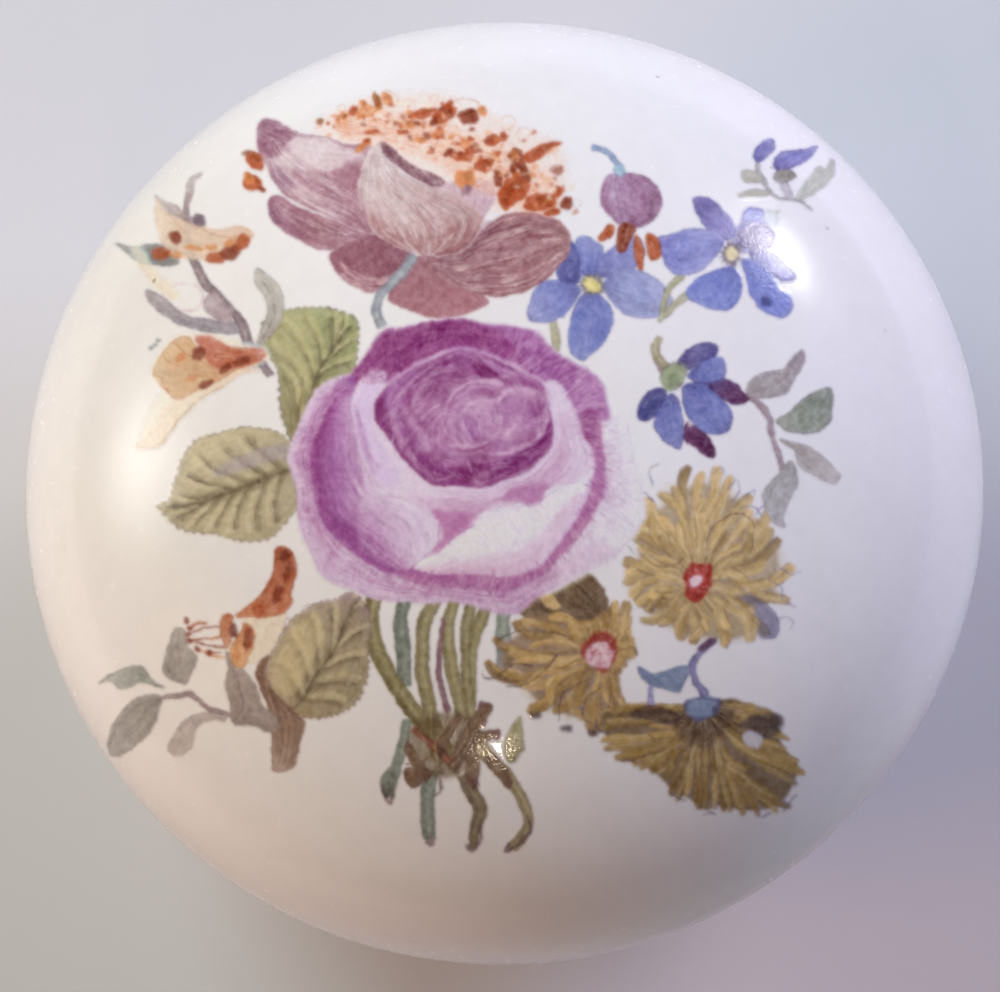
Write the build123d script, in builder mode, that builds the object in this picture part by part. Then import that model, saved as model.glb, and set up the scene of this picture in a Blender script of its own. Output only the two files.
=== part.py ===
"""Domed porcelain powder jar: a footed bombe bowl with an upstanding neck, a
loose domed cover that drops over the neck, a bed of loose powder and a
satin-backed powder puff with a ribbon finger loop.

Frame: +Z up, origin at the centre of the foot ring's resting face, -Y is the
front, +Y is the top of the cover's painted bouquet. Millimetres.
"""
from build123d import *
import os

os.makedirs("parts", exist_ok=True)

# ---------------------------------------------------------------- dimensions
# cover (lid): an elliptical dome on a short skirt
LID_R = 50.0            # widest outer radius of the cover
LID_RISE = 27.0         # height of the outer dome above its widest circle
LID_WALL = 3.4          # porcelain wall of the dome
SEAT_Z = 42.0           # height where the cover's rim rests on the shoulder
WIDEST_Z = 46.0         # height of the cover's widest circle
LID_RIM_R = 49.4        # outer radius at the resting edge
LID_BORE_R = LID_R - LID_WALL   # inside radius of the skirt, 46.6
RIM_EASE = 0.35         # softened edge of the resting rim

# bowl (jar body)
SHOULDER_R = 49.4       # outer radius of the shoulder, in line with the cover
NECK_R = 45.9           # outside of the upstanding neck, 0.7 mm inside the skirt
NECK_TOP_R = 45.6       # the neck leans in a little
NECK_BORE_R = 43.3      # inside of the neck
NECK_TOP_Z = 47.0
FLOOR_Z = 6.4           # inside floor of the bowl
FOOT_R = 33.2           # outside of the foot ring
FOOT_BORE_R = 29.4      # inside of the foot ring
RECESS_Z = 3.0          # underside of the base, inside the foot ring

# loose powder
POWDER_TOP_Z = 16.0
POWDER_GAP = 0.25       # between the powder and the curved wall

# puff, resting on the powder
PAD_R = 36.0
PAD_Z0 = POWDER_TOP_Z
PAD_Z1 = 29.2
CARD_R = 31.6
CARD_T = 0.9
BACKING_R = 32.8
BACKING_T = 2.6         # satin cover over the card, crowned
PIPING_R = 34.0         # centre line of the corded edge
PIPING_D = 2.1
RIBBON_W = 16.0
RIBBON_T = 0.8
RIBBON_HALF = 30.5      # half length, foot to foot
RIBBON_RISE = 7.2       # finger room under the loop

# -------------------------------------------------------------------- cover
with BuildPart() as lid:
    with BuildSketch(Plane.XZ) as lid_profile:
        with BuildLine() as lid_outline:
            # a rational quadratic Bezier is an exact quarter ellipse
            Bezier((0, WIDEST_Z + LID_RISE), (LID_R, WIDEST_Z + LID_RISE), (LID_R, WIDEST_Z),
                   weights=[1, 0.5 ** 0.5, 1])
            Bezier((LID_R, WIDEST_Z), (LID_R, WIDEST_Z - 1.6), (49.78, SEAT_Z + 1.3),
                   (LID_RIM_R, SEAT_Z + RIM_EASE))
            Line((LID_RIM_R, SEAT_Z + RIM_EASE), (LID_RIM_R - RIM_EASE, SEAT_Z))
            Line((LID_RIM_R - RIM_EASE, SEAT_Z), (LID_BORE_R + RIM_EASE, SEAT_Z))
            Line((LID_BORE_R + RIM_EASE, SEAT_Z), (LID_BORE_R, SEAT_Z + RIM_EASE))
            Line((LID_BORE_R, SEAT_Z + RIM_EASE), (LID_BORE_R, WIDEST_Z))
            Bezier((LID_BORE_R, WIDEST_Z), (LID_BORE_R, WIDEST_Z + LID_RISE - LID_WALL),
                   (0, WIDEST_Z + LID_RISE - LID_WALL), weights=[1, 0.5 ** 0.5, 1])
            Line((0, WIDEST_Z + LID_RISE - LID_WALL), (0, WIDEST_Z + LID_RISE))
        make_face()
    revolve(axis=Axis.Z)
lid.part.label = "lid"
export_step(lid.part, "parts/lid.step")

# --------------------------------------------------------------------- bowl
# inside wall of the bowl, used by the bowl and, drawn in by a gap, the powder:
# from the fullest inside radius, under the neck, round to the flat floor
WALL_IN = [(45.4, 37.0), (45.6, 21.0), (37.0, 7.6), (24.0, FLOOR_Z)]

with BuildPart() as jar_body:
    with BuildSketch(Plane.XZ) as jar_profile:
        with BuildLine() as jar_outline:
            Line((0, RECESS_Z), (26.8, RECESS_Z))
            Bezier((26.8, RECESS_Z), (28.4, RECESS_Z), (29.1, 2.0), (FOOT_BORE_R, 0.5))
            Line((FOOT_BORE_R, 0.5), (FOOT_BORE_R + 0.5, 0))
            Line((FOOT_BORE_R + 0.5, 0), (FOOT_R - 0.5, 0))
            Line((FOOT_R - 0.5, 0), (FOOT_R, 0.5))
            # foot, its soft waist, then the bombe wall up to the shoulder
            Bezier((FOOT_R, 0.5), (33.0, 1.7), (32.2, 2.9), (32.9, 3.6))
            Bezier((32.9, 3.6), (39.0, 7.2), (48.9, 22.0), (SHOULDER_R, SEAT_Z - 0.35))
            Line((SHOULDER_R, SEAT_Z - 0.35), (SHOULDER_R - 0.35, SEAT_Z))
            Line((SHOULDER_R - 0.35, SEAT_Z), (NECK_R, SEAT_Z))
            Line((NECK_R, SEAT_Z), (NECK_TOP_R, NECK_TOP_Z - 0.9))
            ThreePointArc((NECK_TOP_R, NECK_TOP_Z - 0.9),
                          ((NECK_TOP_R + NECK_BORE_R) / 2, NECK_TOP_Z),
                          (NECK_BORE_R, NECK_TOP_Z - 0.9))
            Line((NECK_BORE_R, NECK_TOP_Z - 0.9), (NECK_BORE_R, 43.0))
            Bezier((NECK_BORE_R, 43.0), (NECK_BORE_R, 40.4), (45.35, 40.4), WALL_IN[0])
            Bezier(*WALL_IN)
            Line(WALL_IN[-1], (0, FLOOR_Z))
            Line((0, FLOOR_Z), (0, RECESS_Z))
        make_face()
    revolve(axis=Axis.Z)
jar_body.part.label = "jar_body"
export_step(jar_body.part, "parts/jar_body.step")

# ------------------------------------------------------------- loose powder
with BuildPart() as loose_powder:
    with BuildSketch(Plane.XZ) as powder_profile:
        with BuildLine() as powder_outline:
            Line((0, FLOOR_Z), (WALL_IN[3][0] - POWDER_GAP, WALL_IN[3][1]))
            Bezier(*[(r - POWDER_GAP, z) for r, z in reversed(WALL_IN)])
            Line((WALL_IN[0][0] - POWDER_GAP, WALL_IN[0][1]), (0, WALL_IN[0][1]))
            Line((0, WALL_IN[0][1]), (0, FLOOR_Z))
        make_face()
    revolve(axis=Axis.Z)
    split(bisect_by=Plane.XY.offset(POWDER_TOP_Z), keep=Keep.BOTTOM)
loose_powder.part.label = "loose_powder"
export_step(loose_powder.part, "parts/loose_powder.step")

# ------------------------------------------------------------- powder puff
with BuildPart() as puff_pad:
    with BuildSketch(Plane.XZ) as pad_profile:
        with BuildLine() as pad_outline:
            Line((0, PAD_Z0), (PAD_R - 8.5, PAD_Z0))
            Bezier((PAD_R - 8.5, PAD_Z0), (PAD_R - 3.0, PAD_Z0), (PAD_R, PAD_Z0 + 3.0),
                   (PAD_R, PAD_Z0 + 8.0))
            Bezier((PAD_R, PAD_Z0 + 8.0), (PAD_R, PAD_Z0 + 10.6), (PAD_R - 0.5, PAD_Z1 - 0.7),
                   (PAD_R - 1.6, PAD_Z1))
            Line((PAD_R - 1.6, PAD_Z1), (0, PAD_Z1))
            Line((0, PAD_Z1), (0, PAD_Z0))
        make_face()
    revolve(axis=Axis.Z)
puff_pad.part.label = "puff_pad"
export_step(puff_pad.part, "parts/puff_pad.step")

with BuildPart() as puff_card:
    with BuildSketch(Plane.XY.offset(PAD_Z1)) as card_sketch:
        Circle(CARD_R)
    extrude(amount=CARD_T)
puff_card.part.label = "puff_card"
export_step(puff_card.part, "parts/puff_card.step")

# satin cover: a shallow cap that fits over the card, its skirt on the pad
with BuildPart() as puff_backing:
    with BuildSketch(Plane.XY.offset(PAD_Z1)) as backing_sketch:
        Circle(BACKING_R)
    extrude(amount=BACKING_T)
    with BuildSketch(Plane.XY.offset(PAD_Z1)) as card_room:
        Circle(CARD_R)
    extrude(amount=CARD_T, mode=Mode.SUBTRACT)
    fillet(puff_backing.edges().group_by(Axis.Z)[-1], radius=1.0)
puff_backing.part.label = "puff_backing"
export_step(puff_backing.part, "parts/puff_backing.step")

with BuildPart() as puff_piping:
    with BuildSketch(Plane.XZ) as piping_section:
        with Locations((PIPING_R, PAD_Z1 + PIPING_D / 2)):
            Circle(PIPING_D / 2)
    revolve(axis=Axis.Z)
puff_piping.part.label = "puff_piping"
export_step(puff_piping.part, "parts/puff_piping.step")

# ribbon: two stitched feet on the satin and an arched finger loop between them
RIBBON_Z = PAD_Z1 + BACKING_T
with BuildPart() as puff_ribbon:
    with BuildSketch(Plane.YZ.offset(-RIBBON_W / 2)) as ribbon_side:
        with BuildLine() as ribbon_line:
            Line((-RIBBON_HALF, RIBBON_Z), (-RIBBON_HALF + 5.0, RIBBON_Z))
            Bezier((-RIBBON_HALF + 5.0, RIBBON_Z), (-19.0, RIBBON_Z),
                   (-15.0, RIBBON_Z + RIBBON_RISE), (0, RIBBON_Z + RIBBON_RISE))
            Bezier((0, RIBBON_Z + RIBBON_RISE), (15.0, RIBBON_Z + RIBBON_RISE),
                   (19.0, RIBBON_Z), (RIBBON_HALF - 5.0, RIBBON_Z))
            Line((RIBBON_HALF - 5.0, RIBBON_Z), (RIBBON_HALF, RIBBON_Z))
            Line((RIBBON_HALF, RIBBON_Z), (RIBBON_HALF, RIBBON_Z + RIBBON_T))
            Line((RIBBON_HALF, RIBBON_Z + RIBBON_T), (RIBBON_HALF - 5.2, RIBBON_Z + RIBBON_T))
            Bezier((RIBBON_HALF - 5.2, RIBBON_Z + RIBBON_T), (19.0, RIBBON_Z + RIBBON_T),
                   (15.4, RIBBON_Z + RIBBON_RISE + RIBBON_T), (0, RIBBON_Z + RIBBON_RISE + RIBBON_T))
            Bezier((0, RIBBON_Z + RIBBON_RISE + RIBBON_T), (-15.4, RIBBON_Z + RIBBON_RISE + RIBBON_T),
                   (-19.0, RIBBON_Z + RIBBON_T), (-RIBBON_HALF + 5.2, RIBBON_Z + RIBBON_T))
            Line((-RIBBON_HALF + 5.2, RIBBON_Z + RIBBON_T), (-RIBBON_HALF, RIBBON_Z + RIBBON_T))
            Line((-RIBBON_HALF, RIBBON_Z + RIBBON_T), (-RIBBON_HALF, RIBBON_Z))
        make_face()
    extrude(amount=RIBBON_W)
puff_ribbon.part.label = "puff_ribbon"
export_step(puff_ribbon.part, "parts/puff_ribbon.step")
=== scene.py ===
"""The looks of the powder jar: porcelain, enamel bouquet, powder and puff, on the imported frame.
Metres, +Z up, the bouquet's top towards +Y. Millimetre numbers below are times MM."""
import math

import bmesh
import bpy
import numpy as np
from mathutils import Matrix, Vector


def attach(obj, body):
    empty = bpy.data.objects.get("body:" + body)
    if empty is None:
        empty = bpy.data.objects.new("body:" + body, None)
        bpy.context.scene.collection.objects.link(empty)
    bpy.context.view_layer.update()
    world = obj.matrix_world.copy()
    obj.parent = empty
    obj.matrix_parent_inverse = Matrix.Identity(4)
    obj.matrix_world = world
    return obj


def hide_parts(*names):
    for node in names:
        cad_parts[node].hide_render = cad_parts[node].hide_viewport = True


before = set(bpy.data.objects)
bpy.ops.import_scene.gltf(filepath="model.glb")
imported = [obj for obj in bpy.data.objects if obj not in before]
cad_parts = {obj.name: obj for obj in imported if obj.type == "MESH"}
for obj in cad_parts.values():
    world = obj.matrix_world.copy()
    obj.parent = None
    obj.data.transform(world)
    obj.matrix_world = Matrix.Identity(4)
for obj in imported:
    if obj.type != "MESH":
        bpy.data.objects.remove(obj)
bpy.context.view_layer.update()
MM = 0.001

# ------------------------------------------------------------------ painting
# The bouquet is painted by code on a sheet of its own, stroke by stroke, and the
# sheet's colours are then laid on the dome as vertex colours of thin enamel films.
# Drawing units: x to the right, y down, 9.57 units to the millimetre at the rim.
SH = 2.0                                 # sheet cells per drawing unit
SW, SHT = 1000, 992                      # the sheet, in drawing units
PAPER = np.array([229.0, 219.0, 221.0])  # bare porcelain as the palette below sees it


def col(r, g, b):
    """A palette colour, as a tint over bare porcelain."""
    return np.clip(np.array([r, g, b], float) / PAPER, 0.0, 1.04)


class Sheet:
    def __init__(self):
        h, w = int(SHT * SH), int(SW * SH)
        self.rgb = np.ones((h, w, 3), np.float32)
        self.cov = np.zeros((h, w), np.float32)      # how much enamel lies here
        self.own = np.zeros((h, w), np.int16)        # which flower it belongs to
        self.who = 0

    def lay(self, x0, y0, m, rgb):
        """Lays colour rgb, an array over the box or one colour, through the mask m at cell x0, y0."""
        h, w = m.shape
        X0, Y0 = max(x0, 0), max(y0, 0)
        X1, Y1 = min(x0 + w, self.cov.shape[1]), min(y0 + h, self.cov.shape[0])
        if X1 <= X0 or Y1 <= Y0:
            return
        m = m[Y0 - y0:Y1 - y0, X0 - x0:X1 - x0]
        rgb = np.asarray(rgb, np.float32)
        if rgb.ndim == 3:
            rgb = rgb[Y0 - y0:Y1 - y0, X0 - x0:X1 - x0]
        a = m[..., None]
        v = self.rgb[Y0:Y1, X0:X1]
        v += (rgb - v) * a
        c = self.cov[Y0:Y1, X0:X1]
        c += (1 - c) * m
        o = self.own[Y0:Y1, X0:X1]
        o[m > 0.12] = self.who


def smooth(pts, closed=False, k=10):
    """A Catmull-Rom curve through pts, as a dense polyline."""
    p = np.asarray(pts, float)
    if closed:
        q = np.vstack([p[-1], p, p[0], p[1]])
    else:
        q = np.vstack([2 * p[0] - p[1], p, 2 * p[-1] - p[-2]])
    t = np.linspace(0, 1, k, endpoint=False)[:, None]
    out = []
    for i in range(len(q) - 3):
        a, b, c, d = q[i], q[i + 1], q[i + 2], q[i + 3]
        out.append(0.5 * (2 * b + (c - a) * t + (2 * a - 5 * b + 4 * c - d) * t ** 2
                          + (3 * b - 3 * c + d - a) * t ** 3))
    out = np.vstack(out)
    return out if closed else np.vstack([out, p[-1:]])


def even(line, n):
    """n points evenly spaced along a polyline."""
    line = np.asarray(line, float)
    d = np.r_[0, np.cumsum(np.hypot(*np.diff(line, axis=0).T))]
    t = np.linspace(0, d[-1], n)
    return np.c_[np.interp(t, d, line[:, 0]), np.interp(t, d, line[:, 1])]


def blur(m, r):
    """Two box blurs, a near-Gaussian, radius r cells."""
    r = int(round(r))
    if r < 1:
        return m
    for _ in range(2):
        for ax in (0, 1):
            p = np.pad(m, [(r + 1, r) if a == ax else (0, 0) for a in (0, 1)])
            c = np.cumsum(p, axis=ax, dtype=np.float64)
            n = m.shape[ax]
            hi = np.take(c, np.arange(2 * r + 1, 2 * r + 1 + n), axis=ax)
            lo = np.take(c, np.arange(0, n), axis=ax)
            m = ((hi - lo) / (2 * r + 1)).astype(np.float32)
    return m


def mask(poly, soft=0.0):
    """(x0, y0, coverage) of a closed outline in drawing units, its edge softened over soft units."""
    p = np.asarray(poly, float) * SH
    pad = int(soft * SH * 2.2) + 3
    x0, y0 = np.floor(p.min(0)).astype(int) - pad
    x1, y1 = np.ceil(p.max(0)).astype(int) + pad
    w, h = x1 - x0, y1 - y0
    p = p - (x0, y0)
    q = np.roll(p, -1, axis=0)
    sub = 2
    ys = (np.arange(h * sub) + 0.5) / sub
    acc = np.zeros((h * sub, w + 2), np.float32)
    lo, hi = np.minimum(p[:, 1], q[:, 1]), np.maximum(p[:, 1], q[:, 1])
    for i in range(len(p)):
        if hi[i] - lo[i] < 1e-9:
            continue
        r = np.arange(int(np.ceil(lo[i] * sub - 0.5)), int(np.ceil(hi[i] * sub - 0.5)))
        if len(r) == 0:
            continue
        y = ys[r]
        x = p[i, 0] + (y - p[i, 1]) * (q[i, 0] - p[i, 0]) / (q[i, 1] - p[i, 1])
        s = 1.0 if q[i, 1] > p[i, 1] else -1.0
        f = np.floor(x).astype(int)
        np.add.at(acc, (r, f), s * (1 - (x - f)))
        np.add.at(acc, (r, f + 1), s * (x - f))
    m = np.abs(np.cumsum(acc, axis=1))[:, :w]
    m = np.clip(m.reshape(h, sub, w).mean(1), 0, 1)
    if soft > 0:
        m = blur(m, soft * SH * 0.5)
    return x0, y0, m.astype(np.float32)


def grid(x0, y0, m):
    """Drawing coordinates of the cells of a mask's box."""
    h, w = m.shape
    return np.meshgrid((x0 + np.arange(w) + 0.5) / SH, (y0 + np.arange(h) + 0.5) / SH)


def hash01(i, j, seed):
    n = (i.astype(np.int64) * 374761393 + j.astype(np.int64) * 668265263 + seed * 974634777) & 0xFFFFFFFF
    n = ((n ^ (n >> 13)) * 1274126177) & 0xFFFFFFFF
    return ((n ^ (n >> 16)) & 0xFFFFFF) / float(0xFFFFFF)


def noise(x, y, scale, seed):
    """Smooth value noise, 0 to 1, with cells of the given size in drawing units."""
    x, y = np.asarray(x) / scale, np.asarray(y) / scale
    i, j = np.floor(x), np.floor(y)
    u, v = x - i, y - j
    u, v = u * u * (3 - 2 * u), v * v * (3 - 2 * v)
    a, b = hash01(i, j, seed), hash01(i + 1, j, seed)
    c, d = hash01(i, j + 1, seed), hash01(i + 1, j + 1, seed)
    return (a * (1 - u) + b * u) * (1 - v) + (c * (1 - u) + d * u) * v


def wash(sh, poly, colour, alpha=1.0, soft=0.8, mottle=0.0, size=6.0, seed=1, clip=None):
    """A filled area. colour is one colour, or a function of x, y that gives colours."""
    x0, y0, m = mask(poly, soft)
    if clip is not None:
        m = m * cut(clip, x0, y0, m.shape)
    if callable(colour) or mottle:
        X, Y = grid(x0, y0, m)
    rgb = colour(X, Y) if callable(colour) else np.asarray(colour)
    if mottle:
        n = 0.6 * noise(X, Y, size, seed) + 0.4 * noise(X, Y, size * 0.37, seed + 7)
        m = m * np.clip(1 - mottle + 2 * mottle * (n - 0.1), 0, 1).astype(np.float32)
    sh.lay(x0, y0, m * alpha, rgb)


def cut(clip, x0, y0, shape):
    """The part of clip, a mask made by mask(), over another box."""
    cx, cy, cm = clip
    out = np.zeros(shape, np.float32)
    h, w = shape
    ax, ay = max(x0, cx), max(y0, cy)
    bx, by = min(x0 + w, cx + cm.shape[1]), min(y0 + h, cy + cm.shape[0])
    if bx > ax and by > ay:
        out[ay - y0:by - y0, ax - x0:bx - x0] = cm[ay - cy:by - cy, ax - cx:bx - cx]
    return out


def hairs(sh, P, w, rgb, alpha, taper=(0.25, 0.6), clip=None, seed=0, dry=0.0):
    """Brush strokes. P is strokes x points x 2, w widths in drawing units, rgb strokes x 3
    or strokes x 2 x 3 from start to end, alpha per stroke. Ends taper over those shares."""
    P = np.asarray(P, float)
    n, m = P.shape[:2]
    w = np.broadcast_to(np.asarray(w, float), (n,)) * SH
    alpha = np.broadcast_to(np.asarray(alpha, float), (n,))
    rgb = np.asarray(rgb, float)
    if rgb.ndim == 1:
        rgb = np.broadcast_to(rgb, (n, 3))
    if rgb.ndim == 2:
        rgb = np.repeat(rgb[:, None], 2, 1)
    seg = np.hypot(*np.moveaxis(np.diff(P, axis=1), 2, 0))
    length = seg.sum(1) * SH
    order = np.argsort(length, kind="stable")
    H, W = sh.cov.shape
    lo = np.floor(P.reshape(-1, 2).min(0) * SH - w.max() / 2 - 3).astype(int)
    hi = np.ceil(P.reshape(-1, 2).max(0) * SH + w.max() / 2 + 3).astype(int)
    bw, bh = hi - lo
    M = np.zeros(bh * bw, np.float32)
    K = np.zeros((bh * bw, 3), np.float32)
    CH = 400
    for k0 in range(0, n, CH):
        ids = order[k0:k0 + CH]
        L = length[ids].max()
        step = max(0.6, 0.22 * w[ids].min())
        K_n = max(3, int(L / step) + 2)
        t = np.linspace(0, 1, K_n)
        f = t * (m - 1)
        i = np.minimum(f.astype(int), m - 2)
        u = (f - i)[None, :, None]
        X = P[ids][:, i] * (1 - u) + P[ids][:, i + 1] * u          # strokes x samples x 2
        X = X * SH - lo
        tp = np.ones(K_n)
        if taper[0] > 0:
            tp = np.minimum(tp, (t + 0.02) / taper[0])
        if taper[1] > 0:
            tp = np.minimum(tp, (1 - t + 0.02) / taper[1])
        tp = np.clip(tp, 0, 1) ** 0.7
        ww = w[ids][:, None] * (0.25 + 0.75 * tp[None])
        aa = alpha[ids][:, None] * (0.35 + 0.65 * tp[None])
        if dry:
            q = hash01(np.floor(t * L / 5.0)[None] + 0 * ids[:, None], ids[:, None] + 0 * t[None], seed + 5)
            aa = aa * (1 - dry * q)
        cc = rgb[ids][:, 0, None] * (1 - t[None, :, None]) + rgb[ids][:, 1, None] * t[None, :, None]
        R = int(np.ceil(ww.max() / 2 + 0.8))
        base = np.floor(X).astype(int)
        for dy in range(-R, R + 1):
            for dx in range(-R, R + 1):
                cx, cy = base[..., 0] + dx, base[..., 1] + dy
                d = np.hypot(cx + 0.5 - X[..., 0], cy + 0.5 - X[..., 1])
                c = np.clip(ww / 2 + 0.5 - d, 0, 1) * aa
                ok = (c > 0.02) & (cx >= 0) & (cy >= 0) & (cx < bw) & (cy < bh)
                if not ok.any():
                    continue
                idx = (cy * bw + cx)[ok]
                cv = c[ok].astype(np.float32)
                kc = cc[ok]
                o = np.argsort(cv, kind="stable")
                idx, cv, kc = idx[o], cv[o], kc[o]
                up = cv > M[idx]
                idx, cv, kc = idx[up], cv[up], kc[up]
                M[idx] = cv
                K[idx] = kc
    M = M.reshape(bh, bw)
    K = K.reshape(bh, bw, 3)
    if clip is not None:
        M = M * cut(clip, lo[0], lo[1], M.shape)
    sh.lay(lo[0], lo[1], M, K)


def rails(A, B, s, t0, t1, m=9, bow=0.0, rng=None):
    """Strokes between rail A (s=0) and rail B (s=1), each running from t0 to t1 along them."""
    A, B = even(A, 60), even(B, 60)
    s, t0, t1 = np.broadcast_arrays(s, t0, t1)
    t = t0[:, None] + (t1 - t0)[:, None] * np.linspace(0, 1, m)[None]
    f = np.clip(t, 0, 1) * 59
    i = np.minimum(f.astype(int), 58)
    u = (f - i)[..., None]
    a = A[i] * (1 - u) + A[i + 1] * u
    b = B[i] * (1 - u) + B[i + 1] * u
    s = np.asarray(s)[:, None, None]
    p = a * (1 - s) + b * s
    if bow:
        p = p + (b - a) * bow * np.sin(np.pi * np.linspace(0, 1, m))[None, :, None]
    return p


def across(A, B, t, s0, s1, shear=0.0, m=7):
    """Strokes crossing from rail A to rail B at place t along them, from share s0 to s1."""
    A, B = even(A, 120), even(B, 120)
    t, s0, s1, shear = np.broadcast_arrays(t, s0, s1, shear)
    s = s0[:, None] + (s1 - s0)[:, None] * np.linspace(0, 1, m)[None]
    tt = np.clip(t[:, None] + shear[:, None] * (s - s0[:, None]), 0, 1) * 119
    i = np.minimum(tt.astype(int), 118)
    u = (tt - i)[..., None]
    a = A[i] * (1 - u) + A[i + 1] * u
    b = B[i] * (1 - u) + B[i + 1] * u
    return a * (1 - s[..., None]) + b * s[..., None]


def pick(sh, x, y):
    """The sheet's colour at drawing points."""
    i = np.clip((np.asarray(y) * SH).astype(int), 0, sh.cov.shape[0] - 1)
    j = np.clip((np.asarray(x) * SH).astype(int), 0, sh.cov.shape[1] - 1)
    return sh.rgb[i, j].astype(float)


def brush(sh, P, w, vary, alpha, rng, clip=None, taper=(0.3, 0.5), lift=0.0, tint=None, share=0.0, dry=0.0):
    """Strokes that take up the wet colour under their middle and drag it along,
    each a little lighter or darker, as a loaded fine brush leaves."""
    n = len(P)
    mid = P[:, P.shape[1] // 2]
    c = pick(sh, mid[:, 0], mid[:, 1])
    k = rng.normal(lift, vary, n)[:, None]
    c = np.where(k > 0, c + (1.0 - c) * np.clip(k, 0, 1), c * (1 + np.clip(k, -0.9, 0)))
    if tint is not None:
        c = c * (1 - share) + np.asarray(tint) * share
    hairs(sh, P, w, c, alpha, taper, clip, seed=int(rng.integers(1e6)), dry=dry)


def line(sh, pts, w, rgb, alpha=1.0, taper=(0.05, 0.05), rough=0.0, rng=None, closed=False, dry=0.0, k=10):
    """One drawn line through pts, its weight wavering by rough."""
    c = smooth(pts, closed, k)
    if closed:
        c = np.vstack([c, c[:1]])
    L = np.hypot(*np.diff(c, axis=0).T).sum()
    m = max(6, int(L / 1.5))
    c = even(c, m)
    if rough and rng is not None:
        # the line in short overlapping pieces, each with its own weight
        out, ws, al = [], [], []
        step = 9
        for i in range(0, m - 3, 4):
            seg = c[i:i + step]
            if len(seg) < 4:
                break
            q = even(seg, 6) + rng.normal(0, 0.18 * rough, (6, 2))
            out.append(q)
            ws.append(w * np.clip(1 + rng.normal(0, 0.45 * rough), 0.35, 1.9))
            al.append(alpha * np.clip(1 - abs(rng.normal(0, 0.5 * rough)), 0.1, 1))
        hairs(sh, np.array(out), np.array(ws), rgb, np.array(al), (0.2, 0.2), dry=dry)
    else:
        hairs(sh, c[None], w, rgb, alpha, taper, dry=dry)
# ----------------------------------------------------- petals, leaves and stems
def at(x0, y0):
    """Writes points in quarter units from a corner."""
    def f(*v):
        return np.array(v, float).reshape(-1, 2) / 4.0 + (x0, y0)
    return f


def sides(out, k):
    """The two sides of an outline that starts at its base and has its tip at index k."""
    c = smooth(out, True, 8)
    m = (k % len(out)) * 8
    return c[:m + 1], np.vstack([c[m:], c[:1]])[::-1]


def petal(sh, rng, out, k, stops, n=160, w=0.6, span=(0.15, 0.45), vary=0.06, soft=0.8, alpha=0.95,
          edge=None, ew=0.8, ea=0.6, er=0.8, fine=0.7, cross=None):
    """A petal or leaf: a wash, broad strokes and fine ones that run from its base, the outline's
    first point, to its tip at index k, in the colours of stops, then its drawn edge."""
    A, B = sides(out, k)
    O = smooth(out, True)
    c = mask(O, soft)
    ts = [t for t, _ in stops]
    cs = np.array([q for _, q in stops])

    def ramp(t, s):
        q = np.stack([np.interp(t, ts, cs[:, i]) for i in range(3)], -1)
        if cross is not None:
            g = np.interp(s, [p for p, _ in cross], [m for _, m in cross])[:, None]
            q = np.where(g > 1, q + (1 - q) * (g - 1), q * g)
        return q

    wash(sh, O, cs.mean(0), alpha, soft)
    m = max(24, n // 3)
    s, t0 = rng.uniform(0, 1, m), rng.uniform(-0.12, 0.95, m)
    P = rails(A, B, s, np.clip(t0, 0, 1), np.clip(t0 + 0.3, 0.05, 1))
    hairs(sh, P, w * rng.uniform(3, 5.5, m), np.clip(ramp(t0 + 0.14, s) * (1 + rng.normal(0, vary * 0.6, (m, 1))), 0, 1.03),
          0.5 * alpha, (0.35, 0.35), c)
    s, t0 = rng.uniform(0, 1, n), rng.uniform(-0.05, 0.95, n)
    d = rng.uniform(*span, n)
    P = rails(A, B, s, np.clip(t0, 0, 1), np.clip(t0 + d, 0.04, 1))
    q = ramp(t0 + d / 2, s)
    g = rng.normal(0, vary * 1.6, (n, 1))
    q = np.where(g > 0, q + (1 - q) * g, q * (1 + g))
    hairs(sh, P, w * rng.uniform(0.6, 1.5, n), np.clip(q, 0, 1.03), rng.uniform(0.4, 1, n) * fine * alpha, (0.25, 0.45), c)
    if edge is not None:
        line(sh, out, ew, edge, ea, rough=er, rng=rng, closed=True)
    return A, B


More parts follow.
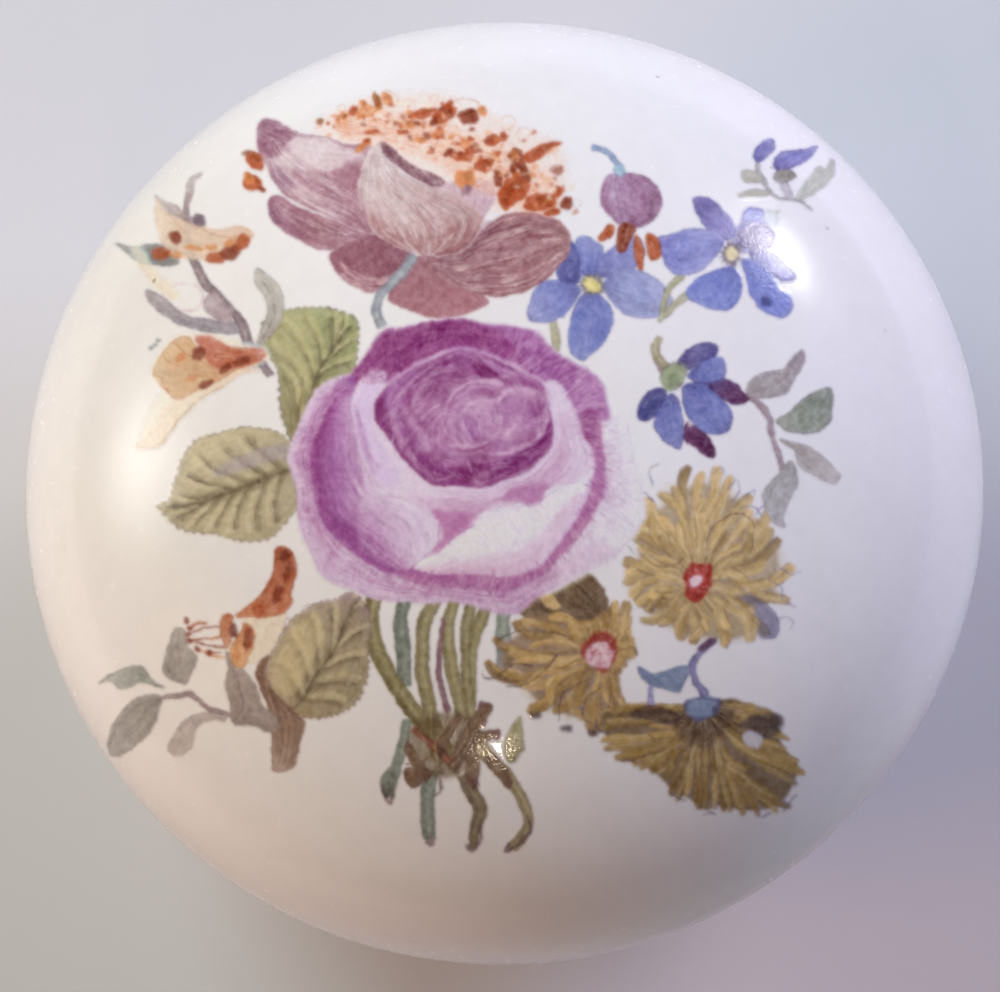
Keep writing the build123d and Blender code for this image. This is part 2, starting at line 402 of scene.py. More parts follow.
def stem(sh, rng, pts, w, colour, dark, light=None, alpha=0.95, ends=(0.7, 0.7), edge=0.7):
    """A stem along pts: w is its width, one number or start, middle and end."""
    c = smooth(pts)
    L = np.hypot(*np.diff(c, axis=0).T).sum()
    m = max(10, int(L / 1.6))
    c = even(c, m)
    t = np.linspace(0, 1, m)
    ww = np.interp(t, np.linspace(0, 1, len(w)), w) if hasattr(w, "__len__") else np.full(m, float(w))
    ww = ww * (1 + 0.10 * (noise(t * L, 0 * t, 9.0, int(rng.integers(999))) - 0.5))
    d = np.gradient(c, axis=0)
    d /= np.hypot(*d.T)[:, None]
    nn = np.c_[-d[:, 1], d[:, 0]]
    a, b = c + nn * ww[:, None] / 2, c - nn * ww[:, None] / 2
    O = np.vstack([a, b[::-1]])
    wash(sh, O, colour, alpha, 0.8)
    cl = mask(O, 0.8)
    n = int(L * ww.mean() / 6) + 14
    s, t0 = rng.uniform(0, 1, n), rng.uniform(-0.1, 0.92, n)
    P = rails(a, b, s, np.clip(t0, 0, 1), np.clip(t0 + rng.uniform(0.1, 0.3, n), 0.05, 1))
    light = colour + (1 - colour) * 0.45 if light is None else light
    g = np.clip(1.1 - np.abs(s - 0.42) * 3, 0, 1)[:, None]
    q = light * g + np.asarray(dark) * (1 - g)
    q = q * 0.6 + colour * 0.4
    hairs(sh, P, rng.uniform(0.5, 1.2, n), np.clip(q * (1 + rng.normal(0, 0.06, (n, 1))), 0, 1.02), rng.uniform(0.3, 0.8, n),
          (0.2, 0.3), cl)
    if edge:
        for e in (a, b):
            line(sh, e[::4] if len(e) > 16 else e[::2], 0.75, dark, edge, rough=0.9, rng=rng, k=4)


def spot(sh, rng, x, y, rx, ry, rgb, alpha=0.9, soft=0.8, turn=0.0):
    a = np.linspace(0, 2 * np.pi, 14, endpoint=False)
    r = 1 + rng.normal(0, 0.09, 14)
    p = np.c_[rx * np.cos(a) * r, ry * np.sin(a) * r]
    c, s = np.cos(turn), np.sin(turn)
    wash(sh, smooth(p @ np.array([[c, s], [-s, c]]) + (x, y), True, 5), rgb, alpha, soft)


def leaf(sh, rng, out, k, stops, rib, veins=6, vcol=None, n=420, edge=None, ea=0.75, ew=1.0, teeth=1.5, glow=None, **kw):
    """A rose leaf: a petal with a toothed edge, midrib and side veins."""
    p = even(np.vstack([smooth(out, True), smooth(out, True)[:1]]), 151)[:-1]
    d = np.gradient(p, axis=0)
    nn = np.c_[-d[:, 1], d[:, 0]] / np.hypot(*d.T)[:, None]
    tooth = (np.arange(150) % 3 - 1) * teeth * rng.uniform(0.4, 1.2, 150)
    q = p + nn * tooth[:, None]
    kk = int(round(150 * k / len(out)))
    A, B = petal(sh, rng, q, kk, stops, n=n, **kw)
    if edge is not None:
        line(sh, q, ew, edge, ea, rough=0.9, rng=rng, closed=True, k=3)
    rib = smooth(rib)
    vc = col(96, 84, 62) if vcol is None else vcol
    R = even(rib, 40)
    for v in range(veins):
        f = 0.12 + 0.75 * v / veins
        i = int(f * 39)
        for side in (A, B):
            e = even(side, 60)[int(np.clip(f + 0.26, 0, 0.98) * 59)]
            mid = (R[i] + e) / 2 + (R[min(i + 4, 39)] - R[i]) * 0.35
            path = np.array([R[i], mid, R[i] * 0.14 + e * 0.86])
            off = np.array([R[min(i + 4, 39)] - R[i]]) * 0.55
            line(sh, path + off, 5.0, col(204, 198, 148) if glow is None else glow, 0.38, rough=0.5, rng=rng, taper=(.2, .4))
            line(sh, path - off * 0.4, 3.6, vc * 0.95, 0.34, rough=0.5, rng=rng, taper=(.05, .6))
            line(sh, path, 1.1, vc * 0.8, 0.7, rough=0.8, rng=rng, taper=(.05, .5))
            for b in rng.uniform(0.35, 0.85, 3):
                r_ = path[0] * (1 - b) + path[2] * b + (mid - (path[0] + path[2]) / 2) * 0.8
                line(sh, np.array([r_, r_ + rng.normal(0, 3.2, 2) + (path[2] - path[0]) * 0.10]), 0.8, vc, 0.55, rough=0.4, rng=rng)
    line(sh, rib, 4.2, vc, 0.30, rough=0.6, rng=rng)
    line(sh, rib, 1.9, vc * 0.85, 0.7, rough=0.6, rng=rng)


GREY = col(132, 130, 134)
OLIVE = col(138, 128, 92)
OLIVE_D = col(92, 80, 58)
BROWN = col(104, 74, 66)
PLUM = col(104, 72, 92)
BLUE = col(112, 124, 194)
BLUE_L = col(158, 166, 214)
BLUE_D = col(78, 80, 140)
RUST = col(168, 78, 48)
RUST_D = col(128, 58, 40)
ORANGE = col(208, 128, 82)
PEACH = col(228, 190, 172)
def stems(sh, rng):
    q = at(260, 570)
    BG, BGD = col(146, 152, 148), col(94, 100, 102)
    stem(sh, rng, q(345,130, 420,108, 485,122, 520,165, 522,230, 510,310, 520,420), (11, 13, 15, 15), BG, BGD)
    stem(sh, rng, q(935,130, 945,220, 935,320, 900,470), (13, 15, 13), col(118,124,122), col(80,84,86))
    stem(sh, rng, q(580,110, 625,230, 645,340, 640,430, 605,580), (11, 12, 11, 12), col(148,138,106), col(96,84,68))
    stem(sh, rng, q(650,120, 668,220, 672,320, 655,420, 625,540), (10, 10, 9, 12), col(142,132,104), col(90,76,66))
    stem(sh, rng, q(725,110, 742,220, 742,310, 700,440, 640,580), (12, 13, 12, 12), col(150,140,108), col(94,80,70))
    stem(sh, rng, q(800,110, 838,200, 852,280, 838,400, 775,550, 690,690), (13, 15, 15, 12), col(146,136,104), col(90,76,70))
    stem(sh, rng, q(762,200, 776,320, 756,440, 700,560), (4, 5, 4), col(126,92,108), col(92,62,82))
    stem(sh, rng, q(1060,70, 1066,170, 1050,280, 1002,390, 900,520, 780,620, 650,720), (14, 16, 17, 15), col(136,126,94), col(88,74,58))
    stem(sh, rng, q(600,780, 570,850, 548,910, 552,1000, 556,1080), (15, 12, 9, 6), col(126,112,96), col(84,66,64))
    stem(sh, rng, q(735,770, 742,860, 738,950, 724,1065), (14, 14, 13), col(130,138,140), col(84,86,94))
    stem(sh, rng, q(872,600, 872,690, 884,790, 898,925), (11, 10, 11), col(132,138,136), col(86,86,92))
    stem(sh, rng, q(580,640, 490,730, 430,800, 380,890, 362,960, 384,1030, 420,1085), (13, 13, 12, 10, 12), col(160,146,120), col(108,90,80))
    petal(sh, rng, q(410,740, 375,700, 362,675, 405,565, 432,620, 445,680, 430,730), 3, [(0, col(150,140,112)), (1, col(176,168,148))],
          160, vary=0.1, edge=col(116,96,96), ea=0.7)
    spot(sh, rng, *q(555, 560)[0], 4.5, 13, col(102,66,88), 0.85, 1.2, 0.25)
    spot(sh, rng, *q(482, 640)[0], 3.2, 5, col(112,76,96), 0.8, 1.0)
    # where the stems cross and are tied
    wash(sh, smooth(q(560,600, 640,560, 740,560, 830,600, 850,680, 820,760, 740,800, 640,790, 570,720), True), col(96,78,58), 0.62, 4, 0.35, 6, 3)
    for pts in ((575,600, 640,680, 720,760, 760,830), (640,560, 700,660, 770,740, 850,780), (840,600, 760,680, 660,760, 600,820),
                (900,540, 800,640, 700,720, 620,780), (620,560, 640,640, 660,730), (700,560, 700,640, 680,730)):
        line(sh, q(*pts), 1.7, col(84,64,52), 0.75, rough=0.8, rng=rng)
        line(sh, q(*pts) + (1.2, -1.0), 1.0, col(176,158,118), 0.5, rough=0.8, rng=rng)
    stem(sh, rng, q(655,742, 720,690, 780,660, 840,632), (5, 7, 5), col(136,84,74), col(98,54,54))
    for pts in ((725,1050, 742,1066, 712,1070), (548,1070, 560,1088), (372,1010, 400,1070, 424,1092)):
        line(sh, q(*pts), 2.2, col(96,80,92), 0.6, rough=0.5, rng=rng)
    petal(sh, rng, q(905,800, 880,840, 884,890, 902,930, 932,900, 934,850), 3, [(0, col(136,142,138)), (0.6, col(120,124,124)), (1, col(84,80,84))],
          120, vary=0.1, edge=col(92,90,94), ea=0.6)
    DK, DL = col(92, 64, 66), col(140, 118, 96)
    kw = dict(vary=0.12, edge=col(84, 56, 66), ea=0.75, soft=1.0)
    for pts, tip in (((640,770, 590,700, 560,620, 520,540, 552,520, 590,560, 622,620, 655,700), 3), ((660,760, 600,690, 520,660, 470,640, 500,625, 560,630, 640,680), 3),
                     ((560,840, 540,770, 552,700, 590,650, 600,720, 596,790), 3), ((700,720, 668,640, 640,590, 652,560, 690,600, 720,660), 3),
                     ((740,790, 790,740, 850,690, 862,720, 820,780, 770,820), 3), ((770,830, 800,800, 840,790, 850,830, 810,870), 3),
                     ((420,800, 450,740, 500,700, 520,720, 480,780, 440,830), 3)):
        petal(sh, rng, q(*pts), tip, [(0, DK), (0.5, DL), (1, col(112, 84, 78))], 110, **kw)
    for pts, w in (((372,930, 352,1000, 392,1060, 440,1100, 430,1060), 3.2), ((548,980, 530,1040, 560,1090, 580,1060), 2.8), ((724,1030, 716,1080, 744,1076), 3.0),
                   ((880,880, 890,950, 910,930, 926,880), 2.6), ((600,820, 560,800, 540,830), 2.4), ((700,800, 690,850, 720,880), 2.2)):
        line(sh, q(*pts), w, col(92, 68, 80), 0.7, rough=0.6, rng=rng)
    for pts in ((620,560, 600,640, 640,720), (760,540, 740,640, 700,700), (680,600, 720,680, 700,760), (800,620, 740,720, 690,780), (560,620, 600,700, 650,760)):
        line(sh, q(*pts), 3.4, col(84, 62, 56), 0.5, rough=0.8, rng=rng)
        line(sh, q(*pts) + (2.2, -1.2), 1.6, col(190, 172, 136), 0.55, rough=0.8, rng=rng)


def leaf_one(sh, rng):
    q = at(115, 150)
    G, T, Y = col(152, 156, 110), col(160, 176, 122), col(184, 180, 134)
    leaf(sh, rng, q(722,1142, 660,1128, 615,1090, 572,1030, 560,970, 572,870, 592,780, 628,690, 672,616, 722,602, 800,622, 880,652,
                    950,692, 1006,742, 1002,802, 962,862, 900,932, 858,1002, 800,1080), 9,
         [(0, col(112,100,68)), (0.18, col(132,124,84)), (0.5, G), (0.8, T), (1, col(150,160,112))],
         q(728,1120, 738,1000, 735,900, 722,800, 702,700, 690,640), veins=5, vcol=col(94,84,66), edge=col(92,82,80), n=700,
         cross=[(0, 0.94), (0.3, 1.0), (0.5, 0.86), (0.62, 1.06), (1, 1.22)], vary=0.1)
    wash(sh, smooth(q(760,900, 800,700, 900,690, 980,750, 960,830, 880,920, 820,1000, 770,1010), True), Y, 0.45, 4, 0.4, 6, 3)
    wash(sh, smooth(q(600,1000, 640,880, 690,820, 700,900, 680,1010, 660,1090, 610,1060), True), col(120,128,92), 0.4, 4, 0.4, 6, 3)
    for pts in ((700,1120, 720,1000, 720,900), (760,1080, 770,1000, 800,930), (640,1080, 670,1020, 690,940)):
        line(sh, q(*pts), 1.6, col(100,86,58), 0.6, rough=0.9, rng=rng)


def leaf_two(sh, rng):
    q = at(90, 420)
    leaf(sh, rng, q(825,262, 816,332, 812,400, 762,450, 690,476, 600,490, 520,486, 450,442, 400,382, 366,312, 338,250, 292,226, 340,152,
                    420,120, 500,80, 580,42, 660,30, 740,60, 800,112, 822,182), 11,
         [(0, col(142,134,100)), (0.3, col(172,164,122)), (0.6, col(182,174,128)), (1, col(158,150,110))],
         q(820,268, 700,268, 600,258, 500,245, 430,238, 340,228), veins=6, vcol=col(96,84,62), edge=col(108,98,78), n=760,
         cross=[(0, 1.08), (0.35, 1.02), (0.5, 0.82), (0.6, 0.92), (0.85, 1.1), (1, 1.0)], vary=0.1)
    wash(sh, smooth(q(520,320, 640,320, 760,310, 815,330, 790,380, 680,380, 570,372), True), col(152,144,140), 0.6, 4, 0.35, 6, 3)
    wash(sh, smooth(q(430,240, 520,225, 640,240, 760,255, 820,262, 760,285, 640,282, 520,272), True), col(108,98,70), 0.5, 3, 0.4, 5, 3)
    wash(sh, smooth(q(420,340, 520,400, 640,430, 760,410, 790,400, 720,462, 600,478, 500,462), True), col(206,196,146), 0.4, 4, 0.4, 6, 3)


def leaf_three(sh, rng):
    q = at(90, 420)
    leaf(sh, rng, q(880,1168, 820,1160, 770,1122, 738,1060, 700,960, 706,880, 748,800, 812,738, 880,690, 950,668, 1012,680, 1042,740,
                    1092,800, 1122,880, 1132,960, 1112,1050, 1080,1122, 1000,1160), 9,
         [(0, col(140,124,84)), (0.3, col(150,144,104)), (0.6, col(158,152,108)), (0.85, col(148,136,112)), (1, col(132,108,118))],
         q(885,1160, 890,1080, 908,960, 912,860, 940,760, 970,690), veins=5, vcol=col(94,82,62), edge=col(104,90,84), n=640,
         cross=[(0, 0.9), (0.35, 0.95), (0.5, 0.82), (0.7, 1.1), (1, 1.15)], vary=0.11)
    wash(sh, smooth(q(930,1100, 960,960, 1000,860, 1060,840, 1110,920, 1100,1020, 1050,1110, 980,1150), True), col(192,182,130), 0.5, 4, 0.4, 6, 3)
    for pts in ((1042,742, 1080,770, 1060,800, 1092,806), (1100,812, 1130,850, 1105,880, 1126,892), (1126,900, 1150,940, 1120,962, 1134,976),
                (1128,990, 1140,1030, 1108,1048), (1100,1060, 1110,1100, 1076,1112)):
        line(sh, q(*pts), 0.9, col(118,100,98), 0.65, rough=0.6, rng=rng)
    # brown turned tip
    petal(sh, rng, q(1112,1070, 1108,1132, 1050,1182, 942,1240, 862,1300, 800,1372, 742,1408, 702,1352, 742,1262, 772,1208, 802,1172,
                     900,1168, 1008,1162, 1082,1118), 6,
          [(0, col(112,86,66)), (0.4, col(102,78,60)), (0.7, col(126,106,84)), (1, col(176,162,142))], 460, vary=0.15,
          edge=col(96,76,64), ea=0.7, ew=1.0)
    for pts in ((1100,1100, 1000,1190, 880,1250, 780,1330), (1000,1170, 900,1210, 810,1260), (1060,1150, 960,1210)):
        line(sh, q(*pts), 1.2, col(176,158,128), 0.6, rough=0.9, rng=rng)


def sprig_up(sh, rng):
    q = at(115, 150)
    c, d = col(130, 122, 134), col(88, 80, 96)
    stem(sh, rng, q(575,905, 548,820, 530,740, 508,640, 500,560, 490,480, 452,390, 392,312, 330,244, 288,202, 240,180),
         (8, 9, 8, 7, 6, 4), c, d)
    petal(sh, rng, q(455,312, 448,262, 498,192, 545,150, 574,96, 578,180, 572,242, 532,292, 492,342), 4,
          [(0, col(138,148,156)), (0.5, col(122,132,142)), (1, col(150,158,164))], 260, vary=0.1, edge=col(88,90,104), ea=0.7,
          cross=[(0, 1.1), (0.5, 0.9), (1, 0.95)])
    petal(sh, rng, q(542,702, 536,650, 578,592, 618,530, 622,478, 608,420, 628,338, 660,402, 668,500, 644,572, 592,640), 6,
          [(0, col(150,152,170)), (0.5, col(138,142,160)), (1, col(168,168,180))], 260, vary=0.1, edge=col(96,92,116), ea=0.7)
    petal(sh, rng, q(520,640, 505,580, 500,530, 540,518, 572,560, 556,632), 2, [(0, col(150,140,158)), (1, col(186,178,188))], 110,
          vary=0.1, edge=col(120,104,124), ea=0.6)
    petal(sh, rng, q(548,800, 500,802, 400,800, 340,762, 300,702, 296,640, 302,590, 352,620, 378,700, 412,740, 520,778), 6,
          [(0, col(148,150,150)), (0.4, col(168,172,172)), (1, col(196,198,196))], 340, vary=0.09, edge=col(112,112,120), ea=0.65)
    line(sh, q(330,640, 360,730, 420,775, 540,795), 1.2, col(112,110,122), 0.7, rough=0.7, rng=rng)
    a = np.linspace(0, 2 * np.pi, 9)[:-1]
    line(sh, q(568,462) + np.c_[14 * np.cos(a), 15 * np.sin(a)], 1.6, col(206,176,190), 0.7, rough=1.0, rng=rng, closed=True)
    spot(sh, rng, *q(332, 262)[0], 8, 6.5, col(150,140,156), 0.8, 1.2, 0.5)
    spot(sh, rng, *q(296, 276)[0], 7, 5, col(94,84,104), 0.85, 1.0, 0.9)
    petal(sh, rng, q(288,205, 242,196, 196,170, 150,182, 190,150, 244,166), 3, [(0, c), (1, col(190,184,188))], 80, edge=d, ea=0.4, alpha=0.8)
    petal(sh, rng, q(322,242, 306,180, 322,130, 330,78, 348,140, 346,190), 3, [(0, c), (1, col(206,200,202))], 80, edge=d, ea=0.4, alpha=0.8)
    line(sh, q(450,390, 440,340, 450,300), 1.4, d, 0.6, rough=0.6, rng=rng)
    line(sh, q(560,860, 620,800, 640,720), 1.3, d, 0.5, rough=0.6, rng=rng)


def bell_up(sh, rng):
    q = at(115, 150)
    wash(sh, smooth(q(90,380, 190,300, 290,266, 300,300, 210,340, 130,400), True), col(234,210,190), 0.7, 3)
    petal(sh, rng, q(500,570, 420,590, 330,560, 240,545, 170,560, 130,600, 150,520, 190,440, 240,420, 330,440, 420,480), 6,
          [(0, col(206,140,112)), (0.4, col(226,180,150)), (1, col(236,208,190))], 260, vary=0.09, alpha=0.75, edge=col(206,150,116), ea=0.55)
    line(sh, q(130,602, 188,552, 262,500), 1.3, col(196,130,92), 0.7, rough=0.7, rng=rng)
    line(sh, q(158,582, 240,548, 332,545, 420,552, 482,556), 1.2, col(190,120,88), 0.7, rough=0.7, rng=rng)
    line(sh, q(80,392, 150,330, 210,300, 290,270), 1.2, col(216,170,136), 0.6, rough=0.8, rng=rng)
    for x, y, a, b, c in ((200,405,9,6,RUST), (232,476,5,6,RUST_D), (386,470,9,6,RUST), (430,500,10,7,RUST_D), (462,540,8,7,RUST), (410,530,5,4,ORANGE),
                          (250,420,6,3,ORANGE), (350,500,6,3,ORANGE), (300,470,8,2.4,ORANGE)):
        spot(sh, rng, *q(x, y)[0], a, b, c, 0.85, 1.0, 0.4)


def bell_mid(sh, rng):
    q = at(115, 150)
    wash(sh, smooth(q(60,740, 190,800, 330,905, 480,990, 580,1030, 590,1100, 400,1160, 300,1180, 230,1160, 140,1060, 180,980, 100,860), True), col(236,216,200), 0.7, 3)
    T = col(218, 170, 126)
    # pale upper side, then the orange mouth
    petal(sh, rng, q(570,1032, 450,972, 330,912, 190,802, 130,752, 52,752, 90,790, 150,860, 230,920, 300,960, 400,1010, 500,1050), 5,
          [(0, col(226,182,152)), (0.5, col(234,206,184)), (1, col(238,214,198))], 300, vary=0.07, alpha=0.85, edge=col(204,150,110), ea=0.6)
    petal(sh, rng, q(560,1042, 470,1010, 380,975, 300,945, 228,918, 180,992, 150,1052, 190,1110, 242,1160, 302,1170, 342,1092, 420,1060, 500,1060), 6,
          [(0, col(196,112,86)), (0.35, col(214,150,106)), (0.7, T), (1, col(226,186,146))], 420, vary=0.1, edge=col(176,110,76), ea=0.7,
          cross=[(0, 1.05), (0.5, 0.92), (1, 1.05)])
    wash(sh, smooth(q(330,1165, 352,1090, 382,1050, 450,1018, 550,1028, 592,1070, 566,1102, 482,1102, 402,1152), True), col(192,98,76), 0.85, 2.0, 0.35, 5, 3)
    n = 90
    c0 = q(540,1060)[0] + rng.normal(0, 1, (n, 2)) * (9, 5)
    d = np.array([-0.95, 0.22]) * rng.uniform(8, 42, (n, 1)) + rng.normal(0, 3.5, (n, 2))
    P = c0[:, None] + d[:, None] * np.linspace(0, 1, 6)[None, :, None]
    hairs(sh, P, rng.uniform(0.6, 1.4, n), np.where(rng.random((n, 1)) < 0.6, RUST, col(226,160,120)), rng.uniform(0.35, 0.8, n))
    for x, y, a, b, c in ((352,976,8,5,RUST_D), (330,1096,8,6,RUST_D), (430,1030,7,4,RUST_D), (300,1010,6,3,ORANGE), (260,1090,6,3,ORANGE), (498,1050,9,5,RUST_D)):
        spot(sh, rng, *q(x, y)[0], a, b, c, 0.85, 1.1, 0.4)
    for pts in ((190,992, 210,930, 232,918), (150,1052, 176,1030, 190,1000), (192,1112, 215,1080, 260,1060), (242,1162, 262,1120, 310,1080)):
        line(sh, q(*pts), 1.2, col(168,92,58), 0.7, rough=0.7, rng=rng)
    for x, y in ((150,1146), (182,1166), (168,1150)):
        spot(sh, rng, *q(x, y)[0], 2.2, 1.8, col(124,116,114), 0.8, 0.8)
    line(sh, q(52,752, 130,740, 190,800, 330,908, 450,968), 1.4, col(192,134,96), 0.7, rough=0.7, rng=rng)


def bell_low(sh, rng):
    q = at(90, 420)
    petal(sh, rng, q(640,600, 560,600, 500,620, 430,672, 398,730, 388,792, 450,782, 560,772, 620,720), 5,
          [(0, col(220,164,130)), (0.4, col(232,196,166)), (1, col(236,206,180))], 300, vary=0.08, alpha=0.9, edge=col(204,146,104), ea=0.6)
    petal(sh, rng, q(840,560, 802,528, 722,520, 640,560, 582,572, 560,640, 580,720, 600,792, 652,702, 692,650, 742,612, 830,592), 6,
          [(0, col(150,66,44)), (0.4, RUST), (0.75, col(196,108,70)), (1, col(214,146,104))], 360, vary=0.12, edge=RUST_D, ea=0.6)
    petal(sh, rng, q(560,760, 500,738, 412,790, 368,822, 384,858, 440,870, 482,852, 532,790), 3,
          [(0, RUST), (0.4, col(212,136,86)), (1, col(222,160,110))], 220, vary=0.1, edge=RUST_D, ea=0.6)
    for x, y, a, b, c in ((492,772,12,5,RUST_D), (545,832,9,7,col(104,50,38)), (430,842,9,4,ORANGE), (600,700,8,6,RUST), (640,620,10,5,RUST_D),
                          (720,560,12,4,RUST_D), (795,560,8,5,col(110,50,36))):
        spot(sh, rng, *q(x, y)[0], a, b, c, 0.85, 1.1, -0.4)
    for pts, w in (((432,885, 445,930, 482,982), 3.4), ((480,880, 490,930, 512,990), 2.2), ((522,880, 524,940, 522,1000), 3.0),
                   ((560,860, 572,930, 560,1000), 2.0), ((590,910, 600,950, 582,984), 2.8), ((460,900, 462,930, 470,956), 2.0),
                   ((545,850, 520,900, 530,940), 2.4)):
        line(sh, q(*pts), w, [RUST, RUST_D, ORANGE][int(rng.integers(3))], 0.85, rough=0.6, rng=rng)
    for x, y in ((556,1002), (620,990), (460,952), (524,1006), (585,990), (484,988)):
        spot(sh, rng, *q(x, y)[0], 3.4, 2.8, RUST_D, 0.85, 0.9)
    petal(sh, rng, q(600,800, 552,830, 500,850, 470,880, 520,880, 580,860, 612,830), 4, [(0, RUST), (1, col(214,150,110))], 120, vary=0.1, edge=RUST_D, ea=0.5)


def sprig_low(sh, rng):
    q = at(90, 420)
    c, d = col(146, 134, 132), col(100, 88, 90)
    petal(sh, rng, q(560,1045, 502,1042, 448,1002, 430,930, 392,880, 350,908, 362,962, 392,1020, 460,1062, 540,1072), 4,
          [(0, col(156,150,144)), (0.5, col(182,176,170)), (1, col(196,190,182))], 240, vary=0.1, edge=col(128,118,116), ea=0.65)
    stem(sh, rng, q(600,1062, 540,1078, 480,1082, 440,1102, 400,1120, 345,1102, 290,1082), (3.5, 4, 4, 3.5), c, d)
    G = col(150, 152, 140)
    kw = dict(vary=0.1, edge=col(104,98,98), ea=0.65)
    petal(sh, rng, q(300,1082, 250,1086, 180,1052, 124,982, 112,910, 140,840, 202,870, 252,940, 282,1010), 5,
          [(0, col(138,138,132)), (0.5, G), (1, col(168,170,162))], 300, **kw)
    petal(sh, rng, q(300,1128, 250,1146, 180,1190, 110,1160, 40,1100, 82,1110, 132,1088, 202,1126), 4,
          [(0, col(142,150,142)), (0.5, col(156,166,154)), (1, col(176,184,174))], 260, **kw)
    petal(sh, rng, q(372,1148, 402,1200, 402,1262, 352,1302, 322,1372, 284,1360, 272,1290, 272,1220, 290,1180), 4,
          [(0, col(140,140,134)), (0.5, G), (1, col(178,178,170))], 300, **kw)
    petal(sh, rng, q(590,1042, 652,1050, 742,1038, 742,1090, 682,1122, 650,1182, 590,1240, 520,1302, 550,1230, 544,1170, 566,1110), 7,
          [(0, col(128,120,112)), (0.5, col(152,146,134)), (1, col(178,172,160))], 340, **kw)
    line(sh, q(600,1060, 620,1120, 580,1200, 535,1280), 1.1, col(108,98,98), 0.6, rough=0.8, rng=rng)
    line(sh, q(290,1080, 230,1020, 170,940, 140,860), 0.9, col(108,102,102), 0.6, rough=0.8, rng=rng)
    line(sh, q(360,1160, 340,1230, 310,1300, 305,1350), 0.9, col(108,102,102), 0.6, rough=0.8, rng=rng)
GOLD, GOLD_L, GOLD_D = col(196, 160, 88), col(218, 190, 124), col(150, 118, 62)
UMB, UMB_D, SHADE = col(112, 88, 58), col(82, 62, 50), col(120, 108, 120)


def ribbon(sh, rng, mid, w, body, lightc, darkc, edge, n=18, both=0.7):
    """One ray: a golden ribbon along mid with a dark and a pale side and drawn edges."""
    d = np.gradient(mid, axis=0)
    nn = np.c_[-d[:, 1], d[:, 0]] / np.hypot(*d.T)[:, None]
    A, B = mid + nn * w[:, None] / 2, mid - nn * w[:, None] / 2
    O = np.vstack([smooth(A), smooth(B)[::-1]])
    wash(sh, O, np.clip(body, 0, 1), 0.86, 0.9)
    cl = mask(O, 0.9)
    s, t0 = rng.uniform(0.08, 0.92, n), rng.uniform(-0.05, 0.7, n)
    P = rails(A, B, s, np.clip(t0, 0, 1), np.clip(t0 + rng.uniform(0.18, 0.42, n), 0, 1))
    q = np.where((s + rng.normal(0, 0.18, n) > 0.5)[:, None], lightc, darkc) * (1 + rng.normal(0, 0.06, (n, 1)))
    hairs(sh, P, rng.uniform(0.9, 2.2, n), np.clip(q, 0, 1), rng.uniform(0.25, 0.65, n), (0.3, 0.4), cl)
    line(sh, A, rng.uniform(0.9, 1.9), edge, rng.uniform(0.3, 0.7), rough=0.7, rng=rng, k=4)
    if rng.random() < both:
        line(sh, B, rng.uniform(0.6, 1.2), edge, rng.uniform(0.2, 0.5), rough=0.7, rng=rng, k=4)


def ray_flower(sh, rng, c, out, n, wid, ground, core_r, bow=0.16, inner=5.0, umber=0.3):
    """A many-rayed flower: curling golden ribbons, outer ones first, from near c to the outline out."""
    c = np.asarray(c, float)
    O = smooth(out, True)
    wash(sh, c + (O - c) * 0.82, ground, 0.85, 4.0, 0.3, 8, 5)
    a_out = np.arctan2(O[:, 1] - c[1], O[:, 0] - c[0])
    r_out = np.hypot(*(O - c).T)
    o = np.argsort(a_out)
    a_out, r_out = a_out[o], r_out[o]
    for tier, (m, f0, f1, ww) in enumerate(((int(n * 0.62), 0.30, 1.0, 1.0), (int(n * 0.5), 0.12, 0.78, 0.85), (int(n * 0.42), 0.0, 0.56, 0.7))):
        angs = (np.arange(m) + rng.uniform(-0.35, 0.35, m)) * 2 * np.pi / m - np.pi + tier
        sway = rng.normal(0, 1)
        for k in rng.permutation(m):
            a = (angs[k] + np.pi) % (2 * np.pi) - np.pi
            R = np.interp(a, a_out, r_out, period=2 * np.pi) * f1 * rng.uniform(0.9, 1.05)
            r0 = max(inner, R * f0)
            u = np.array([np.cos(a), np.sin(a)])
            v = np.array([-u[1], u[0]])
            b = bow * (np.sin(2.1 * a + tier * 1.7 + sway) + 0.55 * rng.normal())
            t = np.linspace(0, 1, 10)
            hook = rng.choice([-1, 1]) * rng.uniform(0.02, 0.16)
            mid = c + u * (r0 + (R - r0) * (t - abs(hook) * 0.5 * t ** 5))[:, None] \
                + v * (b * R * np.sin(np.pi * t * 0.85) + hook * R * t ** 4)[:, None]
            w = wid * ww * rng.uniform(0.8, 1.2) * np.interp(t, [0, 0.12, 0.5, 0.82, 0.95, 1], [0.35, 0.5, 0.85, 1.05, 0.95, 0.55])
            g = rng.normal(0, 0.07)
            dark = rng.random() < umber
            body = (GOLD_D if dark else GOLD) * (1 + g)
            e = [UMB, UMB_D, SHADE][int(rng.integers(3))]
            ribbon(sh, rng, mid, w, body, GOLD_L if not dark else GOLD, GOLD_D if not dark else UMB, e)
    wash(sh, c + (O - c) * 0.88, col(208, 182, 122), 0.24, 4.0, 0.45, 7, 9)
    m = int(n * 3)
    a = rng.uniform(-np.pi, np.pi, m)
    u = np.stack([np.cos(a), np.sin(a)], -1)
    s0 = rng.uniform(core_r * 0.9, core_r * 1.5, m)
    s1 = s0 + rng.uniform(4, 12, m)
    P = c + u[:, None] * (s0[:, None] + (s1 - s0)[:, None] * np.linspace(0, 1, 5)[None])[..., None]
    q = np.where(rng.random((m, 1)) < 0.6, UMB, GOLD_L)
    hairs(sh, P, rng.uniform(0.5, 1.0, m), q, rng.uniform(0.3, 0.7, m))


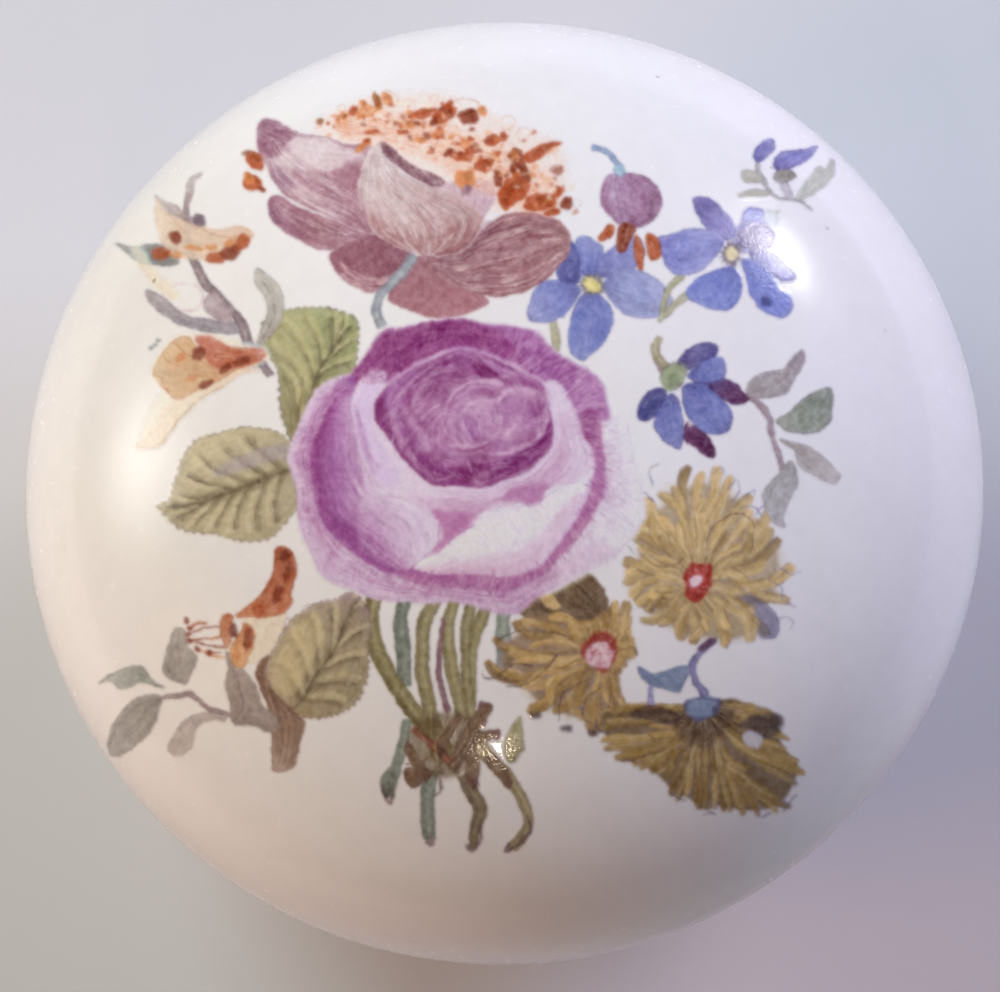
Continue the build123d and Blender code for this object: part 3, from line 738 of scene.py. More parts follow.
def curls(sh, rng, q, lst, w=1.3, c=None, a=0.8):
    for pts in lst:
        line(sh, q(*pts), w, UMB_D if c is None else c, a, rough=0.6, rng=rng)


def yellow_one(sh, rng):
    q = at(495, 450)
    out = q(545,240, 575,160, 660,85, 720,95, 790,190, 835,60, 900,130, 960,115, 1045,140, 1060,205, 1150,265, 1110,335, 1190,380, 1190,460,
            1215,560, 1165,660, 1120,760, 1010,775, 960,830, 880,835, 790,770, 650,745, 580,650, 520,560, 508,430, 512,340)
    ray_flower(sh, rng, q(785,470)[0], out, 62, 10.4, col(150,124,74), 15, 0.12, umber=0.2)
    wash(sh, smooth(q(655,110, 690,66, 745,95, 790,160, 812,240, 790,300, 770,220, 720,150, 680,140), True), col(112,104,100), 0.75, 1.6, 0.3, 4, 3)
    curls(sh, rng, q, ((655,105, 690,68, 745,95, 795,165, 812,250), (730,30, 765,30, 775,75, 755,110), (830,60, 838,130, 880,150, 900,210),
                       (985,105, 950,130, 960,180), (1095,330, 1150,310, 1165,245, 1130,260), (1080,400, 1120,350, 1100,300),
                       (1090,440, 1160,430, 1195,465, 1140,475), (1130,400, 1185,372, 1150,365), (1170,560, 1215,555, 1190,520),
                       (760,720, 790,790, 850,835, 900,825), (905,820, 960,835, 1000,800, 975,760), (1040,770, 1110,800, 1150,770)), 1.1, col(104,94,108), 0.75)
    line(sh, q(860,470, 940,480, 1020,440, 1070,380, 1050,320, 960,300), 1.5, UMB_D, 0.7, rough=0.7, rng=rng)
    line(sh, q(780,720, 760,640, 790,580, 830,560), 1.4, UMB, 0.6, rough=0.7, rng=rng)
    p = q(786, 468)[0]
    spot(sh, rng, p[0], p[1], 17.5, 15.5, col(150,52,38), 0.95, 1.2)
    spot(sh, rng, p[0] + 1, p[1] + 2, 10.5, 9, col(196,96,72), 0.8, 2.0)
    spot(sh, rng, p[0] - 1, p[1] + 2.5, 8, 6, col(230,204,196), 0.95, 1.2, -0.3)
    n = 60
    a = rng.uniform(0, 2 * np.pi, n)
    r = rng.uniform(9, 17, n)
    for k in range(n):
        spot(sh, rng, p[0] + r[k] * np.cos(a[k]), p[1] + 0.9 * r[k] * np.sin(a[k]), rng.uniform(0.8, 1.8), rng.uniform(0.8, 1.8),
             [col(122,34,26), col(176,70,50), col(206,130,110)][k % 3], 0.75, 0.6)


def yellow_two(sh, rng):
    q = at(495, 450)
    # brown-green foliage between the two heads
    petal(sh, rng, q(330,640, 320,560, 370,500, 440,460, 510,455, 560,500, 640,600, 640,700, 560,720, 450,690), 4,
          [(0, UMB), (0.4, col(122,100,66)), (0.8, col(140,116,76)), (1, col(96,82,60))], 420, vary=0.16, soft=1.4)
    curls(sh, rng, q, ((380,510, 440,470, 500,455, 540,480), (400,560, 460,520, 520,500), (360,600, 450,600, 540,560), (410,640, 500,670, 600,650)), 1.3)
    petal(sh, rng, q(520,650, 498,630, 520,600, 580,580, 640,575, 600,620, 560,645), 4, [(0, GOLD_L), (1, GOLD)], 90, edge=UMB, ea=0.6)
    out = q(160,640, 200,560, 250,532, 300,545, 345,600, 400,660, 620,680, 640,760, 700,860, 710,930, 690,990, 590,990, 570,1030, 480,1085,
            400,1090, 340,1115, 280,1080, 230,1105, 190,1050, 130,1080, 70,1075, 70,1030, 150,900, 190,820, 140,740)
    ray_flower(sh, rng, q(290,740)[0], out, 50, 10.4, col(120,94,60), 16, 0.12, umber=0.42)
    for x, y in ((230,1092), (338,1105), (110,1072), (455,1070)):
        spot(sh, rng, *q(x, y)[0], 5.5, 3.6, col(86,70,62), 0.75, 1.6)
    curls(sh, rng, q, ((70,1040, 70,1075, 120,1082, 160,1050, 150,1010, 100,1020), (640,985, 690,992, 712,960), (205,900, 200,1010, 230,1095),
                       (250,880, 300,960, 290,1040, 250,1050), (320,860, 380,960, 370,1080), (440,800, 460,900, 520,990, 580,1010),
                       (500,900, 580,930, 640,985), (380,740, 480,740, 600,780, 680,850)), 1.3)
    p = q(292, 738)[0]
    spot(sh, rng, p[0], p[1], 20, 17.5, col(146,54,42), 0.9, 1.6)
    spot(sh, rng, p[0] - 0.5, p[1] + 3, 14.5, 13.5, col(228,196,188), 0.95, 1.8)
    n = 80
    a = rng.uniform(0, 2 * np.pi, n)
    r = np.sqrt(rng.uniform(0, 1, n)) * 17
    for k in range(n):
        spot(sh, rng, p[0] + r[k] * np.cos(a[k]), p[1] + 1 + r[k] * np.sin(a[k]) * 0.9, rng.uniform(0.7, 1.5), rng.uniform(0.7, 1.5),
             [col(150,56,42), col(190,96,80), col(236,214,206)][k % 3], 0.7, 0.6)


def yellow_three(sh, rng):
    q = at(495, 450)
    out = q(680,1040, 600,1050, 510,1080, 450,1130, 450,1200, 440,1280, 400,1350, 440,1430, 500,1500, 590,1528, 680,1500, 750,1490,
            820,1512, 900,1450, 960,1400, 1030,1310, 1110,1240, 1190,1150, 1185,1040, 1090,1015, 980,1020, 860,1050)
    # a fan opening downwards from its green calyx
    c = q(765, 1050)[0]
    O = smooth(out, True)
    wash(sh, c + (O - c) * 0.94, col(128,102,62), 0.92, 1.6, 0.15, 8, 5)
    cl = mask(O, 1.2)
    edge = even(smooth(q(520,1075, 450,1150, 445,1260, 400,1350, 440,1440, 500,1500, 590,1530, 680,1503, 750,1492, 820,1512, 900,1452,
                         960,1400, 1030,1312, 1110,1242, 1190,1150, 1186,1045, 1090,1018)), 200)
    for lo_, hi_, n in ((0.0, 1.0, 40), (0.0, 0.62, 26)):
        for k in rng.permutation(n):
            f = (k + rng.uniform(-0.3, 0.3)) / (n - 1)
            e = edge[int(np.clip(f, 0, 1) * 199)]
            R = np.hypot(*(e - c)) * rng.uniform(0.88, 1.03) * hi_
            u = (e - c) / np.hypot(*(e - c))
            v = np.array([-u[1], u[0]])
            t = np.linspace(0, 1, 9)
            b = 0.07 * np.sin(f * 17) + rng.normal(0, 0.03) + 0.12 * (f - 0.5)
            mid = c + u * (8 + (R - 8) * t)[:, None] + v * (b * R * np.sin(np.pi * t * 0.9))[:, None]
            w = 8.6 * (0.7 + 0.3 * hi_) * rng.uniform(0.75, 1.2) * np.interp(t, [0, 0.2, 0.6, 0.88, 1], [0.3, 0.5, 0.9, 1.05, 0.4])
            dark = rng.random() < 0.35
            ribbon(sh, rng, mid, w, (GOLD_D if dark else GOLD) * (1 + rng.normal(0, .06)), GOLD_L if not dark else GOLD,
                   GOLD_D if not dark else UMB, [UMB_D, UMB, SHADE][int(rng.integers(3))], 20, 0.8)
    # shade under the calyx
    wash(sh, smooth(q(640,1080, 760,1060, 880,1070, 900,1150, 820,1210, 760,1230, 700,1190, 640,1140), True), UMB_D, 0.55, 6, 0.3, 6, 4, clip=cl)
    n = 160
    a = rng.uniform(0.15, np.pi - 0.15, n)
    u = np.stack([np.cos(a), np.sin(a)], -1)
    s0 = rng.uniform(8, 16, n)
    s1 = s0 + rng.uniform(8, 34, n)
    P = c + u[:, None] * (s0[:, None] + (s1 - s0)[:, None] * np.linspace(0, 1, 5)[None])[..., None]
    hairs(sh, P, rng.uniform(0.6, 1.4, n), np.where(rng.random((n, 1)) < 0.7, UMB_D, GOLD_L), rng.uniform(0.3, 0.8, n), clip=cl)
    # dark left curl with its white spot
    wash(sh, smooth(q(445,1140, 490,1110, 560,1110, 600,1150, 560,1170, 510,1210, 470,1200), True), col(84,70,60), 0.8, 1.6, 0.3, 4, 3)
    spot(sh, rng, *q(560,1205)[0], 8, 9, col(214,206,204), 0.9, 1.2, 0.4)
    wash(sh, smooth(q(870,1070, 940,1025, 1010,1020, 1060,1060, 980,1090, 900,1110), True), UMB_D, 0.7, 2.5, 0.3, 5, 3, clip=cl)
    curls(sh, rng, q, ((1180,1040, 1192,1100, 1150,1130), (1100,1240, 1060,1260, 1020,1250), (960,1390, 930,1420, 890,1450),
                       (830,1510, 790,1495, 760,1500), (600,1528, 560,1520, 540,1500), (445,1440, 470,1460, 500,1500)), 1.6, col(90,74,84), 0.7)
    # grey-violet stem, leaf and calyx
    stem(sh, rng, q(672,775, 720,810, 760,860, 765,930, 740,990, 735,1030), (7, 6, 6, 6, 8), col(142,132,142), col(96,84,104))
    wash(sh, smooth(q(665,770, 700,770, 740,800, 720,815, 685,795), True), col(92,56,66), 0.8, 1.0)
    petal(sh, rng, q(770,880, 830,875, 880,890, 930,890, 982,852, 975,900, 940,940, 880,960, 840,980, 800,930), 4,
          [(0, col(146,154,152)), (0.5, col(134,146,144)), (1, col(126,128,136))], 240, vary=0.1, edge=col(88,88,104), ea=0.75)
    stem(sh, rng, q(945,935, 965,980, 980,1020), (4, 5, 6), col(160,152,168), col(104,96,116))
    p = q(765, 1060)[0]
    spot(sh, rng, p[0], p[1], 20, 13, col(96,92,106), 0.9, 1.4)
    spot(sh, rng, p[0], p[1] - 1, 17, 10.5, col(140,150,150), 0.95, 1.6)
    line(sh, q(690,1050, 740,1020, 800,1025, 845,1060), 1.1, col(92,80,104), 0.7, rough=0.7, rng=rng)
def bud(sh, rng):
    q = at(510, 120)
    petal(sh, rng, q(395,208, 352,225, 332,275, 335,325, 360,368, 405,402, 455,418, 512,408, 558,370, 577,312, 560,255, 520,215,
                     470,198, 430,200), 6, [(0, col(176,122,140)), (0.5, col(170,114,132)), (1, col(136,78,98))], 420, vary=0.12,
          edge=col(140,92,112), ea=0.6, cross=[(0, 0.9), (0.25, 1.35), (0.5, 1.1), (0.75, 0.95), (1, 0.8)])
    for pts, c in (((395,418, 422,432, 412,470, 385,495, 368,488, 380,450), RUST), ((440,415, 500,412, 498,470, 488,508, 455,508, 440,470), RUST_D),
                   ((512,440, 545,462, 570,505, 584,562, 552,540, 522,495), RUST), ((552,425, 592,430, 622,462, 636,495, 600,512, 568,475), RUST)):
        p = q(*pts)
        petal(sh, rng, p, 3, [(0, c), (1, c * 1.12)], 60, vary=0.1, edge=RUST_D, ea=0.6)
    line(sh, q(470,420, 478,460, 476,500), 1.0, col(214,160,140), 0.6, rough=0.6, rng=rng)
    line(sh, q(575,450, 600,475, 615,498), 0.8, col(226,190,170), 0.6, rough=0.6, rng=rng)
    stem(sh, rng, q(252,142, 300,135, 350,150, 388,178, 398,205), (4.5, 5, 6), col(138,136,152), col(84,84,112))
    p = q(390,195)[0]
    spot(sh, rng, p[0], p[1], 6.5, 6, col(156,162,166), 0.9)
    line(sh, q(362,190, 380,215, 410,212, 416,190), 0.9, col(92,96,110), 0.7, rough=0.6, rng=rng)


def blue_one(sh, rng):
    q = at(510, 120)
    stem(sh, rng, q(365,978, 395,932, 445,880), (8, 9, 9), col(166,164,142), col(120,116,98))
    kw = dict(vary=0.09, ea=0.6)
    E = col(86, 86, 136)
    petal(sh, rng, q(385,640, 392,570, 412,522, 470,515, 512,545, 505,590, 470,632, 430,662), 3,
          [(0, BLUE_D), (0.35, BLUE), (1, BLUE_L)], 240, edge=E, **kw)
    petal(sh, rng, q(425,680, 455,630, 500,582, 540,585, 548,640, 532,700, 485,728, 435,715), 4,
          [(0, BLUE_D), (0.5, col(92,92,150)), (1, BLUE)], 200, edge=E, **kw)
    petal(sh, rng, q(352,632, 300,595, 262,550, 248,500, 262,460, 310,434, 350,468, 372,512, 402,562, 392,622), 5,
          [(0, col(92,94,150)), (0.4, col(128,134,194)), (1, col(150,156,208))], 260, edge=E, **kw)
    petal(sh, rng, q(335,652, 312,580, 268,545, 200,528, 112,538, 58,562, 44,600, 64,646, 112,682, 182,708, 252,700, 305,680), 6,
          [(0, col(104,108,166)), (0.35, col(140,150,204)), (0.7, BLUE_L), (1, col(168,170,206))], 380, edge=E,
          cross=[(0, 1.1), (0.5, 1.0), (0.8, 0.84), (1, 1.1)], **kw)
    petal(sh, rng, q(372,712, 300,704, 250,725, 220,770, 218,830, 240,890, 258,932, 305,942, 350,902, 380,832, 390,762), 6,
          [(0, col(96,100,160)), (0.4, BLUE), (1, col(140,150,206))], 300, edge=E, **kw)
    petal(sh, rng, q(402,716, 470,720, 532,740, 572,782, 576,850, 546,922, 490,906, 440,870, 405,800), 5,
          [(0, col(98,98,154)), (0.4, BLUE), (0.8, BLUE_L), (1, col(130,134,190))], 280, edge=E, **kw)
    line(sh, q(440,820, 470,830, 500,852), 1.0, E, 0.55, rough=0.9, rng=rng)
    p = q(370, 678)[0]
    spot(sh, rng, p[0], p[1], 13, 11, col(112,108,112), 0.75, 2.0)
    spot(sh, rng, p[0], p[1], 10, 7.6, col(206,196,132), 0.95, 1.2)
    spot(sh, rng, p[0] + 2, p[1] + 2, 5, 3.6, col(224,214,158), 0.7, 1.0)
    n = 40
    a = rng.uniform(0, 2 * np.pi, n)
    s0, s1 = rng.uniform(7, 10, n), rng.uniform(11, 17, n)
    u = np.stack([np.cos(a), 0.85 * np.sin(a)], -1)
    P = p + u[:, None] * (s0[:, None] + (s1 - s0)[:, None] * np.linspace(0, 1, 4)[None])[..., None]
    hairs(sh, P, rng.uniform(0.5, 1.1, n), col(66,66,104), rng.uniform(0.3, 0.8, n))


def blue_two(sh, rng):
    q = at(510, 120)
    stem(sh, rng, q(578,792, 640,735, 695,675), (5, 6, 8), col(164,164,144), col(124,120,104))
    stem(sh, rng, q(600,778, 680,765, 735,742, 775,708), (5, 7, 8), col(158,160,134), col(118,116,98))
    kw = dict(vary=0.1, ea=0.6)
    E = col(80, 80, 132)
    petal(sh, rng, q(832,482, 772,472, 700,452, 640,412, 612,360, 604,312, 640,284, 692,300, 722,340, 782,372, 832,432), 5,
          [(0, col(96,104,172)), (0.4, BLUE), (0.7, col(112,124,198)), (1, col(134,142,202))], 320, edge=E, **kw)
    spot(sh, rng, *q(668,392)[0], 6, 5, col(58,60,112), 0.75, 2.0, 0.4)
    petal(sh, rng, q(848,452, 800,392, 762,342, 752,302, 776,274, 812,300, 852,340, 872,382, 880,432), 4,
          [(0, col(108,104,156)), (0.5, col(146,146,196)), (1, col(140,142,198))], 260, edge=E, **kw)
    petal(sh, rng, q(882,502, 868,432, 880,382, 930,350, 976,370, 982,430, 952,482, 915,502), 4,
          [(0, col(104,94,140)), (0.5, col(158,148,184)), (1, col(172,164,196))], 300, edge=col(122,112,150), vary=0.2, ea=0.6)
    petal(sh, rng, q(900,532, 950,508, 1002,556, 1052,602, 1082,660, 1072,696, 1020,682, 970,648, 930,592), 5,
          [(0, col(150,146,200)), (0.4, col(140,138,196)), (0.72, col(84,78,130)), (1, col(112,104,160))], 280, edge=E, **kw)
    petal(sh, rng, q(802,522, 772,494, 710,484, 660,504, 634,560, 640,622, 692,682, 742,662, 782,592), 5,
          [(0, col(92,96,156)), (0.35, BLUE), (1, col(136,148,208))], 300, edge=E, **kw)
    petal(sh, rng, q(884,556, 832,590, 786,640, 768,720, 800,782, 862,812, 886,858, 910,862, 942,800, 960,720, 944,612, 915,562), 6,
          [(0, col(118,120,178)), (0.3, col(150,158,212)), (0.65, BLUE), (1, col(120,100,160))], 420, edge=E,
          cross=[(0, 1.2), (0.4, 0.94), (0.7, 1.0), (1, 1.25)], **kw)
    line(sh, q(880,740, 930,742), 1.2, col(196,198,224), 0.7, rough=0.5, rng=rng)
    p = q(848, 522)[0]
    spot(sh, rng, p[0], p[1], 11, 9.5, col(100,88,96), 0.7, 1.8)
    spot(sh, rng, p[0], p[1], 7, 6.4, col(208,198,160), 0.95, 1.0)
    n = 46
    a = rng.uniform(0, 2 * np.pi, n)
    s0, s1 = rng.uniform(6, 8, n), rng.uniform(10, 18, n)
    u = np.stack([np.cos(a), 0.9 * np.sin(a)], -1)
    P = p + u[:, None] * (s0[:, None] + (s1 - s0)[:, None] * np.linspace(0, 1, 4)[None])[..., None]
    hairs(sh, P, rng.uniform(0.5, 1.1, n), col(70,64,100), rng.uniform(0.3, 0.8, n))


def blue_three(sh, rng):
    q = at(510, 120)
    stem(sh, rng, q(578,888, 640,885, 682,920, 702,962), (7, 8, 9), col(164,160,138), col(122,116,98))
    kw = dict(vary=0.1, ea=0.7)
    E = col(62, 58, 108)
    DP = col(88, 48, 88)
    petal(sh, rng, q(868,1092, 930,1088, 952,1130, 982,1200, 962,1216, 912,1192, 880,1150), 4,
          [(0, col(110,70,112)), (0.5, DP), (1, col(76,40,72))], 150, edge=col(64,36,66), **kw)
    petal(sh, rng, q(782,952, 800,908, 850,880, 905,888, 906,932, 872,966, 802,978), 3, [(0, BLUE_D), (1, col(88,90,148))], 150, edge=E, **kw)
    petal(sh, rng, q(668,985, 602,1008, 560,1060, 540,1112, 552,1142, 602,1130, 652,1062, 684,1030), 4,
          [(0, col(84,74,120)), (0.5, col(112,108,168)), (1, BLUE_D)], 200, edge=E, **kw)
    petal(sh, rng, q(702,1050, 670,1130, 654,1200, 660,1250, 702,1290, 720,1306, 746,1270, 742,1180, 726,1080), 5,
          [(0, col(96,90,150)), (0.4, col(96,84,140)), (0.65, DP), (1, col(82,40,70))], 200, edge=E, **kw)
    petal(sh, rng, q(692,1040, 632,1080, 590,1140, 588,1180, 640,1198, 682,1160, 712,1100, 716,1050), 4,
          [(0, BLUE_D), (0.4, BLUE), (1, col(130,140,204))], 240, edge=E, **kw)
    petal(sh, rng, q(792,1000, 832,968, 900,964, 950,1000, 976,1050, 976,1086, 900,1082, 830,1052), 5,
          [(0, BLUE_D), (0.4, BLUE), (1, col(140,146,204))], 240, edge=E, **kw)
    petal(sh, rng, q(742,1040, 714,1110, 740,1190, 780,1246, 850,1252, 882,1212, 882,1140, 842,1080, 782,1040), 4,
          [(0, BLUE_D), (0.35, BLUE), (0.8, col(126,138,204)), (1, col(110,112,176))], 300, edge=E, **kw)
    spot(sh, rng, *q(872,1105)[0], 3, 3, col(206,206,216), 0.8, 0.8)
    p = q(724, 985)[0]
    spot(sh, rng, p[0], p[1], 15.5, 12.5, col(112,116,112), 0.7, 1.4, -0.2)
    spot(sh, rng, p[0], p[1], 13.5, 10.5, col(150,164,140), 0.95, 1.4, -0.2)
    spot(sh, rng, p[0] + 5, p[1] + 1, 6, 6, col(120,134,112), 0.5, 2.0)


def sprig_blue(sh, rng):
    q = at(510, 120)
    G = col(168,168,160)
    stem(sh, rng, q(1195,152, 1190,200, 1160,250, 1125,300, 1080,316, 1010,316, 955,350), (3.5, 5, 3, 2.5, 2), col(150,146,146), col(112,106,112), alpha=0.85)
    stem(sh, rng, q(1045,318, 1065,282, 1092,240), (6, 8, 8), col(176,168,178), col(132,124,140), alpha=0.9)
    petal(sh, rng, q(1018,316, 950,282, 906,212, 894,152, 915,110, 936,160, 965,148, 986,200, 1002,250, 1020,290), 4,
          [(0, col(186,184,180)), (0.5, G), (1, col(150,150,146))], 240, vary=0.1, edge=col(134,130,134), ea=0.55)
    petal(sh, rng, q(1085,196, 1042,160, 1002,112, 984,68, 1030,88, 1082,104, 1122,130, 1132,170, 1108,202), 3,
          [(0, col(84,72,124)), (0.5, col(110,112,180)), (1, col(120,120,182))], 220, vary=0.14, edge=col(74,66,116), ea=0.7,
          cross=[(0, 1.1), (0.5, 1.1), (0.8, 0.8), (1, 0.7)])
    petal(sh, rng, q(1040,212, 1062,190, 1110,196, 1126,226, 1100,248, 1068,240), 3, [(0, col(118,112,112)), (1, col(142,138,132))], 90,
          edge=col(88,80,88), ea=0.7)
    petal(sh, rng, q(1192,158, 1150,120, 1140,80, 1165,58, 1202,90, 1212,130), 3, [(0, col(88,84,136)), (1, col(126,126,180))], 120,
          edge=col(72,70,116), ea=0.7, vary=0.14)
    for pts in ((1165,246, 1190,205, 1256,198, 1248,246, 1200,252), (1130,300, 1170,280, 1230,288, 1270,318, 1200,318)):
        petal(sh, rng, q(*pts), 2, [(0, col(150,146,140)), (1, col(178,176,168))], 90, vary=0.1, edge=col(128,122,122), ea=0.6)
    petal(sh, rng, q(1150,405, 1160,370, 1212,364, 1242,390, 1246,430, 1270,470, 1256,532, 1190,542, 1140,520, 1118,470, 1130,430), 6,
          [(0, col(126,126,182)), (0.4, col(150,152,204)), (1, col(176,180,216))], 300, vary=0.13, edge=col(96,94,146), ea=0.65)
    petal(sh, rng, q(1150,410, 1112,440, 1092,400, 1110,374, 1146,372), 3, [(0, col(190,190,196)), (1, col(204,204,206))], 60, alpha=0.6,
          edge=col(140,140,140), ea=0.4)
    for x, y in ((1068,515), (1166,603), (1100,372)):
        spot(sh, rng, *q(x, y)[0], 2.2, 1.6, col(158,154,130), 0.7, 1.0)


def sprig_right(sh, rng):
    q = at(510, 120)
    c, d = col(146,134,126), col(108,96,96)
    stem(sh, rng, q(525,1362, 560,1300, 622,1256, 690,1245), (7, 7, 8), c, d)
    stem(sh, rng, q(850,1255, 930,1268, 985,1258, 1032,1205, 1062,1130, 1110,1062, 1152,1000), (6, 7, 7, 6, 6), c, d)
    petal(sh, rng, q(1155,1065, 1130,980, 1114,900, 1140,830, 1180,800, 1226,794, 1196,842, 1206,920, 1212,980, 1188,1042), 5,
          [(0, col(140,140,124)), (0.5, col(164,170,154)), (1, col(176,178,166))], 300, vary=0.09, edge=col(122,116,112), ea=0.65)
    petal(sh, rng, q(1092,1140, 1160,1112, 1200,1060, 1270,1040, 1340,1044, 1368,1076, 1330,1112, 1260,1142, 1180,1152), 5,
          [(0, col(142,140,122)), (0.5, col(168,168,150)), (1, col(186,184,168))], 300, vary=0.09, edge=col(124,118,106), ea=0.65)
    line(sh, q(1092,1142, 1180,1130, 1270,1090, 1340,1068), 0.9, col(126,120,104), 0.6, rough=0.8, rng=rng)
    petal(sh, rng, q(1062,1202, 1150,1190, 1212,1210, 1250,1262, 1264,1340, 1242,1412, 1182,1380, 1122,1310, 1090,1250), 5,
          [(0, col(150,156,132)), (0.5, col(132,146,118)), (1, col(120,130,108))], 340, vary=0.1, edge=col(84,76,76), ea=0.8, ew=1.1)
    stem(sh, rng, q(945,1270, 960,1290, 985,1310), (5, 6, 7), c, d)
    petal(sh, rng, np.array([(747,440), (764,444), (779,456), (784,470), (787,490), (783,504), (776,492), (772,479), (756,469), (746,455)], float), 5,
          [(0, col(150,150,134)), (0.5, col(162,162,146)), (1, col(134,124,120))], 240, vary=0.1, edge=col(100,90,90), ea=0.75)
    line(sh, np.array([(750,444), (764,456), (776,470), (782,490)], float), 0.8, col(116,108,104), 0.6, rough=0.8, rng=rng)
def poppy(sh, rng):
    q = at(235, 60)
    MB, MBD, MBL = col(156, 102, 108), col(118, 70, 84), col(198, 158, 156)
    TAN, VIO, WH = col(192, 152, 138), col(134, 96, 124), col(226, 208, 208)
    # blush round the stamens
    wash(sh, smooth(q(190,640, 150,560, 160,440, 260,350, 430,225, 600,150, 760,110, 950,105, 1080,140, 1060,200, 900,280,
                      760,380, 600,500, 420,620, 260,670), True), col(234,206,196), 0.75, 5)
    # lower petals
    petal(sh, rng, q(760,735, 700,760, 640,850, 560,935, 530,985, 600,1012, 700,1018, 800,992, 880,950, 950,905, 945,865,
                     870,800, 810,745), 6, [(0, MBD), (0.35, MB), (0.7, col(172,112,120)), (1, col(196,144,150))], 420,
          vary=0.09, soft=1.0, edge=col(170,110,124), ea=0.35)
    petal(sh, rng, q(750,745, 690,765, 600,740, 520,695, 430,640, 330,640, 240,680, 190,720, 172,800, 188,870, 225,925,
                     290,962, 380,985, 470,975, 560,942, 640,890, 700,830), 8,
          [(0, MBD), (0.25, col(140,88,98)), (0.55, MB), (0.8, col(150,98,98)), (1, col(178,136,130))], 900, vary=0.13,
          span=(0.12, 0.4), soft=1.2, edge=col(150,100,108), ea=0.3,
          cross=[(0, 1.0), (0.25, 0.86), (0.45, 1.2), (0.62, 0.95), (0.8, 1.15), (1, 0.95)])
    for pts in ((740,755, 700,830, 620,900, 540,950, 460,970), (690,790, 640,860, 580,905, 500,930)):
        line(sh, q(*pts), 1.3, MBL, 0.6, rough=1.0, rng=rng)
    petal(sh, rng, q(800,725, 820,770, 870,805, 940,840, 985,850, 1050,848, 1110,800, 1138,745, 1142,690, 1080,662, 980,625,
                     900,650, 840,690), 6, [(0, MBD), (0.4, col(132,78,90)), (0.8, col(142,86,100)), (1, col(176,124,136))], 460,
          vary=0.09, edge=col(150,98,112), ea=0.35)
    petal(sh, rng, q(985,625, 1060,655, 1140,668, 1225,632, 1292,560, 1326,480, 1326,405, 1285,395, 1210,470, 1110,552), 5,
          [(0, col(128,78,92)), (0.4, MB), (0.8, col(150,98,118)), (1, VIO)], 380, vary=0.1, edge=col(140,96,118), ea=0.45,
          cross=[(0, 1.25), (0.3, 1.0), (0.6, 0.85), (1, 1.1)])
    for pts in ((1010,640, 1100,640, 1180,600, 1250,520, 1300,440), (1010,625, 1100,600, 1180,550, 1260,470)):
        line(sh, q(*pts), 0.9, col(206,170,176), 0.6, rough=1.0, rng=rng)
    # tall right petal
    petal(sh, rng, q(950,640, 930,560, 945,480, 935,400, 900,335, 870,292, 960,242, 1060,200, 1160,142, 1230,92, 1290,70,
                     1326,120, 1338,190, 1312,270, 1272,380, 1200,462, 1110,545, 1030,612), 10,
          [(0, col(146,96,106)), (0.25, col(160,110,120)), (0.5, col(182,138,146)), (0.75, col(206,176,182)), (1, col(150,98,116))],
          760, vary=0.11, edge=VIO, ea=0.4, cross=[(0, 0.92), (0.35, 1.08), (0.62, 0.9), (0.85, 1.3), (1, 0.9)])
    wash(sh, smooth(q(1175,170, 1200,110, 1285,75, 1325,130, 1330,190, 1290,225, 1220,220), True), col(128,76,98), 0.75, 3, 0.4, 5, 3)
    petal(sh, rng, q(900,330, 930,290, 1010,235, 1120,180, 1180,170, 1240,215, 1290,240, 1180,300, 1080,330, 980,340), 5,
          [(0, col(206,176,180)), (0.5, WH), (1, col(214,190,196))], 260, vary=0.08, alpha=0.7, soft=3)
    n = 130
    c0 = q(880,330)[0] + rng.uniform(0, 1, (n, 1)) * (q(1260,130)[0] - q(880,330)[0]) + rng.normal(0, 6, (n, 2)) * (0.6, 1.2)
    d = np.array([0.90, -0.42]) * rng.uniform(5, 20, (n, 1))
    P = c0[:, None] + d[:, None] * np.linspace(0, 1, 5)[None, :, None]
    hairs(sh, P, rng.uniform(0.4, 0.9, n), col(232,216,218), rng.uniform(0.3, 0.85, n))
    for pts in ((1060,560, 1130,500, 1200,420, 1250,340, 1290,290), (1050,580, 1150,510, 1230,430)):
        line(sh, q(*pts), 1.7, col(224,200,204), 0.75, rough=1.0, rng=rng)
    wash(sh, smooth(q(1205,360, 1240,290, 1285,260, 1300,300, 1270,370, 1230,400), True), VIO, 0.5, 2.4, 0.4, 4, 9)
    wash(sh, smooth(q(935,330, 990,320, 1020,380, 1030,450, 1010,560, 960,610, 940,520, 945,420), True), col(150,98,112), 0.5, 3, 0.4, 5, 9)
    # inner left face
    petal(sh, rng, q(560,700, 500,640, 420,560, 440,500, 540,480, 620,470, 680,440, 700,520, 640,600, 620,680), 4,
          [(0, MB), (0.4, col(196,162,174)), (1, col(216,190,198))], 420, vary=0.11, soft=2.4)
    wash(sh, smooth(q(430,690, 470,640, 540,690, 590,740, 560,760, 480,730), True), MBD, 0.4, 3, 0.5, 4, 4)
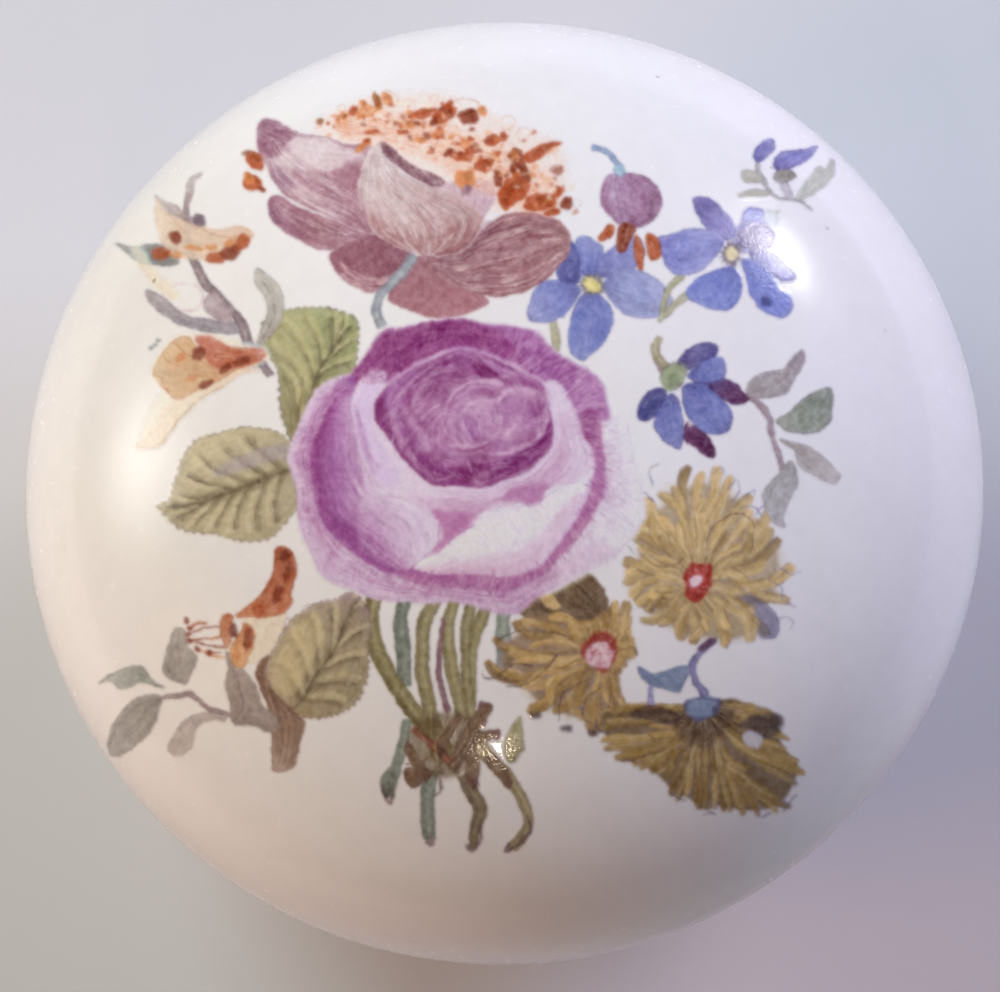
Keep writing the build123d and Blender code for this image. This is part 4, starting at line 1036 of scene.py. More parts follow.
    # front bowl petal
    petal(sh, rng, q(700,748, 610,735, 530,690, 492,640, 520,590, 600,505, 680,470, 760,420, 805,350, 832,292, 872,300, 920,360,
                     946,450, 952,545, 932,612, 862,682, 785,725), 8,
          [(0, col(146,92,94)), (0.2, col(156,104,104)), (0.42, col(188,148,146)), (0.7, col(216,194,192)), (1, col(226,210,208))],
          900, vary=0.12, edge=col(190,150,158), ea=0.4, cross=[(0, 1.1), (0.2, 0.9), (0.5, 1.05), (0.8, 1.0), (0.93, 1.2), (1, 1.0)])
    wash(sh, smooth(q(560,640, 640,640, 760,660, 880,590, 935,560, 900,650, 800,710, 700,740, 600,720), True),
         col(148,94,96), 0.6, 4, 0.45, 5, 6)
    line(sh, q(500,640, 530,700, 600,738, 700,752, 790,728, 870,680, 935,610), 1.5, col(222,196,200), 0.7, rough=0.9, rng=rng)
    line(sh, q(872,300, 922,362, 950,450, 955,550, 935,612), 1.2, col(226,206,208), 0.7, rough=0.9, rng=rng)
    # dark turned rim of the bowl petal
    petal(sh, rng, q(612,465, 640,430, 700,400, 745,362, 795,300, 832,286, 818,340, 775,385, 720,440, 650,475), 5,
          [(0, col(128,86,94)), (0.5, col(144,100,108)), (1, col(106,68,80))], 180, vary=0.14, soft=1.2, alpha=0.9)
    # pale scratches over the face
    n = 260
    c0 = q(420,640)[0] + rng.uniform(0, 1, (n, 1)) * (q(880,270)[0] - q(420,640)[0]) + rng.normal(0, 9, (n, 2))
    d = np.array([0.86, -0.5]) * rng.uniform(-9, 14, (n, 1)) + rng.normal(0, 1.5, (n, 2))
    P = c0[:, None] + d[:, None] * np.linspace(0, 1, 5)[None, :, None]
    cl = mask(smooth(q(200,660, 300,520, 420,420, 620,300, 820,230, 900,260, 800,350, 700,430, 600,520, 560,640, 420,700), True), 2)
    hairs(sh, P, rng.uniform(0.4, 1.0, n), col(230,208,204), rng.uniform(0.3, 0.9, n), clip=cl)
    # stamens: peach ground, long hairs, then rust anthers
    wash(sh, smooth(q(185,650, 195,560, 230,500, 330,420, 430,330, 560,260, 700,200, 820,150, 980,140, 1000,190, 880,260,
                      740,330, 620,400, 540,500, 420,560, 330,640, 260,670), True), col(226,176,152), 0.6, 5, 0.4, 5, 21)
    n = 760
    t = rng.uniform(0, 1, n)
    sp = even(smooth(q(240,600, 380,470, 520,380, 680,280, 850,200, 990,160)), 100)
    c0 = sp[(t * 99).astype(int)] + rng.normal(0, 1, (n, 2)) * np.c_[np.full(n, 7.0), 9 - 4 * t]
    d = np.array([0.90, -0.38]) * rng.uniform(4, 17, (n, 1)) + rng.normal(0, 1.4, (n, 2))
    P = c0[:, None] + d[:, None] * np.linspace(0, 1, 5)[None, :, None]
    which = rng.random(n)
    C = np.where(which[:, None] < 0.34, col(238,216,204), np.where(which[:, None] < 0.7, col(210,124,84), col(178,84,54)))
    hairs(sh, P, rng.uniform(0.4, 1.0, n), C, rng.uniform(0.3, 0.85, n))

    def blob(x, y, rx, ry, c, turn=0.0, a=0.9):
        p = q(x, y)[0]
        spot(sh, rng, p[0], p[1], rx / 4, ry / 4, c, a, 1.0, turn)
        spot(sh, rng, p[0] - rx / 14, p[1] - ry / 14, rx / 8, ry / 8, c * 0.78, 0.55, 0.8, turn)
    for b in ((455,257,40,26,RUST_D,.1), (405,250,14,18,ORANGE,0), (350,352,20,20,RUST,0), (395,350,30,24,RUST,.3), (232,446,74,23,RUST,.05),
              (318,432,30,26,RUST_D,.4), (310,500,42,52,RUST_D,.2), (352,560,58,44,RUST,.3), (255,620,62,36,RUST,-.2),
              (160,650,22,22,RUST_D,0), (215,668,30,14,RUST,0), (405,500,20,38,RUST_D,.1), (380,580,40,38,RUST,.4),
              (448,442,40,22,RUST,.3), (520,400,44,20,RUST,-.4), (475,380,26,16,RUST,.3), (530,478,44,30,ORANGE,.1),
              (555,375,22,14,RUST_D,.3), (548,236,58,26,RUST,.15), (590,250,26,14,RUST_D,.1), (520,212,22,12,RUST,.4),
              (640,212,54,19,RUST,-.1), (750,130,18,26,ORANGE,.3), (790,128,18,32,col(160,96,56),.1), (848,126,16,26,ORANGE,.2),
              (905,130,22,20,RUST,.3), (870,150,26,22,ORANGE,.2), (820,160,40,18,ORANGE,.1), (960,142,30,18,ORANGE,.1), (1030,152,10,8,RUST,0),
              (1062,132,15,18,col(150,96,66),0), (620,350,18,14,col(186,110,82),.4), (855,236,26,10,RUST,-.3), (905,282,36,15,ORANGE,.3),
              (885,262,14,14,RUST,0), (730,262,30,9,RUST,-.3), (660,300,26,10,ORANGE,-.3), (590,300,30,10,RUST,-.4), (480,330,26,10,RUST,-.4),
              (1362,238,34,44,RUST,.6), (1392,208,24,10,col(150,100,76),0), (1382,332,36,36,RUST,.7), (1396,318,16,30,ORANGE,.5),
              (1350,360,16,12,RUST_D,0), (700,240,30,12,ORANGE,-.3), (540,510,26,16,col(150,110,120),.2), (190,600,16,22,RUST,.2)):
        blob(*b[:4], b[4], b[5])
    n = 210
    t = rng.uniform(0, 1, n)
    f = even(smooth(q(190,600, 300,470, 430,380, 560,300, 700,220, 860,165, 1000,150)), 120)
    c0 = f[(t * 119).astype(int)] + rng.normal(0, 1, (n, 2)) * np.c_[np.full(n, 9.0), 13 - 7 * t]
    for k in range(n):
        s_ = rng.uniform(0.8, 3.2) * (1.15 - 0.45 * t[k])
        spot(sh, rng, c0[k, 0], c0[k, 1], s_ * rng.uniform(1, 1.8), s_, [RUST, ORANGE, RUST_D, col(222,170,136), col(238,210,190)][k % 5],
             rng.uniform(0.4, 0.85), 0.9, rng.uniform(-1, 0.6))
    # little rings and loops of unfinished anthers
    for x, y, rx, ry in ((745,130,30,30), (685,168,24,28), (590,180,16,16), (272,362,28,24), (325,305,28,24), (955,112,20,24),
                         (470,230,60,30), (175,525,14,10), (120,660,20,14)):
        p = q(x, y)[0]
        a = np.linspace(0, 2 * np.pi, 9)[:-1]
        line(sh, np.c_[p[0] + rx / 4 * np.cos(a), p[1] + ry / 4 * np.sin(a)], 0.8, col(188,132,100), 0.65, rough=1.0, rng=rng, closed=True)
    # white scratches along the folds of every petal
    def scratch(A, B, n, w, c, alpha, span=(0.06, 0.3), s=(0, 1)):
        ss, t0 = rng.uniform(*s, n), rng.uniform(-0.05, 0.92, n)
        P = rails(smooth(A), smooth(B), ss, np.clip(t0, 0, 1), np.clip(t0 + rng.uniform(*span, n), 0.03, 1))
        P = P + rng.normal(0, 0.5, (n, 1, 2))
        hairs(sh, P, rng.uniform(0.5, 1.3, n) * w, np.clip(c * (1 + rng.normal(0, 0.04, (n, 1))), 0, 1.03), rng.uniform(0.3, 0.95, n) * alpha, (0.3, 0.4))
    A = q(740,760, 640,740, 500,690, 400,650, 300,650, 210,700)
    B = q(720,800, 640,880, 520,945, 400,975, 290,950, 200,880)
    scratch(A, B, 230, 1.6, col(226, 200, 194), 0.75)
    scratch(A, B, 120, 2.6, col(118, 66, 78), 0.42)
    scratch(A, B, 90, 0.9, col(104, 54, 70), 0.7)
    A = q(780,740, 880,790, 960,800, 1040,780, 1110,720)
    B = q(820,790, 880,825, 980,845, 1060,840, 1130,770)
    scratch(A, B, 110, 1.4, col(220, 190, 186), 0.7)
    A = q(960,630, 1020,600, 1110,540, 1200,450, 1270,350, 1310,240)
    B = q(935,560, 950,480, 1010,400, 1090,310, 1180,220, 1240,130)
    scratch(A, B, 170, 1.1, col(228, 208, 210), 0.8)
    scratch(A, B, 90, 1.8, col(132, 80, 96), 0.45)
    A = q(1010,645, 1120,640, 1220,590, 1290,500, 1310,420)
    B = q(1000,625, 1080,570, 1160,500, 1230,440, 1290,400)
    scratch(A, B, 90, 1.0, col(216, 184, 188), 0.7)
    A = q(720,745, 630,710, 560,650, 560,590, 640,520, 760,440, 830,340)
    B = q(780,730, 860,680, 920,600, 935,500, 920,420, 890,350, 860,300)
    scratch(A, B, 230, 1.6, col(236, 224, 220), 0.65, s=(0.1, 0.95))
    scratch(A, B, 110, 1.0, col(150, 98, 104), 0.55, s=(0.0, 0.9))
    for pts in ((505,640, 560,700, 640,735, 720,742), (540,690, 620,745, 700,760), (880,690, 940,610, 955,540)):
        line(sh, q(*pts), 2.4, col(112, 62, 74), 0.5, rough=0.9, rng=rng)
    # hooked stem
    stem(sh, rng, q(800,728, 850,785, 920,828, 985,865, 1015,920, 1010,975, 1000,1015), (10, 10, 9), col(150,150,156), col(96,96,108))
    line(sh, q(985,1000, 1000,975, 1030,990), 1.4, BROWN, 0.7, rough=0.6, rng=rng)
def P4(*v):
    """Points written in quarter units over the rose's corner."""
    a = np.array(v, float).reshape(-1, 2) / 4.0
    return a + (280.0, 300.0)


MAG_D = col(112, 40, 96)       # deepest magenta
MAG = col(138, 62, 124)
MAG_P = col(130, 66, 140)      # cooler purple
MAUVE = col(168, 112, 172)
MAUVE_L = col(192, 150, 194)
LILAC = col(206, 176, 214)
PALE = col(222, 200, 220)
PINKW = col(229, 210, 220)
WHITE = col(231, 222, 228)


def rose(sh, rng):
    out = P4(460,150, 560,90, 700,55, 860,60, 960,90, 1080,160, 1180,180, 1280,240, 1345,330, 1395,440,
             1410,560, 1425,700, 1400,850, 1340,990, 1200,1100, 1040,1160, 900,1190, 700,1228, 520,1200,
             330,1180, 200,1150, 100,1050, 55,900, 52,750, 42,625, 112,592, 115,480, 180,385, 250,300,
             320,210, 400,180)
    O = smooth(out, True)
    whole = mask(O, 1.0)
    # ---- block in, palest first
    wash(sh, O, col(214, 188, 216), 1.0, 1.2)
    # left outer petal, nearly white
    wash(sh, smooth(P4(35,620, 100,590, 165,610, 190,720, 185,860, 220,960, 330,1030, 460,1080, 600,1130,
                       560,1215, 330,1190, 190,1150, 90,1050, 40,900, 45,740), True), WHITE, 0.95, 3)
    wash(sh, smooth(P4(330,1110, 480,1130, 640,1160, 640,1230, 480,1205, 330,1180, 200,1150), True), col(214,176,206), 0.55, 4)
    # bottom outer petals, lilac
    wash(sh, smooth(P4(600,1130, 800,1120, 980,1080, 1130,1000, 1260,900, 1330,760, 1430,700, 1400,870,
                       1330,1000, 1190,1105, 1000,1170, 800,1215, 640,1230), True), col(208,178,216), 0.9, 3)
    wash(sh, smooth(P4(560,1150, 700,1150, 860,1140, 880,1190, 720,1225, 560,1210), True), col(182,132,182), 0.6, 4)
    # right outer rim, pale lavender
    wash(sh, smooth(P4(1110,190, 1240,250, 1330,340, 1390,450, 1420,600, 1420,740, 1380,880, 1320,960,
                       1290,840, 1340,700, 1340,560, 1320,440, 1250,330, 1130,240), True), col(206,172,214), 0.85, 3)
    # upper left, magenta-mauve
    wash(sh, smooth(P4(110,600, 125,480, 190,390, 260,300, 330,215, 420,170, 560,100, 700,190, 560,240,
                       430,310, 360,380, 300,440, 260,560, 230,680, 170,620), True), col(160,94,160), 0.9, 3)
    wash(sh, smooth(P4(120,590, 130,480, 200,400, 250,420, 250,540, 220,650, 160,620), True), col(178,128,178), 0.6, 4)
    wash(sh, smooth(P4(200,400, 260,310, 330,250, 420,240, 370,330, 320,400, 260,470), True), col(132,62,132), 0.55, 4)
    # top dark crescent
    wash(sh, smooth(P4(345,375, 400,300, 470,170, 560,98, 700,60, 860,64, 960,95, 1075,165, 1085,215, 1000,250,
                       900,225, 740,185, 620,200, 500,260, 410,310), True), MAG, 0.95, 2)
    wash(sh, smooth(P4(495,190, 560,110, 700,72, 860,75, 950,110, 1000,200, 900,200, 760,150, 640,165, 540,215), True),
         MAG_D, 0.6, 3, 0.5, 7, 3)
    # big right petal with its dark crescent of shade
    wash(sh, smooth(P4(1080,175, 1180,225, 1280,330, 1340,450, 1350,600, 1330,740, 1270,850, 1180,950, 1080,1040,
                       960,1100, 850,1130, 860,1060, 1000,1020, 1090,940, 1160,840, 1120,640, 1130,480, 1130,340,
                       1085,250), True), col(150,88,158), 0.95, 3)
    wash(sh, smooth(P4(1110,250, 1190,320, 1265,440, 1300,580, 1300,700, 1250,820, 1190,880, 1150,700, 1120,560, 1120,400),
                    True), col(168,116,180), 0.9, 4)
    wash(sh, smooth(P4(1120,210, 1210,290, 1290,390, 1330,520, 1335,650, 1300,760, 1230,860, 1150,950, 1165,880,
                       1235,790, 1275,690, 1285,570, 1250,440, 1180,330, 1105,250), True), MAG, 0.8, 2.6, 0.3, 6, 5)
    wash(sh, smooth(P4(1190,760, 1255,700, 1290,620, 1300,720, 1250,830, 1175,915, 1170,840), True), col(116,40,112), 0.5, 4)
    # ... its pale lobe at the left
    wash(sh, smooth(P4(893,820, 915,770, 970,715, 1060,690, 1130,720, 1180,800, 1190,880, 1130,950, 1030,1015,
                       960,980, 915,920), True), col(222,204,224), 0.95, 2.5)
    wash(sh, smooth(P4(1050,720, 1130,730, 1185,800, 1200,880, 1140,960, 1050,1010, 1080,900, 1080,800), True),
         col(182,134,190), 0.6, 5)
    # shade band under the white lobe, all along the bottom
    wash(sh, smooth(P4(150,600, 185,560, 235,600, 225,690, 235,800, 265,900, 330,1000, 450,1060, 600,1095, 780,1095,
                       930,1070, 1010,1020, 1090,1010, 1040,1075, 930,1125, 780,1150, 600,1140, 450,1105, 320,1060,
                       235,970, 200,860, 180,740), True), col(164,92,150), 0.85, 2.4, 0.3, 5, 8)
    wash(sh, smooth(P4(150,600, 195,560, 240,600, 222,690, 185,650), True), MAG_D, 0.5, 3)
    # ring of pale petal round the heart
    wash(sh, smooth(P4(330,395, 280,440, 240,560, 228,680, 245,790, 300,850, 420,890, 560,900, 700,880, 840,920, 920,900,
                       890,820, 960,730, 1040,690, 1120,560, 1130,430, 1110,320, 1050,200, 970,215, 990,330, 1010,420,
                       960,560, 880,660, 740,740, 560,770, 420,710, 350,620, 330,500), True), PALE, 1.0, 1.6)
    wash(sh, smooth(P4(340,650, 420,740, 560,790, 720,790, 860,740, 960,700, 905,780, 890,880, 800,880, 700,830,
                       560,850, 450,850, 370,800, 330,720), True), col(204,164,200), 0.75, 4)
    wash(sh, smooth(P4(760,830, 850,790, 905,770, 885,860, 925,950, 870,930, 800,890), True), col(176,108,164), 0.8, 3)
    wash(sh, smooth(P4(430,820, 520,800, 640,815, 600,850, 530,880, 470,870), True), col(170,104,160), 0.7, 3)
    # top right bright petal
    wash(sh, smooth(P4(960,215, 1035,195, 1090,290, 1125,400, 1120,470, 1080,580, 1020,650, 990,600, 1030,500, 1045,400,
                       1020,300), True), col(214,188,222), 0.95, 2)
    wash(sh, smooth(P4(1090,290, 1125,400, 1120,470, 1075,590, 1085,470, 1090,380), True), col(184,140,196), 0.6, 2)
    # ---- heart
    core = P4(345,500, 350,410, 400,350, 480,290, 580,235, 700,205, 830,215, 940,245, 1010,300, 1032,380, 1010,450,
              975,540, 900,650, 800,705, 680,740, 545,757, 450,712, 372,645)
    CO = smooth(core, True)
    wash(sh, CO, col(152,90,146), 1.0, 1.6)
    cc = mask(CO, 1.0)
    wash(sh, smooth(P4(335,560, 365,650, 450,725, 545,762, 640,760, 600,700, 500,660, 420,600, 365,540), True), MAG_D, 0.75, 2, clip=cc)
    wash(sh, smooth(P4(640,640, 720,650, 840,620, 940,560, 985,540, 900,660, 800,712, 680,745, 640,720), True), MAG_D, 0.7, 2.5, clip=cc)
    wash(sh, smooth(P4(960,290, 1030,320, 1040,400, 1005,450, 960,400), True), MAG_D, 0.6, 3, clip=cc)
    wash(sh, smooth(P4(505,330, 560,285, 615,272, 600,315, 540,345), True), MAG_D, 0.85, 1.6, clip=cc)
    wash(sh, smooth(P4(700,225, 790,235, 835,290, 835,360, 790,340, 740,270), True), MAG_D, 0.85, 2, clip=cc)
    wash(sh, smooth(P4(870,300, 905,320, 915,400, 890,470, 850,520, 850,440, 880,380), True), MAG_D, 0.6, 2, clip=cc)
    wash(sh, smooth(P4(620,600, 700,590, 770,580, 720,640, 640,650), True), MAG_D, 0.7, 2, clip=cc)
    # left inner petal
    wash(sh, smooth(P4(380,520, 385,440, 450,400, 540,410, 560,480, 540,560, 590,620, 520,630, 430,590), True), col(158,100,158), 0.85, 2.4, clip=cc)
    wash(sh, smooth(P4(560,430, 640,380, 720,400, 770,460, 760,540, 690,580, 600,560, 560,500), True), col(168,116,170), 0.8, 2.4, clip=cc)
    wash(sh, smooth(P4(610,480, 650,465, 690,500, 680,550, 640,560, 610,530), True), MAG_P, 0.8, 2, clip=cc)
    wash(sh, smooth(P4(840,250, 960,260, 980,330, 960,420, 900,540, 880,480, 930,380, 920,300), True), col(160,104,168), 0.6, 3, clip=cc)
    # ---- the lobed white petal at the bottom
    lobe = P4(243,800, 300,840, 345,835, 400,824, 450,850, 480,882, 520,875, 570,850, 620,832, 665,825, 720,842, 765,872,
              830,890, 870,920, 910,960, 1005,1012, 960,1045, 880,1080, 760,1092, 640,1088, 500,1062, 380,1005, 300,920,
              262,850)
    LO = smooth(lobe, True)
    wash(sh, LO, col(230,220,228), 1.0, 0.9)
    lc = mask(LO, 0.8)
    wash(sh, smooth(P4(300,900, 420,960, 600,1010, 800,1030, 1000,1020, 900,1085, 700,1098, 480,1065, 350,1000), True),
         col(222,192,214), 0.75, 4, clip=lc)
    wash(sh, smooth(P4(560,1040, 700,1060, 900,1050, 1010,1015, 900,1090, 700,1102, 560,1080), True), col(208,168,200), 0.5, 3, clip=lc)

    # ---- strokes: every area is dragged along the way its petal grows
    def areas(A, B, n, w, L, vary, alpha, lift=0.0, shear=0.0, s=(0, 1), t=(0, 1), clip=whole, tint=None, share=0.0,
              taper=(0.3, 0.5)):
        tt = rng.uniform(t[0], t[1], n)
        s0 = rng.uniform(s[0], s[1] - 0.02, n)
        s1 = np.clip(s0 + rng.uniform(0.5, 1.2, n) * L, None, s[1] + 0.1)
        flip = rng.random(n) < 0.5
        a, b = np.where(flip, s1, s0), np.where(flip, s0, s1)
        p = across(A, B, tt, a, b, shear + rng.normal(0, 0.01, n))
        brush(sh, p, rng.uniform(0.6, 1.3, n) * w, vary, rng.uniform(0.35, 1, n) * alpha, rng, clip, taper, lift, tint, share)

    # rails running round the rose: outer edge, shade band, ring, core edge
    LEFT_O = P4(112,592, 42,620, 48,760, 50,900, 100,1050, 200,1150, 330,1180, 520,1200, 640,1225)
    LEFT_I = P4(160,600, 165,640, 185,760, 205,870, 240,950, 330,1050, 440,1090, 560,1120, 640,1140)
    areas(smooth(LEFT_I), smooth(LEFT_O), 900, 0.55, 0.7, 0.04, 0.55, 0.0, 0.0)
    areas(smooth(LEFT_I), smooth(LEFT_O), 330, 0.45, 0.5, 0.02, 0.55, 0.0, 0.0, s=(-0.05, 0.55), tint=MAUVE, share=0.5)
    BOT_O = P4(600,1228, 800,1212, 1000,1170, 1190,1105, 1330,1000, 1400,870, 1428,720)
    BOT_I = P4(560,1130, 780,1120, 930,1100, 1060,1040, 1180,940, 1270,830, 1320,720)
    areas(smooth(BOT_I), smooth(BOT_O), 1100, 0.6, 0.6, 0.07, 0.6, 0.02, 0.05)
    areas(smooth(BOT_I), smooth(BOT_O), 420, 0.5, 0.6, 0.03, 0.6, 0.0, 0.05, tint=col(170,120,184), share=0.6, s=(-0.1, 0.8))
    areas(smooth(BOT_I), smooth(BOT_O), 360, 0.5, 0.6, 0.03, 0.7, 0.0, 0.05, tint=col(228,208,228), share=0.7, s=(-0.3, 0.9))
    RIM_O = P4(1100,170, 1180,182, 1280,240, 1345,330, 1395,450, 1412,560, 1428,720, 1400,850)
    RIM_I = P4(1080,240, 1150,270, 1230,350, 1285,450, 1315,560, 1325,680, 1300,780, 1270,850)
    areas(smooth(RIM_I), smooth(RIM_O), 900, 0.6, 0.6, 0.08, 0.6, 0.02, -0.04, s=(-0.25, 1.0))
    areas(smooth(RIM_I), smooth(RIM_O), 300, 0.55, 0.7, 0.03, 0.7, 0.0, -0.04, s=(-0.5, 0.7), tint=MAG, share=0.75)
    areas(smooth(RIM_I), smooth(RIM_O), 260, 0.45, 0.6, 0.03, 0.75, 0.0, -0.04, s=(0.0, 1.0), tint=col(226,206,228), share=0.75)
    BAND_O = P4(180,600, 178,740, 198,870, 235,975, 320,1062, 450,1110, 600,1145, 780,1155, 930,1130, 1040,1080, 1120,1010)
    BAND_I = P4(235,600, 228,700, 240,800, 268,900, 335,1000, 450,1060, 600,1092, 780,1092, 930,1065, 1005,1020, 1080,960)
    areas(smooth(BAND_I), smooth(BAND_O), 700, 0.7, 0.9, 0.12, 0.6, 0.0, 0.0, s=(-0.1, 1.1))
    areas(smooth(BAND_I), smooth(BAND_O), 340, 0.6, 1.2, 0.05, 0.75, 0.0, 0.01, s=(0.0, 1.6), tint=MAG, share=0.65)
    areas(smooth(BAND_I), smooth(BAND_O), 360, 0.5, 1.3, 0.02, 0.7, 0.0, 0.01, s=(0.3, 2.2), tint=col(231,212,224), share=0.75)
    # upper left and top crescent: hairs cross the outer edge
    UL_O = P4(100,600, 112,480, 180,385, 250,300, 320,210, 460,150, 560,90, 700,55, 860,60, 960,90, 1080,160)
    UL_I = P4(250,640, 262,540, 300,445, 360,375, 430,305, 520,250, 610,205, 740,185, 860,205, 960,245, 1040,230)
    areas(smooth(UL_I), smooth(UL_O), 1500, 0.65, 0.45, 0.12, 0.6, 0.02, -0.02, s=(-0.1, 1.0))
    areas(smooth(UL_I), smooth(UL_O), 420, 0.5, 0.4, 0.04, 0.6, 0.0, -0.02, s=(0.1, 1.0), t=(0.0, 0.5), tint=col(214,184,214), share=0.6)
    areas(smooth(UL_I), smooth(UL_O), 420, 0.6, 0.35, 0.04, 0.65, 0.0, -0.02, s=(0.2, 1.0), t=(0.45, 1.0), tint=MAG_D, share=0.6)
    areas(smooth(UL_I), smooth(UL_O), 260, 0.5, 0.3, 0.04, 0.6, 0.0, -0.02, s=(0.0, 0.9), t=(0.3, 1.0), tint=col(186,130,188), share=0.6)
    # strokes round the core follow the swirl
    RING_O = P4(300,420, 240,560, 228,690, 250,800, 330,850, 480,880, 640,860, 780,880, 880,890)
    RING_I = P4(345,420, 335,520, 350,630, 420,715, 540,765, 680,760, 800,725, 900,670, 980,590)
    n = 700
    s = rng.uniform(0, 1, n)
    t0 = rng.uniform(0, 0.9, n)
    p = rails(smooth(RING_O), smooth(RING_I), s, t0, t0 + rng.uniform(0.05, 0.16, n))
    brush(sh, p, rng.uniform(0.5, 1.1, n), 0.07, rng.uniform(0.3, 0.75, n), rng, whole, lift=0.02)
    n = 150
    s = rng.uniform(0.1, 0.95, n)
    t0 = rng.uniform(0.1, 0.85, n)
    p = rails(smooth(RING_O), smooth(RING_I), s, t0, t0 + rng.uniform(0.06, 0.2, n))
    brush(sh, p, rng.uniform(0.4, 0.8, n), 0.04, rng.uniform(0.4, 0.8, n), rng, whole, tint=col(170,110,166), share=0.7)
    # long pale and dark swirl lines in the heart
    def swirl(A, B, n, w, c, alpha, span=(0.1, 0.4), s=(0, 1)):
        ss = rng.uniform(s[0], s[1], n)
        t0 = rng.uniform(-0.05, 1 - span[0], n)
        p = rails(smooth(A), smooth(B), ss, t0, np.minimum(t0 + rng.uniform(*span, n), 1.0))
        k = rng.normal(0, 0.06, (n, 1))
        hairs(sh, p, rng.uniform(0.6, 1.3, n) * w, np.clip(np.asarray(c) * (1 + k), 0, 1.02), rng.uniform(0.4, 1.0, n) * alpha,
              (0.3, 0.4), cc)
    lo, mid, hi = col(118,48,110), col(150,88,150), col(204,164,204)
    # right-hand turns of petal, from the top round to the bottom
    for k, c in enumerate([mid, lo, hi, mid, lo, hi, lo]):
        f = k / 6.0
        A = P4(700 - 60 * f, 300 - 90 * f, 800 + 30 * f, 320 - 70 * f, 850 + 120 * f, 400 - 60 * f,
               840 + 140 * f, 480 + 0 * f, 800 + 100 * f, 560 + 60 * f, 740 + 60 * f, 600 + 90 * f)
        B = A + np.array([[3, -4], [5, -3], [6, 0], [6, 3], [5, 5], [3, 6]])
        swirl(A, B, 55, 0.85, c, 0.75, (0.25, 0.7))
    # left-hand and lower turns
    for k, c in enumerate([hi, mid, lo, mid, hi]):
        f = k / 4.0
        A = P4(430 - 70 * f, 420 + 10 * f, 400 - 55 * f, 500 + 20 * f, 430 - 60 * f, 580 + 50 * f,
               520 - 40 * f, 630 + 90 * f, 600 + 0 * f, 650 + 100 * f)
        B = A + np.array([[-3, 0], [-4, 2], [-3, 4], [-1, 5], [1, 5]])
        swirl(A, B, 45, 0.8, c, 0.7, (0.25, 0.7))
    # fine drag through the whole core, round its centre
    n = 1500
    ang = rng.uniform(0, 2 * np.pi, n)
    rr = np.sqrt(rng.uniform(0.01, 1, n))
    cx, cy = 440.0, 428.0
    a2 = ang[:, None] + np.linspace(0, 1, 7)[None] * rng.uniform(0.12, 0.4, n)[:, None] * np.where(rng.random(n) < .5, 1, -1)[:, None]
    ex = np.where(np.cos(a2) > 0, 95, 78)
    ey = np.where(np.sin(a2) > 0, 58, 82)
    p = np.stack([cx + ex * rr[:, None] * np.cos(a2), cy + ey * rr[:, None] * np.sin(a2)], -1)
    brush(sh, p, rng.uniform(0.5, 1.1, n), 0.10, rng.uniform(0.35, 0.8, n), rng, cc, lift=0.03)
    def edge(pts, w, c, alpha=0.85, rough=0.6):
        line(sh, P4(*pts), w, c, alpha, rough=rough, rng=rng)
    # shading lines in the pale ring
    for pts in ((360,660, 420,730, 500,775, 570,795), (350,720, 400,770, 470,800, 560,815), (330,640, 345,700, 380,750),
                (300,600, 305,700, 330,770), (560,800, 640,815, 720,812), (600,870, 560,862, 500,850)):
        edge(pts, 0.9, col(168,110,160), 0.6, 0.9)
    edge((345,640, 360,690, 410,745, 500,785, 600,800, 720,795), 1.5, col(226,204,220), 0.7)
    # lobe: hairs from upper left to lower right, and its drawn rim
    n = 700
    s = rng.uniform(0, 1, n)
    LT = smooth(P4(250,810, 350,850, 480,900, 600,870, 700,860, 820,910, 960,1000))
    LB = smooth(P4(300,930, 400,1015, 520,1060, 640,1085, 760,1092, 880,1082, 1000,1025))
    t0 = rng.uniform(0, 0.85, n)
    s0 = rng.uniform(0.2, 0.9, n)
    p = across(LT, LB, t0, s0, s0 + rng.uniform(0.15, 0.4, n), 0.25)
    brush(sh, p, rng.uniform(0.35, 0.7, n), 0.03, rng.uniform(0.3, 0.7, n), rng, lc)
    n = 260
    t0 = rng.uniform(0, 0.9, n)
    s0 = rng.uniform(0.45, 0.95, n)
    p = across(LT, LB, t0, s0, s0 + rng.uniform(0.08, 0.3, n), 0.3)
    brush(sh, p, rng.uniform(0.35, 0.6, n), 0.02, rng.uniform(0.4, 0.85, n), rng, lc, tint=col(198,146,184), share=0.65)
    edge((243,800, 300,840, 345,835, 400,824, 450,850, 480,880), 1.1, col(158,106,150), 0.6, 0.8)
    edge((480,882, 520,876, 570,850, 620,832, 665,825, 720,842), 0.9, col(170,116,160), 0.5, 0.8)
    edge((765,872, 830,890, 870,920, 910,960), 1.1, col(150,88,140), 0.6, 0.8)
